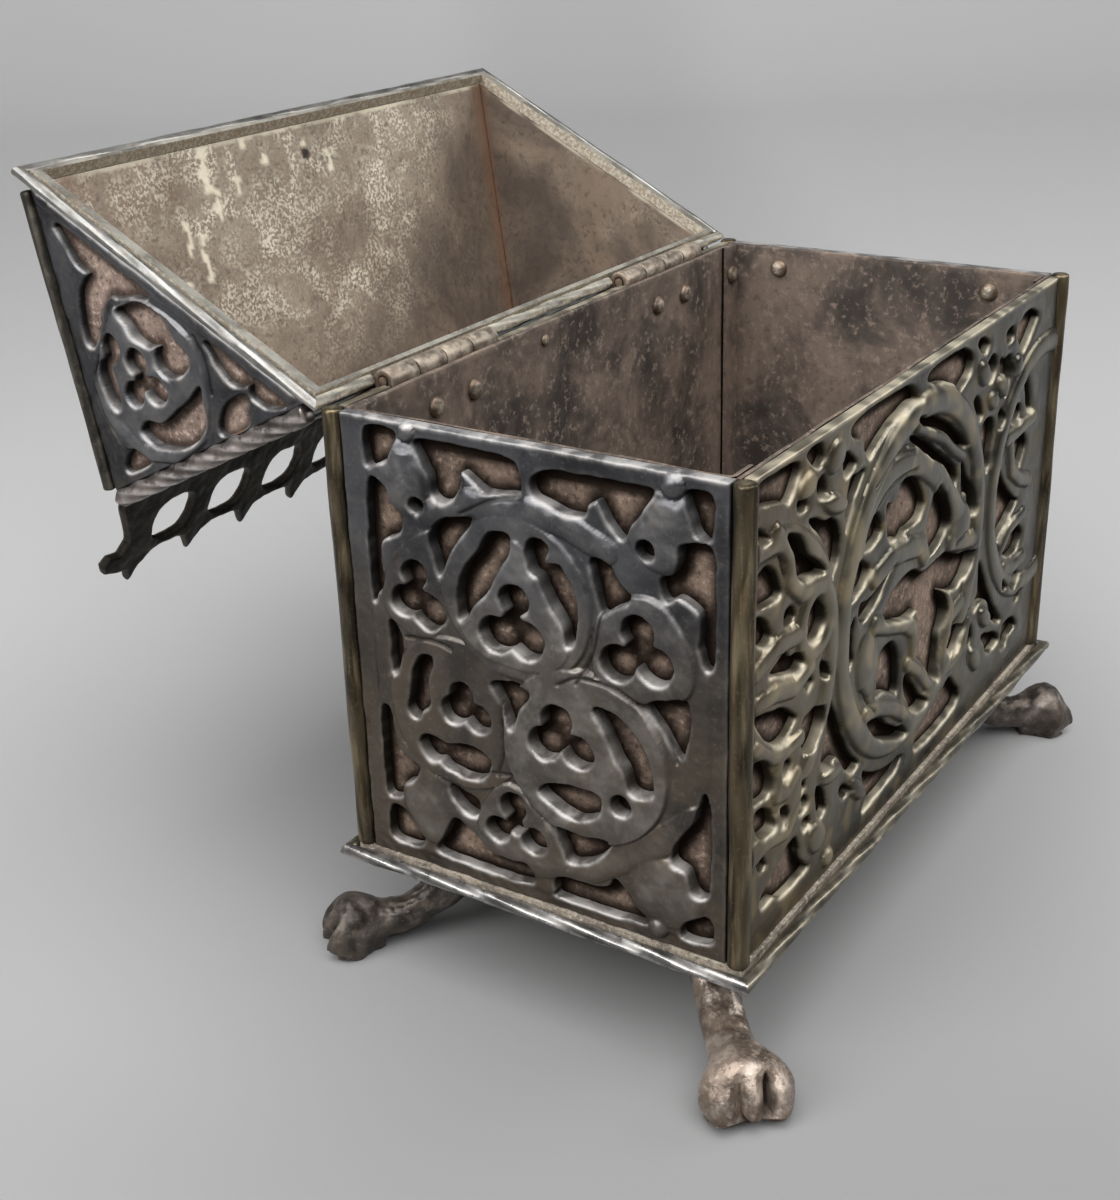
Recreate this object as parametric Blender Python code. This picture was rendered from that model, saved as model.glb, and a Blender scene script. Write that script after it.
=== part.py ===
"""Wrought iron casket in the Gothic manner, standing on four paw feet, with its gabled lid open.

Metres, +Z up, +X along the length, the front faces -Y. The origin is the centre of the
underside of the base plate. The lid hangs on two hinges at the back and is stored open.
"""
import math

import bmesh
import bpy
import numpy as np
from mathutils import Matrix, Vector
from mathutils.geometry import delaunay_2d_cdt

MM = 0.001

# Body of sheet iron
BODY_LENGTH = 0.196
BODY_DEPTH = 0.105
WALL_HEIGHT = 0.1188
WALL = 0.0015
FLANGE_LENGTH = 0.009
FIT = 0.0001
SEAT = 0.00015

# Base plate, corner posts and twisted base bars
BASE_THICKNESS = 0.0028
BASE_MARGIN = 0.0017
POST_RADIUS = 0.0026
POST_GAP = 0.0003
BAR_SIDE = 0.0027
BAR_TURN_LENGTH = 0.088

# Pierced panels
PANEL = 0.003
PANEL_TOP_DROP = 0.0002

# Paw feet
FOOT_HEIGHT = 0.0295
FOOT_INSET = 0.014
FOOT_STRETCH = {
    ("front", "left"): 0.9,
    ("front", "right"): 0.8,
    ("back", "left"): 0.76,
    ("back", "right"): 0.8,
}
FOOT_BREADTH = {
    ("front", "left"): 1.0,
    ("front", "right"): 0.8,
    ("back", "left"): 0.78,
    ("back", "right"): 0.8,
}
FOOT_TURN = {("front", "left"): -3.0}

# Hinges
BARREL_RADIUS = 0.003
PIN_RADIUS = 0.0012
PIN_CLEARANCE = 0.00008
LEAF = 0.0012
HINGE_LENGTH = 0.046
HINGE_CENTRE = 0.056
HINGE_RISE = 0.0004
LEAF_DROP = 0.014
STRAP_START = 0.001
STRAP_END = 0.013
KNUCKLES = 4
KNUCKLE_GAP = 0.0003
OPEN_ANGLE = 152.5

# Lid
LID_CLEARANCE = 0.0003
RIM_THICKNESS = 0.0033
RIM_OVERHANG = 0.0025
RIM_INSET = 0.0016
LID_SHIFT = 0.0014
SLOPE_RECESS = 0.0006
END_RECESS = 0.0028
ROPE_SIDE = 0.0022
ROPE_TURN_LENGTH = 0.060
LID_RISE = 0.0712
RIDGE_LEAN = 0.0029
LID_PANEL = 0.0018
LID_SHEET = 0.0012
HIP_SIDE = 0.0028
HIP_TURN_LENGTH = 0.040
HIP_ROOM = 0.0002
CREST_THICKNESS = 0.003
CREST_HOLE_BOTTOM = 0.0784
CREST_HOLE_TOP = 0.0934
CREST_BAND_TOP = 0.0975
CREST_SPUR = 0.0065
CREST_FINIAL = 0.0088
CREST_ARCHES = 7
CREST_PITCH = 0.0234
CREST_HOLE_WIDTH = 0.0148

# Rivets seen inside the box
RIVET_RADIUS = 0.0028
RIVET_HEIGHT = 0.0016
RIVET_SPREAD = 0.0166
RIVET_DROP = 0.0093
SMALL_RIVET_RADIUS = 0.0016
SIDE_RIVET_SPREAD = 0.069
SIDE_RIVET_DROP = 0.0067

# Levels and places that follow from the sizes above
HALF_L = BODY_LENGTH / 2
HALF_D = BODY_DEPTH / 2
FLOOR_TOP = BASE_THICKNESS
WALL_FOOT = FLOOR_TOP + FIT
WALL_TOP = FLOOR_TOP + WALL_HEIGHT
POST_OUT = (POST_RADIUS + SEAT) / math.sqrt(2)
POST_X = HALF_L + POST_OUT
POST_Y = HALF_D + POST_OUT
BASE_X = POST_X + BASE_MARGIN
BASE_Y = POST_Y + BASE_MARGIN
BAR_RADIUS = BAR_SIDE / math.sqrt(2)
ROPE_RADIUS = ROPE_SIDE / math.sqrt(2)
HIP_RADIUS = HIP_SIDE / math.sqrt(2)
HINGE_Y = HALF_D + FIT + BARREL_RADIUS
HINGE_Z = WALL_TOP + HINGE_RISE
RIM_BOTTOM = WALL_TOP + LID_CLEARANCE
RIM_TOP = RIM_BOTTOM + RIM_THICKNESS
RIM_HALF_LENGTH = POST_X + RIM_OVERHANG
RIM_HALF_DEPTH = POST_Y - RIM_INSET
LID_X = RIM_HALF_LENGTH - END_RECESS
LID_Y = RIM_HALF_DEPTH - SLOPE_RECESS
SLOPE = math.atan2(LID_RISE, LID_Y)
LEAN = math.atan2(RIDGE_LEAN, LID_RISE)
SHEET_X = LID_X - (LID_PANEL + SEAT) / math.cos(LEAN)
SHEET_Y = LID_Y - (LID_PANEL + SEAT) / math.sin(SLOPE)
INNER_X = SHEET_X - LID_SHEET / math.cos(LEAN)
INNER_Y = SHEET_Y - LID_SHEET / math.sin(SLOPE)
HIP_OUT = (HIP_RADIUS + SEAT) / math.sqrt(2)
HIP_CUT = HIP_RADIUS + HIP_ROOM - HIP_OUT

# Outlines of the pierced work, drawn in millimetres on a field of the stated width and height,
# x from the middle and y up from the foot. They stretch with the panel that they are cut in.
# Those of the ends were drawn as seen from one side, on the sheet behind. END_SETTLE carries them to
# the face of the panel: x (a + b y) + c + d y across and e + f y + g y y up. END_STEP is the part of
# each opening that its own edge hid, and GROWN_GAP the iron that is left beside it.
END_SETTLE = (1.041, -0.00059, 0.2, 0.0042, 1.2, 1.0817, -0.0006)
END_STEP = (0.0, -1.3)
GROWN_GAP = 1.7
END_FIELD = (103.0, 118.0)
END_HOLES = [
    [(-45.6, 112.4), (-37.4, 112.4), (-38.9, 107.8), (-42.5, 105.6), (-45.6, 104.6)],
    [(-30.6, 111.4), (-29.0, 108.0), (-27.2, 104.5), (-26.2, 99.8), (-23.6, 98.8), (-20.2, 100.6),
     (-18.8, 104.0), (-18.1, 107.3), (-14.3, 105.2), (-10.6, 103.6), (-6.0, 104.2), (-2.0, 104.8),
     (-2.4, 108.8), (-6.0, 111.2), (-20.0, 111.8)],
    [(2.4, 104.9), (1.7, 107.0), (5.2, 109.4), (10.7, 110.2), (27.3, 110.4), (33.2, 110.0),
     (30.4, 106.6), (27.6, 102.6), (25.8, 99.4), (23.8, 99.6), (20.9, 104.0), (19.0, 106.9),
     (16.1, 105.3), (15.2, 102.6), (10.7, 102.4), (5.7, 104.0)],
    [(41.6, 111.0), (47.4, 111.2), (47.4, 106.0), (46.8, 102.4), (44.6, 103.4), (43.4, 107.0)],
    [(40.9, 99.2), (47.2, 98.8), (47.8, 89.0), (47.6, 82.0), (47.2, 74.0), (46.0, 71.6), (44.6, 76.0),
     (44.4, 84.6), (39.2, 87.6), (36.2, 86.2), (35.0, 89.2), (38.4, 91.2), (40.2, 95.0)],
    [(-45.6, 97.4), (-40.4, 98.2), (-39.3, 94.8), (-36.4, 91.0), (-37.2, 88.4), (-42.3, 85.4),
     (-43.4, 79.8), (-42.8, 74.8), (-44.6, 70.9), (-45.6, 70.9)],
    [(-40.8, 62.2), (-38.1, 59.4), (-38.5, 54.0), (-40.4, 51.0)],
    [(-44.8, 38.0), (-42.7, 38.0), (-41.8, 31.2), (-38.8, 27.6), (-34.2, 25.2), (-36.4, 22.6),
     (-39.6, 20.4), (-40.6, 17.0), (-44.4, 16.6), (-44.8, 25.0)],
    [(-43.5, 11.4), (-40.2, 11.6), (-37.0, 9.0), (-34.0, 5.8), (-36.2, 4.2), (-42.3, 4.2),
     (-43.8, 6.2)],
    [(-23.9, 13.8), (-19.3, 12.6), (-14.5, 8.6), (-9.3, 7.3), (-3.5, 7.6), (-2.0, 6.4), (-4.3, 4.0),
     (-22.7, 4.0), (-29.6, 4.8), (-26.8, 8.2)],
    [(5.7, 6.9), (15.7, 7.6), (19.6, 8.8), (21.4, 11.0), (24.2, 8.6), (26.4, 5.0), (28.4, 3.6),
     (7.3, 3.2), (5.3, 4.4)],
    [(40.3, 6.5), (45.0, 8.4), (45.6, 4.4), (38.6, 3.4)],
    [(45.0, 39.2), (45.8, 32.0), (45.4, 20.0), (44.4, 15.6), (42.0, 16.0), (40.4, 20.0), (36.6, 22.6),
     (38.6, 27.0), (42.0, 31.5), (43.7, 36.5)],
    [(31.0, 58.0), (35.7, 60.3), (40.6, 60.9), (40.6, 54.8), (39.0, 48.6), (37.3, 50.0), (34.6, 54.6)],
    [(-27.1, 88.2), (-23.5, 92.6), (-15.6, 94.0), (-19.3, 90.2), (-22.3, 85.7), (-24.6, 80.0),
     (-26.0, 83.2)],
    [(17.1, 90.2), (20.7, 90.5), (23.6, 86.5), (26.8, 84.4), (22.3, 81.5), (19.6, 79.6), (18.7, 84.0)],
    [(-10.2, 91.8), (-5.0, 92.1), (-5.3, 89.0), (-8.5, 84.0), (-10.6, 79.8), (-15.2, 74.2),
     (-18.9, 69.6), (-19.6, 74.8), (-17.5, 81.5), (-13.5, 86.3)],
    [(0.2, 90.7), (2.3, 92.8), (5.5, 91.7), (4.9, 87.5), (9.0, 87.1), (12.6, 80.7), (12.6, 74.0),
     (11.0, 69.6), (9.8, 74.0), (6.1, 79.8), (3.6, 85.0), (1.2, 86.7)],
    [(-31.6, 55.3), (-28.8, 55.5), (-30.2, 50.7), (-30.2, 44.8), (-32.3, 42.2), (-33.9, 40.2),
     (-36.0, 42.0), (-34.6, 47.3), (-34.1, 51.5)],
    [(-32.8, 33.5), (-31.0, 34.5), (-24.8, 33.8), (-18.5, 34.8), (-13.0, 32.8), (-15.2, 29.2),
     (-20.2, 28.0), (-24.8, 28.8), (-27.3, 30.3), (-30.2, 30.0)],
    [(17.6, 54.2), (22.3, 53.8), (27.3, 50.5), (30.6, 44.8), (32.0, 39.0), (29.8, 36.8), (26.3, 37.2),
     (25.3, 40.9), (22.5, 45.5), (20.0, 50.5)],
    [(1.9, 30.3), (5.7, 31.7), (13.2, 32.6), (18.0, 31.5), (17.0, 28.4), (12.3, 26.1), (7.3, 26.9)],
    [(-10.6, 53.8), (-1.0, 53.8), (-3.9, 49.8), (-6.0, 44.6), (-8.1, 49.8)],
    [(-24.8, 22.2), (-19.3, 21.4), (-17.0, 20.0), (-18.1, 18.1), (-21.8, 19.5)],
    [(6.3, 20.5), (13.2, 20.0), (19.6, 20.7), (16.4, 17.1), (9.8, 14.0), (7.9, 16.5)],
]
END_ROUNDS = [(31.5, 96.1, 2.1), (-31.2, 95.0, 1.6), (23.6, 31.3, 2.3)]
END_FOILS = [
    ((-3.7, 76.5, 3.6), (-9.0, 66.8, 4.3), (-0.4, 67.0, 4.3)),
    ((-32.8, 77.0, 3.2), (-36.2, 69.4, 3.4), (-28.7, 68.0, 4.3)),
    ((29.0, 75.6, 3.8), (23.6, 67.0, 4.1), (33.2, 68.4, 4.1)),
    ((-20.2, 48.2, 3.0), (-22.6, 43.6, 3.3), (-15.6, 43.0, 3.3)),
    ((6.9, 48.4, 3.8), (3.4, 42.0, 3.9), (12.6, 42.0, 3.9)),
    ((-6.2, 22.6, 3.4), (-10.8, 15.4, 3.0), (-0.6, 15.0, 3.2)),
]

FRONT_FIELD = (194.2, 118.0)
FRONT_HOLES = [
    [(-95.3, 116.3), (-86, 116.8), (-77, 116), (-74.5, 114.5), (-75.5, 111.5), (-79.5, 107.8),
     (-83, 109), (-88, 110.3), (-95.3, 112.2)],
    [(-71.5, 116.3), (-64.5, 116.6), (-62, 113), (-64.5, 111), (-68, 112.5)],
    [(-75.5, 106.5), (-71, 105.7), (-70.6, 103.4), (-75, 103.8)],
    [(-65.5, 107.5), (-62.5, 108.5), (-60.5, 105.5), (-61, 103.2), (-64.5, 103.6)],
    [(-95.3, 106.5), (-92, 105.4), (-90.2, 103), (-94.8, 103)],
    [(-82.3, 101), (-77.5, 100), (-74, 97), (-71.3, 93), (-67.5, 90.3), (-64.5, 88.5), (-62, 85.3),
     (-68, 86.3), (-74.5, 87.5), (-77, 91), (-78.8, 95.5)],
    [(-69.5, 100), (-65, 99), (-60.5, 96.8), (-57, 96.2), (-53.5, 93.8), (-51.6, 89), (-52.6, 84),
     (-55.5, 80.8), (-57.5, 81.5), (-57.8, 86), (-60.5, 91), (-65, 95.8)],
    [(-94.8, 95.5), (-90.5, 96.6), (-86, 94.5), (-83, 90), (-82.8, 87), (-88, 87), (-93.5, 88),
     (-95, 91)],
    [(-95.3, 86), (-91.5, 85), (-88.5, 82.5), (-87, 79), (-90, 77.6), (-93.5, 79.5), (-95, 82)],
    [(-80.5, 82), (-76, 81.7), (-75.4, 78.6), (-80.2, 78.6)],
    [(-69.8, 76.5), (-67, 79.2), (-63.5, 78.8), (-60.5, 75.5), (-60.2, 71.5), (-63, 69.3), (-67, 69),
     (-69.8, 71.5)],
    [(-88, 69.5), (-84, 71.3), (-79.5, 72), (-77.5, 70), (-73, 69.2), (-71, 66), (-74, 64.8), (-79, 66),
     (-84, 68)],
    [(-69.5, 59.8), (-66.5, 60.5), (-64.3, 58), (-67, 56.6)],
    [(-60.8, 61), (-58.5, 60.5), (-57, 56.8), (-59.7, 57)],
    [(-94.8, 62), (-88, 60.5), (-80, 58), (-75.5, 55), (-72.8, 52.3), (-77.5, 49.8), (-82.5, 49.8),
     (-87.5, 53), (-91.5, 57)],
    [(-69.2, 50), (-60, 50), (-59, 46), (-61.5, 42), (-65, 40.3), (-69, 41.5), (-70, 45.5)],
    [(-94.8, 50.5), (-91, 50), (-87, 46.5), (-85.2, 42.5), (-86, 39), (-90, 39), (-94, 40), (-95, 44)],
    [(-94, 37), (-89, 36.6), (-84.8, 33.5), (-84.3, 29.5), (-88.5, 29.3), (-92.5, 31)],
    [(-81.5, 43.5), (-77.5, 44), (-75.2, 41.5), (-77, 39), (-80.7, 40)],
    [(-81.5, 32.2), (-78.5, 32), (-77.6, 28.5), (-80, 26.8), (-82.2, 28.5)],
    [(-71.5, 35), (-68, 33.8), (-67.3, 30.8), (-70.5, 31.2)],
    [(-70.8, 27), (-68, 29), (-65, 27), (-66, 24.5), (-69.5, 24.6)],
    [(-92.3, 24.2), (-89, 23.6), (-87, 20.2), (-90.8, 20.3)],
    [(-90, 12.5), (-84, 15.5), (-79, 17.5), (-76, 19.5), (-71.5, 19.3), (-69.5, 16), (-69, 12.5),
     (-66, 9), (-64, 6.8), (-72, 6.4), (-79, 6.8), (-83, 9), (-89, 9.3)],
    [(-68.5, 21.8), (-64.5, 22), (-63.6, 19), (-67.2, 18.6)],
    [(-61, 27.3), (-57.5, 26.3), (-55, 22.5), (-54.6, 18.3), (-58.5, 17.8), (-60.2, 22)],
    [(-54.8, 47.8), (-52.3, 46), (-49, 40.5), (-45, 33.5), (-40, 26.8), (-34.8, 22), (-38.5, 21),
     (-43, 23.7), (-46.5, 27.7), (-49, 30.3), (-53.5, 30.5), (-57.5, 31.2), (-58.3, 34.5), (-56, 40)],
    [(-52, 109.3), (-49, 109.6), (-44.5, 106.6), (-44.8, 104.8), (-50.5, 104.2)],
    [(-48, 114.8), (-42, 116.6), (-30, 116.8), (-18, 116.4), (-12.5, 115.6), (-8.5, 112.5),
     (-7.5, 110.9), (-13, 111.2), (-22, 109.6), (-30, 107), (-36.5, 104.3), (-39.5, 107), (-41, 110.3),
     (-45.5, 111.8)],
    [(-47.5, 102.4), (-43, 102.8), (-39.5, 102.4), (-40, 100.6), (-44, 97), (-47, 92.4), (-48.8, 90),
     (-49.4, 92), (-49.3, 97)],
    [(-39.5, 85.5), (-36.5, 88.5), (-31, 89), (-27.8, 86), (-27, 82.7), (-30, 81), (-35, 80.4),
     (-39.3, 82)],
    [(-46.3, 74.5), (-43.5, 78), (-39.5, 79.3), (-36.5, 77.8), (-33.5, 75), (-35.5, 72), (-40, 70.5),
     (-44.5, 70), (-46.8, 71.8)],
    [(-24.8, 88.3), (-21, 87.6), (-17.5, 88.7), (-16.5, 91), (-12, 92), (-6, 89.5), (-1.5, 85),
     (0.5, 81), (-1.5, 78), (-6, 77), (-10.5, 77.3), (-13, 75.8), (-17, 77.2), (-22.5, 78.7)],
    [(-39.3, 64.5), (-38.5, 67.3), (-34, 66.8), (-29, 67.8), (-24, 69.2), (-19, 70.8), (-22, 67.8),
     (-27, 64.3), (-32.5, 62.4), (-37, 62)],
    [(-45.6, 61), (-42.7, 64.8), (-41.3, 64), (-41.3, 60), (-41.6, 57), (-41.2, 53.5), (-44, 51.8),
     (-45.6, 55)],
    [(-24.3, 57.6), (-20, 62.2), (-12, 64.3), (-4, 63.8), (1.5, 61), (8, 60.6), (14.5, 61), (21, 59.8),
     (27, 57), (33, 55.3), (38.3, 54.3), (37.3, 51), (34, 47.8), (28.5, 46.4), (22, 47.7), (17, 50),
     (20.2, 45.5), (20.3, 41), (17.8, 36), (17, 30), (15.3, 23.8), (11.5, 27), (6, 32.5), (0.5, 37.5),
     (-1.5, 41), (0.8, 46.5), (-0.5, 51), (-5, 51), (-13.6, 53.3)],
    [(-27.3, 44.5), (-25, 48), (-21, 49), (-16.5, 48.3), (-13, 45), (-11.3, 40.5), (-11, 36),
     (-11.5, 31.5), (-15, 33.2), (-20, 35.7), (-26, 36.8), (-25.5, 40)],
    [(-7.3, 33.5), (-4.5, 34.3), (0, 29.5), (4.5, 24.5), (8.5, 20.5), (4, 19.7), (-1, 21.7),
     (-3.5, 25.5), (-6.5, 29.5)],
    [(-31.5, 31.3), (-26, 30.3), (-20.5, 27.8), (-16, 24), (-12, 21.8), (-8, 20.5), (-6, 17.2),
     (-10, 17.6), (-16, 20.2), (-23, 23.2), (-28.5, 27)],
    [(-32.3, 17.8), (-28, 15.6), (-22, 13), (-15, 11.4), (-8, 10.6), (-5, 9.2), (-9, 7), (-18, 6),
     (-27, 5.6), (-31.5, 5.8), (-29, 9.5), (-31, 13.5)],
    [(-46.8, 19.8), (-43.5, 20), (-40.5, 17), (-44, 16)],
    [(-2.5, 114.8), (4, 116.4), (14, 116.6), (24, 115.4), (30, 112), (29, 108), (24, 105.5), (21, 105),
     (17, 107.8), (10, 110.5), (2, 112.2)],
    [(32.8, 114.6), (37, 115.3), (41.5, 113), (40, 110.4), (36, 111.5)],
    [(41, 106), (44.5, 108.5), (48.5, 107), (48.6, 102.8), (45, 100.8), (41.8, 102.5)],
    [(-9.8, 106.5), (-6, 106.3), (-3.5, 104.6), (4, 103), (10, 100.5), (16.5, 97.5), (22, 93.6),
     (26.5, 90.2), (28.4, 87.8), (24.5, 88.9), (18.5, 91.8), (13, 95.8), (8, 98.3), (1, 101),
     (-5, 103.2)],
    [(-12.5, 102.2), (-7, 101), (0, 97.6), (7, 93.3), (14, 89.3), (20, 85.3), (23.4, 81.8),
     (22.3, 78.5), (19, 80.5), (14.5, 84.5), (9.5, 88.5), (3, 92), (-4, 95.8), (-9, 99.6)],
    [(25.6, 84.3), (28.3, 82.3), (31, 78.5), (34, 75.8), (36.5, 72), (38, 67.8), (36.8, 65.3),
     (33.8, 66.3), (32.3, 69.5), (31, 73.3), (27.5, 75), (26.3, 79.5)],
    [(8, 83.3), (12, 80.3), (16.3, 75), (18.6, 70.5), (17.3, 66.8), (11, 64.3), (5.5, 63.6),
     (4.5, 66.3), (2.5, 70), (4, 76), (6.5, 80)],
    [(20.8, 31.5), (24, 33.5), (27, 35.8), (32, 34.3), (35.8, 34), (36, 31.5), (34, 29), (31, 26.2),
     (27.5, 27.8), (23.5, 27.6)],
    [(39.8, 30), (43, 29), (44.8, 24.7), (43, 22.3), (40.5, 24.5)],
    [(3.3, 10), (8, 12.8), (14, 14.6), (22, 17), (27, 19), (30, 17.3), (34, 13.5), (36.5, 11),
     (36, 7.5), (28, 6), (18, 5.6), (8, 6), (3.3, 7.5)],
    [(46, 47.5), (48.5, 45.5), (52.5, 39.8), (57, 33.5), (61.5, 28), (66.5, 23.5), (69, 20.2),
     (66, 20.6), (61.5, 23.2), (58.8, 26.5), (55, 32), (50, 33.5), (44.8, 32.2), (43.2, 34.5),
     (46.3, 38), (46.2, 42.5)],
    [(52.5, 21.5), (58, 20.4), (63.5, 18.4), (67.8, 15.8), (68.2, 13.3), (62, 12.6), (57.5, 14.5),
     (55.5, 18)],
    [(71, 17), (75.5, 17.6), (81, 16.3), (84, 12.5), (79.5, 11), (76.5, 8.5), (71.5, 9.5), (70.5, 13)],
    [(55, 112.3), (60.5, 112.5), (61.2, 109.4), (56.5, 108.6)],
    [(63.5, 110.5), (67, 113), (72, 114.2), (78, 113.3), (81.5, 110.5), (78, 107.3), (73.5, 104.3),
     (69.5, 103), (66.5, 106)],
    [(51.3, 105.5), (55, 104.8), (60, 104.5), (62, 100.5), (60.5, 96.5), (57.5, 93.3), (55.8, 96.5),
     (56.5, 100), (52, 101.5)],
    [(53, 89.7), (56.5, 90), (57, 86.8), (53.8, 85.3)],
    [(40.8, 89.8), (44.5, 90.8), (49, 89.3), (50.6, 86), (49.8, 80), (48.5, 75.5), (45.8, 74.5),
     (44.2, 79), (41.6, 83.5), (40, 87)],
    [(32.5, 99), (36, 99.3), (39.5, 95.5), (40.2, 92.8), (37.8, 92), (35.2, 95)],
    [(64.3, 84.5), (67, 87.5), (71.3, 87.3), (72.3, 84.5), (68.5, 82.3)],
    [(74, 93.5), (76, 95), (78.5, 91), (81.3, 84), (79, 83), (76.5, 86)],
    [(67.5, 74.8), (71, 76.8), (77, 76.8), (79.8, 73.5), (79, 70.5), (76, 67.3), (71.5, 68.3),
     (69.5, 71.5)],
    [(53.8, 67), (57.3, 71.3), (61, 67.8), (66, 63.3), (71.5, 59.3), (76, 56.3), (71, 53.8), (65, 51),
     (60, 48.8), (57, 51.5), (54.3, 55.5), (56, 59), (55.5, 62)],
    [(66.5, 43.3), (70, 46.5), (74, 48), (79, 47.5), (82.5, 44.5), (81.5, 41), (77.5, 39.3), (72, 39.8),
     (68.5, 41.3)],
    [(71.5, 31.3), (76, 32.2), (81.3, 31.2), (78, 27.6), (74.5, 28.3)],
    [(64.6, 35), (67, 33.8), (69.5, 31), (66.6, 31)],
    [(80.3, 24.7), (84.3, 25), (85, 21.6), (81, 21.1)],
]

LID_END_FIELD = (89.0, 68.6)
LID_END_HOLES = [
    [(-4.1, 43.0), (-7.9, 43.9), (-12.4, 41.7), (-16.0, 38.8), (-18.7, 34.9), (-20.3, 30.1),
     (-20.0, 25.2), (-17.8, 21.5), (-16.5, 18.4), (-15.1, 23.3), (-12.9, 28.6), (-10.8, 33.5),
     (-8.8, 37.4), (-5.2, 39.4)],
    [(4.1, 42.3), (6.5, 41.7), (9.2, 39.1), (11.5, 36.1), (12.2, 33.3), (11.5, 30.8), (13.3, 27.4),
     (12.6, 24.6), (10.6, 23.9), (8.6, 25.4), (8.1, 28.6), (9.4, 31.8), (7.4, 34.5), (5.4, 37.8)],
    [(-11.8, 14.1), (-10.6, 18.4), (-7.9, 21.3), (-4.8, 21.5), (-2.6, 18.9), (-2.3, 16.1), (0.6, 18.0),
     (4.2, 18.2), (7.4, 16.7), (11.0, 15.1), (9.0, 12.2), (6.0, 9.1), (2.0, 7.8), (-2.1, 8.3),
     (-6.1, 11.1), (-9.7, 12.0)],
    [(-25.4, 26.4), (-28.1, 24.8), (-30.2, 21.5), (-31.1, 18.0), (-29.7, 14.6), (-28.8, 11.4),
     (-26.3, 13.6), (-24.3, 18.0), (-23.9, 22.5)],
    [(-38.8, 5.3), (-37.2, 7.7), (-34.0, 9.6), (-30.8, 10.0), (-29.4, 8.3), (-30.2, 5.3)],
    [(-27.9, 5.3), (-27.0, 9.1), (-24.1, 10.6), (-20.9, 9.9), (-17.5, 7.8), (-14.9, 5.3)],
    [(5.6, 5.2), (8.7, 8.3), (11.9, 11.3), (15.0, 13.0), (16.0, 19.4), (15.5, 26.2), (16.2, 30.7),
     (18.2, 30.8), (20.9, 26.2), (23.0, 19.9), (22.9, 15.1), (22.1, 12.2), (26.3, 11.4), (29.9, 8.9),
     (32.9, 5.2)],
    [(-7.6, 51.2), (-5.6, 55.4), (-2.9, 58.8), (-1.5, 58.2), (-1.4, 55.0), (-2.2, 51.8), (-4.7, 50.6)],
]
LID_END_FOILS = [((0.6, 34.4, 2.9), (-5.2, 28.5, 3.2), (2.4, 24.9, 3.1))]

SLOPE_FIELD = (189.0, 79.0)
SLOPE_ROUNDEL = 29.0
SLOPE_PITCH = 62.0


def material(name, colour, roughness):
    made = bpy.data.materials.new(name)
    made.use_nodes = True
    shader = made.node_tree.nodes["Principled BSDF"]
    shader.inputs["Base Color"].default_value = (*colour, 1.0)
    shader.inputs["Metallic"].default_value = 0.85
    shader.inputs["Roughness"].default_value = roughness
    return made


def add(name, verts, faces, look, place=None, parent=None, smooth=False):
    mesh = bpy.data.meshes.new(name)
    points = [Vector(v) for v in verts]
    if place is not None:
        points = [place @ p for p in points]
    mesh.from_pydata(points, [], faces)
    shape = bmesh.new()
    shape.from_mesh(mesh)
    bmesh.ops.recalc_face_normals(shape, faces=shape.faces)
    shape.to_mesh(mesh)
    shape.free()
    mesh.materials.append(look)
    for face in mesh.polygons:
        face.use_smooth = smooth
    thing = bpy.data.objects.new(name, mesh)
    bpy.context.scene.collection.objects.link(thing)
    if parent is not None:
        thing.parent = parent
        thing.matrix_parent_inverse = Matrix.Translation(-parent.location)
    return thing


def frame_of(origin, along, up, out):
    turn = Matrix((along, up, out)).transposed().to_4x4()
    return Matrix.Translation(origin) @ turn


def inside(point, loop):
    x, y = point
    odd = False
    for k in range(len(loop)):
        ax, ay = loop[k - 1]
        bx, by = loop[k]
        if (ay > y) != (by > y) and x < (bx - ax) * (y - ay) / (by - ay) + ax:
            odd = not odd
    return odd


def slab(name, outline, holes, thickness, look, place, parent=None):
    """A flat plate: the outline without its holes, from local z 0 to the thickness."""
    loops = [outline] + holes
    points = [p for loop in loops for p in loop]
    edges = []
    start = 0
    for loop in loops:
        count = len(loop)
        edges += [(start + k, start + (k + 1) % count) for k in range(count)]
        start += count
    flat, _, triangles, *_ = delaunay_2d_cdt([Vector(p) for p in points], edges, [], 0, 1e-7)
    kept = []
    for triangle in triangles:
        middle = sum((flat[k] for k in triangle), Vector((0.0, 0.0))) / len(triangle)
        if inside(middle, outline) and not any(inside(middle, hole) for hole in holes):
            kept.append(list(triangle))
    count = len(flat)
    verts = [(p.x, p.y, thickness) for p in flat] + [(p.x, p.y, 0.0) for p in flat]
    faces = kept + [[k + count for k in reversed(t)] for t in kept]
    rim = {}
    for t in kept:
        for k in range(3):
            rim[(t[k], t[(k + 1) % 3])] = True
    for a, b in list(rim):
        if (b, a) not in rim:
            faces.append([b, a, a + count, b + count])
    return add(name, verts, faces, look, place, parent)


def box(name, low, high, look, parent=None):
    outline = [(low[0], low[1]), (high[0], low[1]), (high[0], high[1]), (low[0], high[1])]
    return slab(name, outline, [], high[2] - low[2], look, Matrix.Translation((0, 0, low[2])), parent)


def circle(x, y, radius, count, turn=0.0):
    step = 2 * math.pi / count
    angles = [turn + k * step for k in range(count)]
    return [(x + radius * math.cos(a), y + radius * math.sin(a)) for a in angles]


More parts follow.
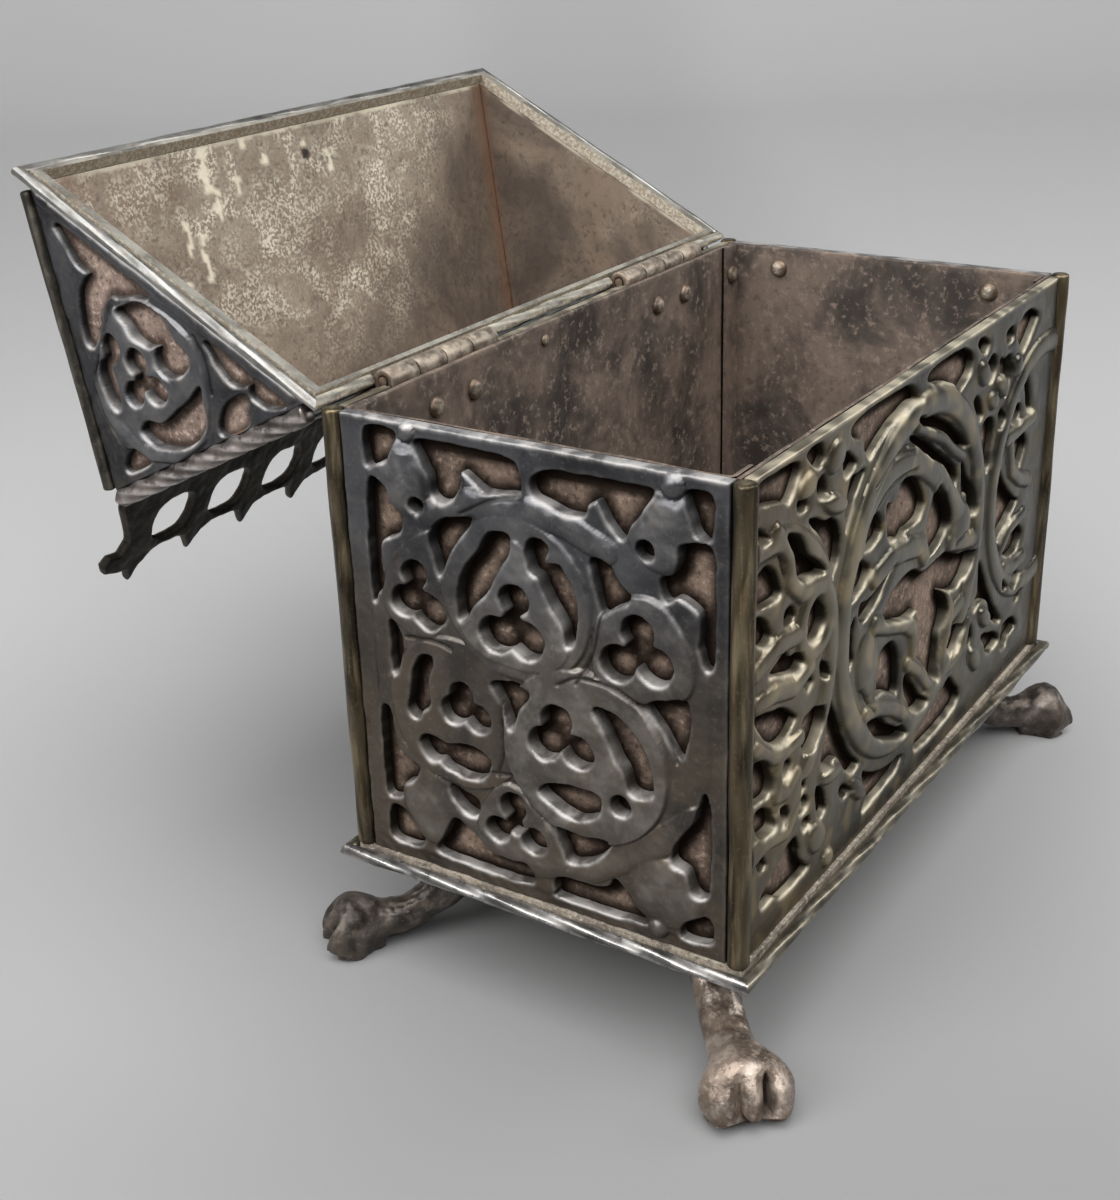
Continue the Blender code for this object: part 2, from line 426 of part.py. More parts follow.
def foil(lobes, steps=4):
    """Outline of touching round lobes, run round their common middle."""
    mx = sum(lobe[0] for lobe in lobes) / len(lobes)
    my = sum(lobe[1] for lobe in lobes) / len(lobes)
    around = sorted(lobes, key=lambda lobe: math.atan2(lobe[1] - my, lobe[0] - mx))
    outline = []
    for x, y, radius in around:
        heading = math.atan2(y - my, x - mx)
        for k in range(steps):
            angle = heading + math.radians(-105 + 210 * k / (steps - 1))
            outline.append((x + radius * math.cos(angle), y + radius * math.sin(angle)))
    return outline


def stretched(loop, field, width, height):
    return [(x * width / field[0], y * height / field[1]) for x, y in loop]


def round_bar(name, radius, start, length, axis, look, parent=None, count=14):
    verts = []
    for end in (0.0, length):
        for u, v in circle(0.0, 0.0, radius, count):
            verts.append({"x": (end, u, v), "z": (u, v, end)}[axis])
    faces = [[k, (k + 1) % count, count + (k + 1) % count, count + k] for k in range(count)]
    faces += [list(range(count)), list(range(count, 2 * count))]
    return add(name, verts, faces, look, Matrix.Translation(start), parent, smooth=True)


def twisted_bar(name, side, start, end, turn_length, look, parent=None):
    """A square bar twisted evenly about its axis, from start to end."""
    along = Vector(end) - Vector(start)
    length = along.length
    axis = along.normalized()
    first = axis.orthogonal().normalized()
    second = axis.cross(first)
    rings = max(2, math.ceil(8 * length / turn_length) + 1)
    radius = side / math.sqrt(2)
    verts = []
    for ring in range(rings):
        share = ring / (rings - 1)
        turn = 2 * math.pi * length * share / turn_length
        for u, v in circle(0.0, 0.0, radius, 4, turn):
            verts.append(Vector(start) + along * share + first * u + second * v)
    faces = [[0, 1, 2, 3], [4 * rings - 4 + k for k in range(4)]]
    for ring in range(rings - 1):
        for k in range(4):
            a = 4 * ring + k
            b = 4 * ring + (k + 1) % 4
            faces.append([a, b, b + 4])
            faces.append([a, b + 4, a + 4])
    return add(name, verts, faces, look, None, parent)


def rivet(name, radius, height, place, look):
    """A domed head with a flat back on the local plane z 0."""
    count = 10
    verts = []
    for share in (1.0, 0.78, 0.42):
        level = height * math.sqrt(1 - share * share)
        verts += [(u, v, level) for u, v in circle(0.0, 0.0, radius * share, count)]
    verts.append((0.0, 0.0, height))
    faces = [list(range(count))]
    for ring in range(2):
        for k in range(count):
            a = ring * count + k
            b = ring * count + (k + 1) % count
            faces.append([a, b, b + count, a + count])
    faces += [[2 * count + k, 2 * count + (k + 1) % count, 3 * count] for k in range(count)]
    return add(name, verts, faces, look, place, smooth=True)


# Sections of a paw foot from its root to the toes, in millimetres in the upright plane that it
# points along: distance outwards, level, half width, half depth and cleft between the toes.
FOOT_SECTIONS = [
    (-9.0, -0.2, 6.4, 8.5, 0.0),
    (-7.0, -7.0, 6.3, 7.4, 0.0),
    (-2.0, -14.0, 6.2, 6.2, 0.0),
    (6.0, -19.0, 6.2, 5.2, 0.0),
    (14.0, -21.4, 6.4, 5.0, 0.0),
    (21.0, -21.8, 6.6, 5.6, 0.02),
    (26.5, -21.6, 8.4, 7.2, 0.06),
    (31.5, -22.2, 11.2, 8.0, 0.22),
    (36.0, -24.2, 11.4, 5.8, 0.42),
    (38.8, -26.2, 10.2, 3.8, 0.5),
]
FOOT_SOLE = 1.5
FOOT_ACROSS = (1.0, 0.88, 0.66, 0.45, 0.33, 0.2, 0.0, -0.2, -0.33, -0.45, -0.66, -0.88)
FOOT_BELOW = (-1.0, -0.8, -0.4, 0.0, 0.4, 0.8)


def foot(name, root, heading, stretch, breadth, look):
    """A leg that curves out and down into a paw of three toes, with a flat sole."""
    scale = FOOT_HEIGHT / 0.0295
    out = Vector((math.cos(heading), math.sin(heading), 0.0))
    side = Vector((-math.sin(heading), math.cos(heading), 0.0))
    verts = []
    last = len(FOOT_SECTIONS) - 1
    for k, (s, z, width, depth, cleft) in enumerate(FOOT_SECTIONS):
        before = FOOT_SECTIONS[max(k - 1, 0)]
        after = FOOT_SECTIONS[min(k + 1, last)]
        run = Vector((after[0] - before[0], after[1] - before[1])).normalized()
        if k == 0:
            run = Vector((0.0, -1.0))
        ring = [(w, math.sqrt(max(0.0, 1 - w * w))) for w in FOOT_ACROSS]
        ring += [(w, -math.sqrt(max(0.0, 1 - w * w))) for w in FOOT_BELOW]
        for w, t in ring:
            dip = cleft * math.exp(-((abs(w) - 0.33) / 0.09) ** 2)
            if t > 0:
                t *= 1 - dip
            elif cleft > 0:
                t *= FOOT_SOLE
            reach = s - run.y * depth * t - 7.0 * dip * (k / last) ** 3
            reach *= stretch if reach > 0 else 1.0
            level = z + run.x * depth * t
            level = max(level, -FOOT_HEIGHT / MM / scale)
            if k == 0:
                level = z
            verts.append((root + out * reach * MM * scale + side * width * breadth * w * MM * scale)
                         + Vector((0.0, 0.0, level * MM * scale)))
    count = len(FOOT_ACROSS) + len(FOOT_BELOW)
    faces = [list(range(count)), [last * count + k for k in range(count)]]
    for ring in range(last):
        for k in range(count):
            a = ring * count + k
            b = ring * count + (k + 1) % count
            faces.append([a, b, b + count, a + count])
    return add(name, verts, faces, look, smooth=True)


def join(thing, others):
    """Weld overlapping pieces into one closed body."""
    for other in others:
        step = thing.modifiers.new("weld", "BOOLEAN")
        step.operation = "UNION"
        step.solver = "EXACT"
        step.object = other
        other.hide_render = True
        other.display_type = "WIRE"
    bpy.context.view_layer.update()
    ready = thing.evaluated_get(bpy.context.evaluated_depsgraph_get())
    mesh = bpy.data.meshes.new_from_object(ready)
    thing.modifiers.clear()
    thing.data = mesh
    for other in others:
        bpy.data.objects.remove(other)
    return thing


def knuckle(name, low, high, neck, look):
    """A rolled eye round the hinge axis from x low to high, with the neck that ties it to its leaf."""
    bore = PIN_RADIUS + PIN_CLEARANCE
    outline = circle(HINGE_Y, HINGE_Z, BARREL_RADIUS, 20)
    side = frame_of(Vector((low, 0, 0)), Vector((0, 1, 0)), Vector((0, 0, 1)), Vector((1, 0, 0)))
    eye = slab(name, outline, [circle(HINGE_Y, HINGE_Z, bore, 14)], high - low, look, side)
    tie = slab(name + "_tie", neck, [], high - low - 2 * FIT, look,
               Matrix.Translation((FIT, 0, 0)) @ side)
    return eye, tie


for old in list(bpy.data.objects):
    bpy.data.objects.remove(old, do_unlink=True)

sheet_iron = material("sheet_iron", (0.17, 0.13, 0.10), 0.75)
tracery_iron = material("tracery_iron", (0.16, 0.155, 0.15), 0.5)
bar_iron = material("bar_iron", (0.26, 0.24, 0.20), 0.45)
foot_iron = material("foot_iron", (0.23, 0.18, 0.14), 0.45)
hinge_iron = material("hinge_iron", (0.24, 0.19, 0.15), 0.6)
crest_iron = material("crest_iron", (0.10, 0.095, 0.085), 0.6)

X = Vector((1, 0, 0))
Y = Vector((0, 1, 0))
Z = Vector((0, 0, 1))

# Base plate with its twisted bars
box("base_plate", (-BASE_X, -BASE_Y, 0.0), (BASE_X, BASE_Y, BASE_THICKNESS), sheet_iron)
bar_x = BASE_X + FIT + BAR_RADIUS
bar_y = BASE_Y + FIT + BAR_RADIUS
bar_z = BASE_THICKNESS - FIT - BAR_RADIUS
bar_end = bar_x + BAR_RADIUS
for side, name in ((-1, "front"), (1, "back")):
    twisted_bar("base_bar_" + name, BAR_SIDE, (-bar_end, side * bar_y, bar_z),
                (bar_end, side * bar_y, bar_z), BAR_TURN_LENGTH, bar_iron)
bar_half = bar_y - BAR_RADIUS - FIT
for side, name in ((-1, "left"), (1, "right")):
    twisted_bar("base_bar_" + name, BAR_SIDE, (side * bar_x, -bar_half, bar_z),
                (side * bar_x, bar_half, bar_z), BAR_TURN_LENGTH, bar_iron)

# Walls: front and back sheets, and end sheets with flanges turned in behind them
for side, name in ((-1, "front"), (1, "back")):
    inner = HALF_D - WALL
    low = min(side * inner, side * HALF_D)
    box("wall_" + name, (-HALF_L, low, WALL_FOOT), (HALF_L, low + WALL, WALL_TOP), sheet_iron)
end_half = HALF_D - WALL - FIT
for side, name in ((-1, "left"), (1, "right")):
    outer = side * HALF_L
    inner = side * (HALF_L - WALL)
    tip = side * (HALF_L - FLANGE_LENGTH)
    outline = [(outer, -end_half), (outer, end_half), (tip, end_half), (tip, end_half - WALL),
               (inner, end_half - WALL), (inner, -end_half + WALL), (tip, -end_half + WALL),
               (tip, -end_half)]
    slab("wall_" + name, outline, [], WALL_TOP - WALL_FOOT, sheet_iron,
         Matrix.Translation((0, 0, WALL_FOOT)))

# Corner posts
for sx, first in ((-1, "left"), (1, "right")):
    for sy, second in ((-1, "front"), (1, "back")):
        round_bar("post_" + second + "_" + first, POST_RADIUS, (sx * POST_X, sy * POST_Y, WALL_FOOT),
                  WALL_TOP - WALL_FOOT, "z", bar_iron)

# Pierced panels on the four walls. The back one is let out round the hinge leaves.
panel_height = WALL_TOP - PANEL_TOP_DROP - WALL_FOOT
end_width = 2 * (POST_Y - POST_RADIUS - POST_GAP)
long_width = 2 * (POST_X - POST_RADIUS - POST_GAP)


def settled(points, settle):
    """Carry drawn points from the sheet behind to the face of the panel."""
    a, b, c, d, e, f, g = settle
    return [(x * (a + b * y) + c + d * y, e + f * y + g * y * y, *rest) for x, y, *rest in points]


def shifted(loop, step):
    """Move the side of a loop that faces along the step by that step."""
    around = list(zip(loop, loop[1:] + loop[:1]))
    turn = math.copysign(1.0, sum(x0 * y1 - x1 * y0 for (x0, y0), (x1, y1) in around))
    moved = []
    for k, (x, y) in enumerate(loop):
        before = loop[k - 1]
        after = loop[(k + 1) % len(loop)]
        facing = turn * ((after[1] - before[1]) * step[0] - (after[0] - before[0]) * step[1])
        moved.append((x + step[0], y + step[1]) if facing > 0 else (x, y))
    return moved


def between(one, other):
    """Least distance between two loops that do not cross."""
    least = math.inf
    for points, edges in ((one, other), (other, one)):
        spots = np.array(points)[:, None]
        starts = np.array(edges)[None]
        runs = np.roll(starts, -1, 1) - starts
        shares = ((spots - starts) * runs).sum(-1) / np.maximum((runs * runs).sum(-1), 1e-9)
        gaps = spots - starts - runs * np.clip(shares, 0.0, 1.0)[..., None]
        least = min(least, float(np.linalg.norm(gaps, axis=-1).min()))
    return least


def grown(loops, discs, step):
    """Grow every loop by the step, or by less where too little iron would be left."""
    made = list(loops)
    for k, loop in enumerate(loops):
        others = made[:k] + made[k + 1:] + discs
        for share in (1.0, 0.6, 0.3):
            larger = shifted(loop, (step[0] * share, step[1] * share))
            if min(between(larger, other) for other in others) >= GROWN_GAP:
                made[k] = larger
                break
    return made


def face_holes(holes, rounds, foils, field, width, height, settle, step):
    """Openings of a body panel, carried to its face and grown."""
    loops = [settled(loop, settle) for loop in holes]
    rounds = settled(rounds, settle)
    foils = [settled(lobes, settle) for lobes in foils]
    discs = [circle(x, y, r, 8) for x, y, r in rounds]
    for lobes in foils:
        discs += [circle(x, y, r, 8) for x, y, r in lobes]
    return panel_holes(grown(loops, discs, step), rounds, foils, field, width, height)


def panel_holes(holes, rounds, foils, field, width, height):
    loops = [[(x * MM, y * MM) for x, y in loop] for loop in holes]
    loops += [circle(x * MM, y * MM, r * MM, 8) for x, y, r in rounds]
    loops += [foil([(x * MM, y * MM, r * MM) for x, y, r in lobes]) for lobes in foils]
    size = (field[0] * MM, field[1] * MM)
    return [stretched(loop, size, width, height) for loop in loops]


end_holes = face_holes(END_HOLES, END_ROUNDS, END_FOILS, END_FIELD, end_width, panel_height,
                       END_SETTLE, END_STEP)
long_holes = panel_holes(FRONT_HOLES, [], [], FRONT_FIELD, long_width, panel_height)
end_outline = [(-end_width / 2, 0), (end_width / 2, 0), (end_width / 2, panel_height),
               (-end_width / 2, panel_height)]
long_outline = [(-long_width / 2, 0), (long_width / 2, 0), (long_width / 2, panel_height),
                (-long_width / 2, panel_height)]
notch = WALL_TOP - LEAF_DROP - KNUCKLE_GAP - WALL_FOOT
back_outline = long_outline[:3]
for middle in (HINGE_CENTRE, -HINGE_CENTRE):
    for x, y in ((0.5, panel_height), (0.5, notch), (-0.5, notch), (-0.5, panel_height)):
        back_outline.append((middle + 2 * x * (HINGE_LENGTH / 2 + KNUCKLE_GAP), y))
back_outline.append(long_outline[3])
back_holes = [hole for hole in long_holes if max(y for x, y in hole) < notch - 4 * WALL]
slab("panel_left", end_outline, end_holes, PANEL, tracery_iron,
     frame_of(Vector((-HALF_L - SEAT, 0, WALL_FOOT)), -Y, Z, -X))
slab("panel_right", end_outline, end_holes, PANEL, tracery_iron,
     frame_of(Vector((HALF_L + SEAT, 0, WALL_FOOT)), Y, Z, X))
slab("panel_front", long_outline, long_holes, PANEL, tracery_iron,
     frame_of(Vector((0, -HALF_D - SEAT, WALL_FOOT)), X, Z, -Y))
slab("panel_back", back_outline, back_holes, PANEL, tracery_iron,
     frame_of(Vector((0, HALF_D + SEAT, WALL_FOOT)), -X, Z, Y))

# Paw feet under the corners
for sx, first in ((-1, "left"), (1, "right")):
    for sy, second in ((-1, "front"), (1, "back")):
        root = Vector((sx * (BASE_X - FOOT_INSET), sy * (BASE_Y - FOOT_INSET), 0.0))
        heading = math.atan2(sy, sx) + math.radians(FOOT_TURN.get((second, first), 0.0))
        foot("foot_" + second + "_" + first, root, heading, FOOT_STRETCH[second, first],
             FOOT_BREADTH[second, first], foot_iron)

# Lid frame on the hinge axis; the lid is drawn shut and then turned open about it
lid_axis = bpy.data.objects.new("lid_axis", None)
lid_axis.location = (0.0, HINGE_Y, HINGE_Z)
bpy.context.scene.collection.objects.link(lid_axis)

# Hinges: knuckles 1 and 3 belong to the wall, 2 and 4 to the lid
bore_wall = BARREL_RADIUS - PIN_RADIUS - PIN_CLEARANCE
leaf_y = HALF_D + FIT
step = HINGE_LENGTH / KNUCKLES
slope_up = Vector((-math.cos(SLOPE), math.sin(SLOPE)))
slope_out = Vector((math.sin(SLOPE), math.cos(SLOPE)))
slope_base = Vector((LID_SHIFT + LID_Y, RIM_TOP))
hinge_at = Vector((HINGE_Y, HINGE_Z))


def on_slope(up, out):
    return tuple(slope_base + slope_up * up + slope_out * out)


for sx, side in ((-1, "left"), (1, "right")):
    start = sx * HINGE_CENTRE - HINGE_LENGTH / 2
    body_leaf = box("hinge_leaf_body_" + side, (start, leaf_y, WALL_TOP - LEAF_DROP),
                    (start + HINGE_LENGTH, leaf_y + LEAF, HINGE_Z - BARREL_RADIUS - KNUCKLE_GAP),
                    hinge_iron)
    strap = [on_slope(STRAP_START, FIT), on_slope(STRAP_END, FIT), on_slope(STRAP_END, FIT + LEAF),
             on_slope(STRAP_START, FIT + LEAF)]
    lid_leaf = slab("hinge_leaf_lid_" + side, strap, [], HINGE_LENGTH, hinge_iron,
                    frame_of(Vector((start, 0, 0)), Y, Z, X))
    body_parts = []
    lid_parts = []
    for k in range(KNUCKLES):
        low = start + k * step + KNUCKLE_GAP / 2
        high = low + step - KNUCKLE_GAP
        if k % 2 == 0:
            near = leaf_y + FIT
            far = leaf_y + LEAF - FIT
            neck = [(near, HINGE_Z - 2 * BARREL_RADIUS), (far, HINGE_Z - 2 * BARREL_RADIUS),
                    (far, HINGE_Z - FIT), (near + FIT, HINGE_Z - FIT)]
            body_parts += knuckle("eye", low, high, neck, hinge_iron)
        else:
            grip = Vector(on_slope(STRAP_START + LEAF, FIT + LEAF / 2))
            toward = (grip - hinge_at).normalized()
            across = Vector((-toward.y, toward.x)) * LEAF * 0.4
            root = hinge_at + toward * (BARREL_RADIUS - bore_wall / 2)
            neck = [tuple(root + across), tuple(root - across), tuple(grip - across), tuple(grip + across)]
            lid_parts += knuckle("eye", low, high, neck, hinge_iron)
    join(body_leaf, body_parts)
    join(lid_leaf, lid_parts)
    lid_leaf.parent = lid_axis
    lid_leaf.matrix_parent_inverse = Matrix.Translation(-lid_axis.location)
    round_bar("hinge_pin_" + side, PIN_RADIUS, (start, HINGE_Y, HINGE_Z), HINGE_LENGTH, "x", bar_iron)

# Lid rim: a thin frame with twisted bars round it, on which the panels stand
lid_move = Matrix.Translation((0, LID_SHIFT, 0))
frame_x = RIM_HALF_LENGTH - 2 * ROPE_RADIUS - FIT
frame_y = RIM_HALF_DEPTH - 2 * ROPE_RADIUS - FIT
rim_outline = [(-frame_x, -frame_y), (frame_x, -frame_y), (frame_x, frame_y), (-frame_x, frame_y)]
rim_hole = [(-INNER_X, -INNER_Y), (INNER_X, -INNER_Y), (INNER_X, INNER_Y), (-INNER_X, INNER_Y)]
slab("lid_rim", rim_outline, [rim_hole], RIM_THICKNESS, bar_iron,
     lid_move @ Matrix.Translation((0, 0, RIM_BOTTOM)), lid_axis)
rope_x = RIM_HALF_LENGTH - ROPE_RADIUS
rope_y = RIM_HALF_DEPTH - ROPE_RADIUS
rope_z = RIM_BOTTOM + ROPE_RADIUS
rope_front = LID_SHIFT - rope_y
rope_back = LID_SHIFT + rope_y
twisted_bar("rim_bar_front", ROPE_SIDE, (-RIM_HALF_LENGTH, rope_front, rope_z),
            (RIM_HALF_LENGTH, rope_front, rope_z), ROPE_TURN_LENGTH, bar_iron, lid_axis)
rope_half = rope_y - ROPE_RADIUS - FIT
for sx, side in ((-1, "left"), (1, "right")):
    twisted_bar("rim_bar_" + side, ROPE_SIDE, (sx * rope_x, LID_SHIFT - rope_half, rope_z),
                (sx * rope_x, LID_SHIFT + rope_half, rope_z), ROPE_TURN_LENGTH, bar_iron, lid_axis)
stop = HINGE_CENTRE - HINGE_LENGTH / 2 - KNUCKLE_GAP
resume = HINGE_CENTRE + HINGE_LENGTH / 2 + KNUCKLE_GAP
rear_bars = (("left", -RIM_HALF_LENGTH, -resume), ("middle", -stop, stop),
             ("right", resume, RIM_HALF_LENGTH))
for name, low, high in rear_bars:
    twisted_bar("rim_bar_back_" + name, ROPE_SIDE, (low, rope_back, rope_z), (high, rope_back, rope_z),
                ROPE_TURN_LENGTH, bar_iron, lid_axis)

# Lid sheets and the pierced panels over them
rise = math.sin(SLOPE)
run = math.cos(SLOPE)
ridge_gap = FIT
sheet_top_y = ridge_gap + LID_SHEET * rise
sheet_top = (SHEET_Y - sheet_top_y) / run
sheet_foot = (FIT + LID_SHEET * run) / rise
panel_top_y = CREST_THICKNESS / 2 + FIT + LID_PANEL * rise
panel_top = (LID_Y - panel_top_y) / run
panel_foot = (FIT + LID_PANEL * run) / rise
lean = math.tan(LEAN)


def slope_outline(x0, inset, foot_v, top_v):
    low = x0 - lean * foot_v * rise - inset
    high = x0 - lean * top_v * rise - inset
    return [(-low, foot_v), (low, foot_v), (high, top_v), (-high, top_v)]


def slope_holes(outline):
    """Three roundels of pierced foils with drops between them and the border."""
    loops = []
    for middle in (-SLOPE_PITCH, 0.0, SLOPE_PITCH):
        for k in range(4):
            angle = math.radians(45 + 90 * k)
            x = middle + 14.0 * math.cos(angle)
            y = 40.0 + 14.0 * math.sin(angle)
            loops.append(foil([(x + 4.6 * math.cos(angle + t), y + 4.6 * math.sin(angle + t), 3.6)
                               for t in (0.0, 2.1, 4.2)], 3))
            angle = math.radians(90 * k)
            x = middle + 20.5 * math.cos(angle)
            y = 40.0 + 20.5 * math.sin(angle)
            c = math.cos(angle)
            s = math.sin(angle)
            drop = [(4.0, 0.0), (0.0, 3.4), (-7.0, 0.0), (0.0, -3.4)]
            loops.append([(x + u * c - v * s, y + u * s + v * c) for u, v in drop])
    for middle in (-SLOPE_PITCH / 2, SLOPE_PITCH / 2):
        for level, tip in ((70.0, -12.0), (10.0, 12.0)):
            loops.append([(middle - 13.0, level), (middle, level + 0.2 * tip), (middle + 13.0, level),
                          (middle + 3.0, level + tip), (middle - 3.0, level + tip)])
    width = outline[1][0] - outline[0][0]
    height = outline[2][1] - outline[1][1]
    loops = [stretched(loop, SLOPE_FIELD, width, height) for loop in loops]
    return [[(x, y + outline[0][1]) for x, y in loop] for loop in loops]


for side, name in ((-1, "front"), (1, "back")):
    along = X * -side
    up = Vector((0, -side * run, rise))
    out = Vector((0, side * rise, run))
    sheet_back = Vector((0, LID_SHIFT + side * SHEET_Y, RIM_TOP)) - out * LID_SHEET
    sheet_place = frame_of(sheet_back, along, up, out)
    outline = slope_outline(SHEET_X, 0.0, sheet_foot, sheet_top)
    slab("lid_sheet_" + name, outline, [], LID_SHEET, sheet_iron, sheet_place, lid_axis)
    panel_back = Vector((0, LID_SHIFT + side * LID_Y, RIM_TOP)) - out * LID_PANEL
    panel_place = frame_of(panel_back, along, up, out)
    outline = slope_outline(SHEET_X, HIP_CUT, panel_foot, panel_top)
    slab("lid_panel_" + name, outline, slope_holes(outline), LID_PANEL, tracery_iron, panel_place,
         lid_axis)

end_rise = math.cos(LEAN)
for side, name in ((-1, "left"), (1, "right")):
    along = Y * side
    up = Vector((-side * math.sin(LEAN), 0, end_rise))
    out = Vector((side * end_rise, 0, math.sin(LEAN)))
    foot_v = 2 * FIT
    top_z = (INNER_Y - 2 * SEAT / rise) * math.tan(SLOPE) - 2 * LID_SHEET
    low = INNER_Y - 2 * SEAT / rise - foot_v / math.tan(SLOPE)
    high = 2 * LID_SHEET / math.tan(SLOPE)
    outline = [(-low, foot_v), (low, foot_v), (high, top_z), (-high, top_z)]
    place = lid_move @ frame_of(Vector((side * SHEET_X, 0, RIM_TOP)) - out * LID_SHEET, along, up, out)
    slab("lid_sheet_" + name, outline, [], LID_SHEET, sheet_iron, place, lid_axis)
    edge = SHEET_Y - HIP_CUT / rise
    top_z = sheet_top * rise - 2 * FIT
    low = edge - foot_v / math.tan(SLOPE)
    high = edge - top_z / math.tan(SLOPE)
    outline = [(-low, foot_v), (low, foot_v), (high, top_z), (-high, top_z)]
    holes = panel_holes(LID_END_HOLES, [], LID_END_FOILS, LID_END_FIELD, 2 * low, top_z)
    place = lid_move @ frame_of(Vector((side * LID_X, 0, RIM_TOP)) - out * LID_PANEL, along, up, out)
    slab("lid_panel_" + name, outline, holes, LID_PANEL, tracery_iron, place, lid_axis)

# Twisted mouldings over the four hips, seated on the corners of the sheets
hip_top = (SHEET_Y + HIP_OUT * rise - HIP_RADIUS - FIT) * math.tan(SLOPE)
for sx, first in ((-1, "left"), (1, "right")):
    for sy, second in ((-1, "front"), (1, "back")):
        ends = []
        for level in (2 * ROPE_RADIUS - RIM_THICKNESS + HIP_RADIUS + FIT, hip_top):
            x = SHEET_X - lean * level + HIP_OUT * end_rise
            y = SHEET_Y - level / math.tan(SLOPE) + HIP_OUT * rise
            z = RIM_TOP + level + HIP_OUT * (run + math.sin(LEAN))
            ends.append((sx * x, LID_SHIFT + sy * y, z))
        twisted_bar("hip_bar_" + second + "_" + first, HIP_SIDE, ends[0], ends[1], HIP_TURN_LENGTH,
                    bar_iron, lid_axis)

# Pierced cresting that stands on the ridge, with spurs between the arches and a finial at each end
crest_foot = sheet_top * rise + FIT
crest_half = SHEET_X - lean * crest_foot - HIP_RADIUS
arches = [(k - (CREST_ARCHES - 1) / 2) * CREST_PITCH for k in range(CREST_ARCHES)]
middle = (CREST_HOLE_BOTTOM + CREST_HOLE_TOP) / 2
crest_holes = []
for x in arches:
    half = CREST_HOLE_WIDTH / 2
    tall = (CREST_HOLE_TOP - CREST_HOLE_BOTTOM) / 2
    crest_holes.append([(x + half * math.copysign(abs(math.cos(a)) ** 0.7, math.cos(a)),
                         middle + tall * math.copysign(abs(math.sin(a)) ** 0.7, math.sin(a)))
                        for a in (2 * math.pi * k / 14 for k in range(14))])
top = []
for x in arches[:-1]:
    spur = x + CREST_PITCH / 2
    for dx, dz in ((-0.0075, -0.0014), (-0.0036, 0.0), (-0.0012, 0.7 * CREST_SPUR), (0.0, CREST_SPUR),
                   (0.0012, 0.7 * CREST_SPUR), (0.0036, 0.0), (0.0075, -0.0014)):
        top.append((spur + dx, CREST_BAND_TOP + dz))
last_arch = arches[-1]
end_x = last_arch + CREST_HOLE_WIDTH / 2
finial = [(last_arch + 0.002, CREST_BAND_TOP - 0.0016), (end_x - 0.002, CREST_BAND_TOP - 0.0004),
          (end_x + 0.0022, CREST_BAND_TOP + 0.0034), (end_x + 0.0046, CREST_BAND_TOP + CREST_FINIAL),
          (end_x + 0.0066, CREST_BAND_TOP + 0.0034), (end_x + 0.0120, CREST_BAND_TOP + 0.0024),
          (end_x + 0.0156, CREST_BAND_TOP + 0.0010), (end_x + 0.0172, CREST_BAND_TOP - 0.0022),
          (end_x + 0.0150, CREST_BAND_TOP - 0.0050), (end_x + 0.0110, CREST_BAND_TOP - 0.0044),
          (end_x + 0.0092, CREST_HOLE_TOP - 0.004), (end_x + 0.0104, middle),
          (crest_half, CREST_HOLE_BOTTOM - 0.0035), (crest_half, crest_foot)]
outline = [(-x, z) for x, z in reversed(finial)] + top + finial
slab("ridge_crest", outline, crest_holes, CREST_THICKNESS, crest_iron,
     lid_move @ frame_of(Vector((0, CREST_THICKNESS / 2, RIM_TOP)), X, Z, -Y), lid_axis)

lid_axis.rotation_euler = (-math.radians(OPEN_ANGLE), 0.0, 0.0)

# Rivet heads on the inner faces of the walls
inner_back = HALF_D - WALL - SEAT
for sx, side in ((-1, "left"), (1, "right")):
    for k, place in ((-1, "outer"), (1, "inner")):
        spot = Vector((sx * (HINGE_CENTRE - k * RIVET_SPREAD / 2), inner_back, WALL_TOP - RIVET_DROP))
        rivet("rivet_hinge_" + side + "_" + place, RIVET_RADIUS, RIVET_HEIGHT,
              frame_of(spot, -X, Z, -Y), hinge_iron)
    if sx > 0:
        spot = Vector((HALF_L - (FLANGE_LENGTH + WALL) / 2, end_half - WALL - SEAT, WALL_TOP - RIVET_DROP))
        rivet("rivet_flange", RIVET_RADIUS, RIVET_HEIGHT, frame_of(spot, -X, Z, -Y), hinge_iron)
spot = Vector((-HINGE_CENTRE / 4, inner_back, WALL_TOP - RIVET_DROP / 2))
rivet("rivet_small", SMALL_RIVET_RADIUS, RIVET_HEIGHT / 2, frame_of(spot, -X, Z, -Y), hinge_iron)
for sy, name in ((-1, "front"), (1, "back")):
    spot = Vector((HALF_L - WALL - SEAT, sy * SIDE_RIVET_SPREAD / 2, WALL_TOP - SIDE_RIVET_DROP))
    rivet("rivet_side_" + name, RIVET_RADIUS, RIVET_HEIGHT, frame_of(spot, Y, Z, -X), hinge_iron)
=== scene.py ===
import math

import bmesh
import bpy
import numpy as np
from mathutils import Matrix


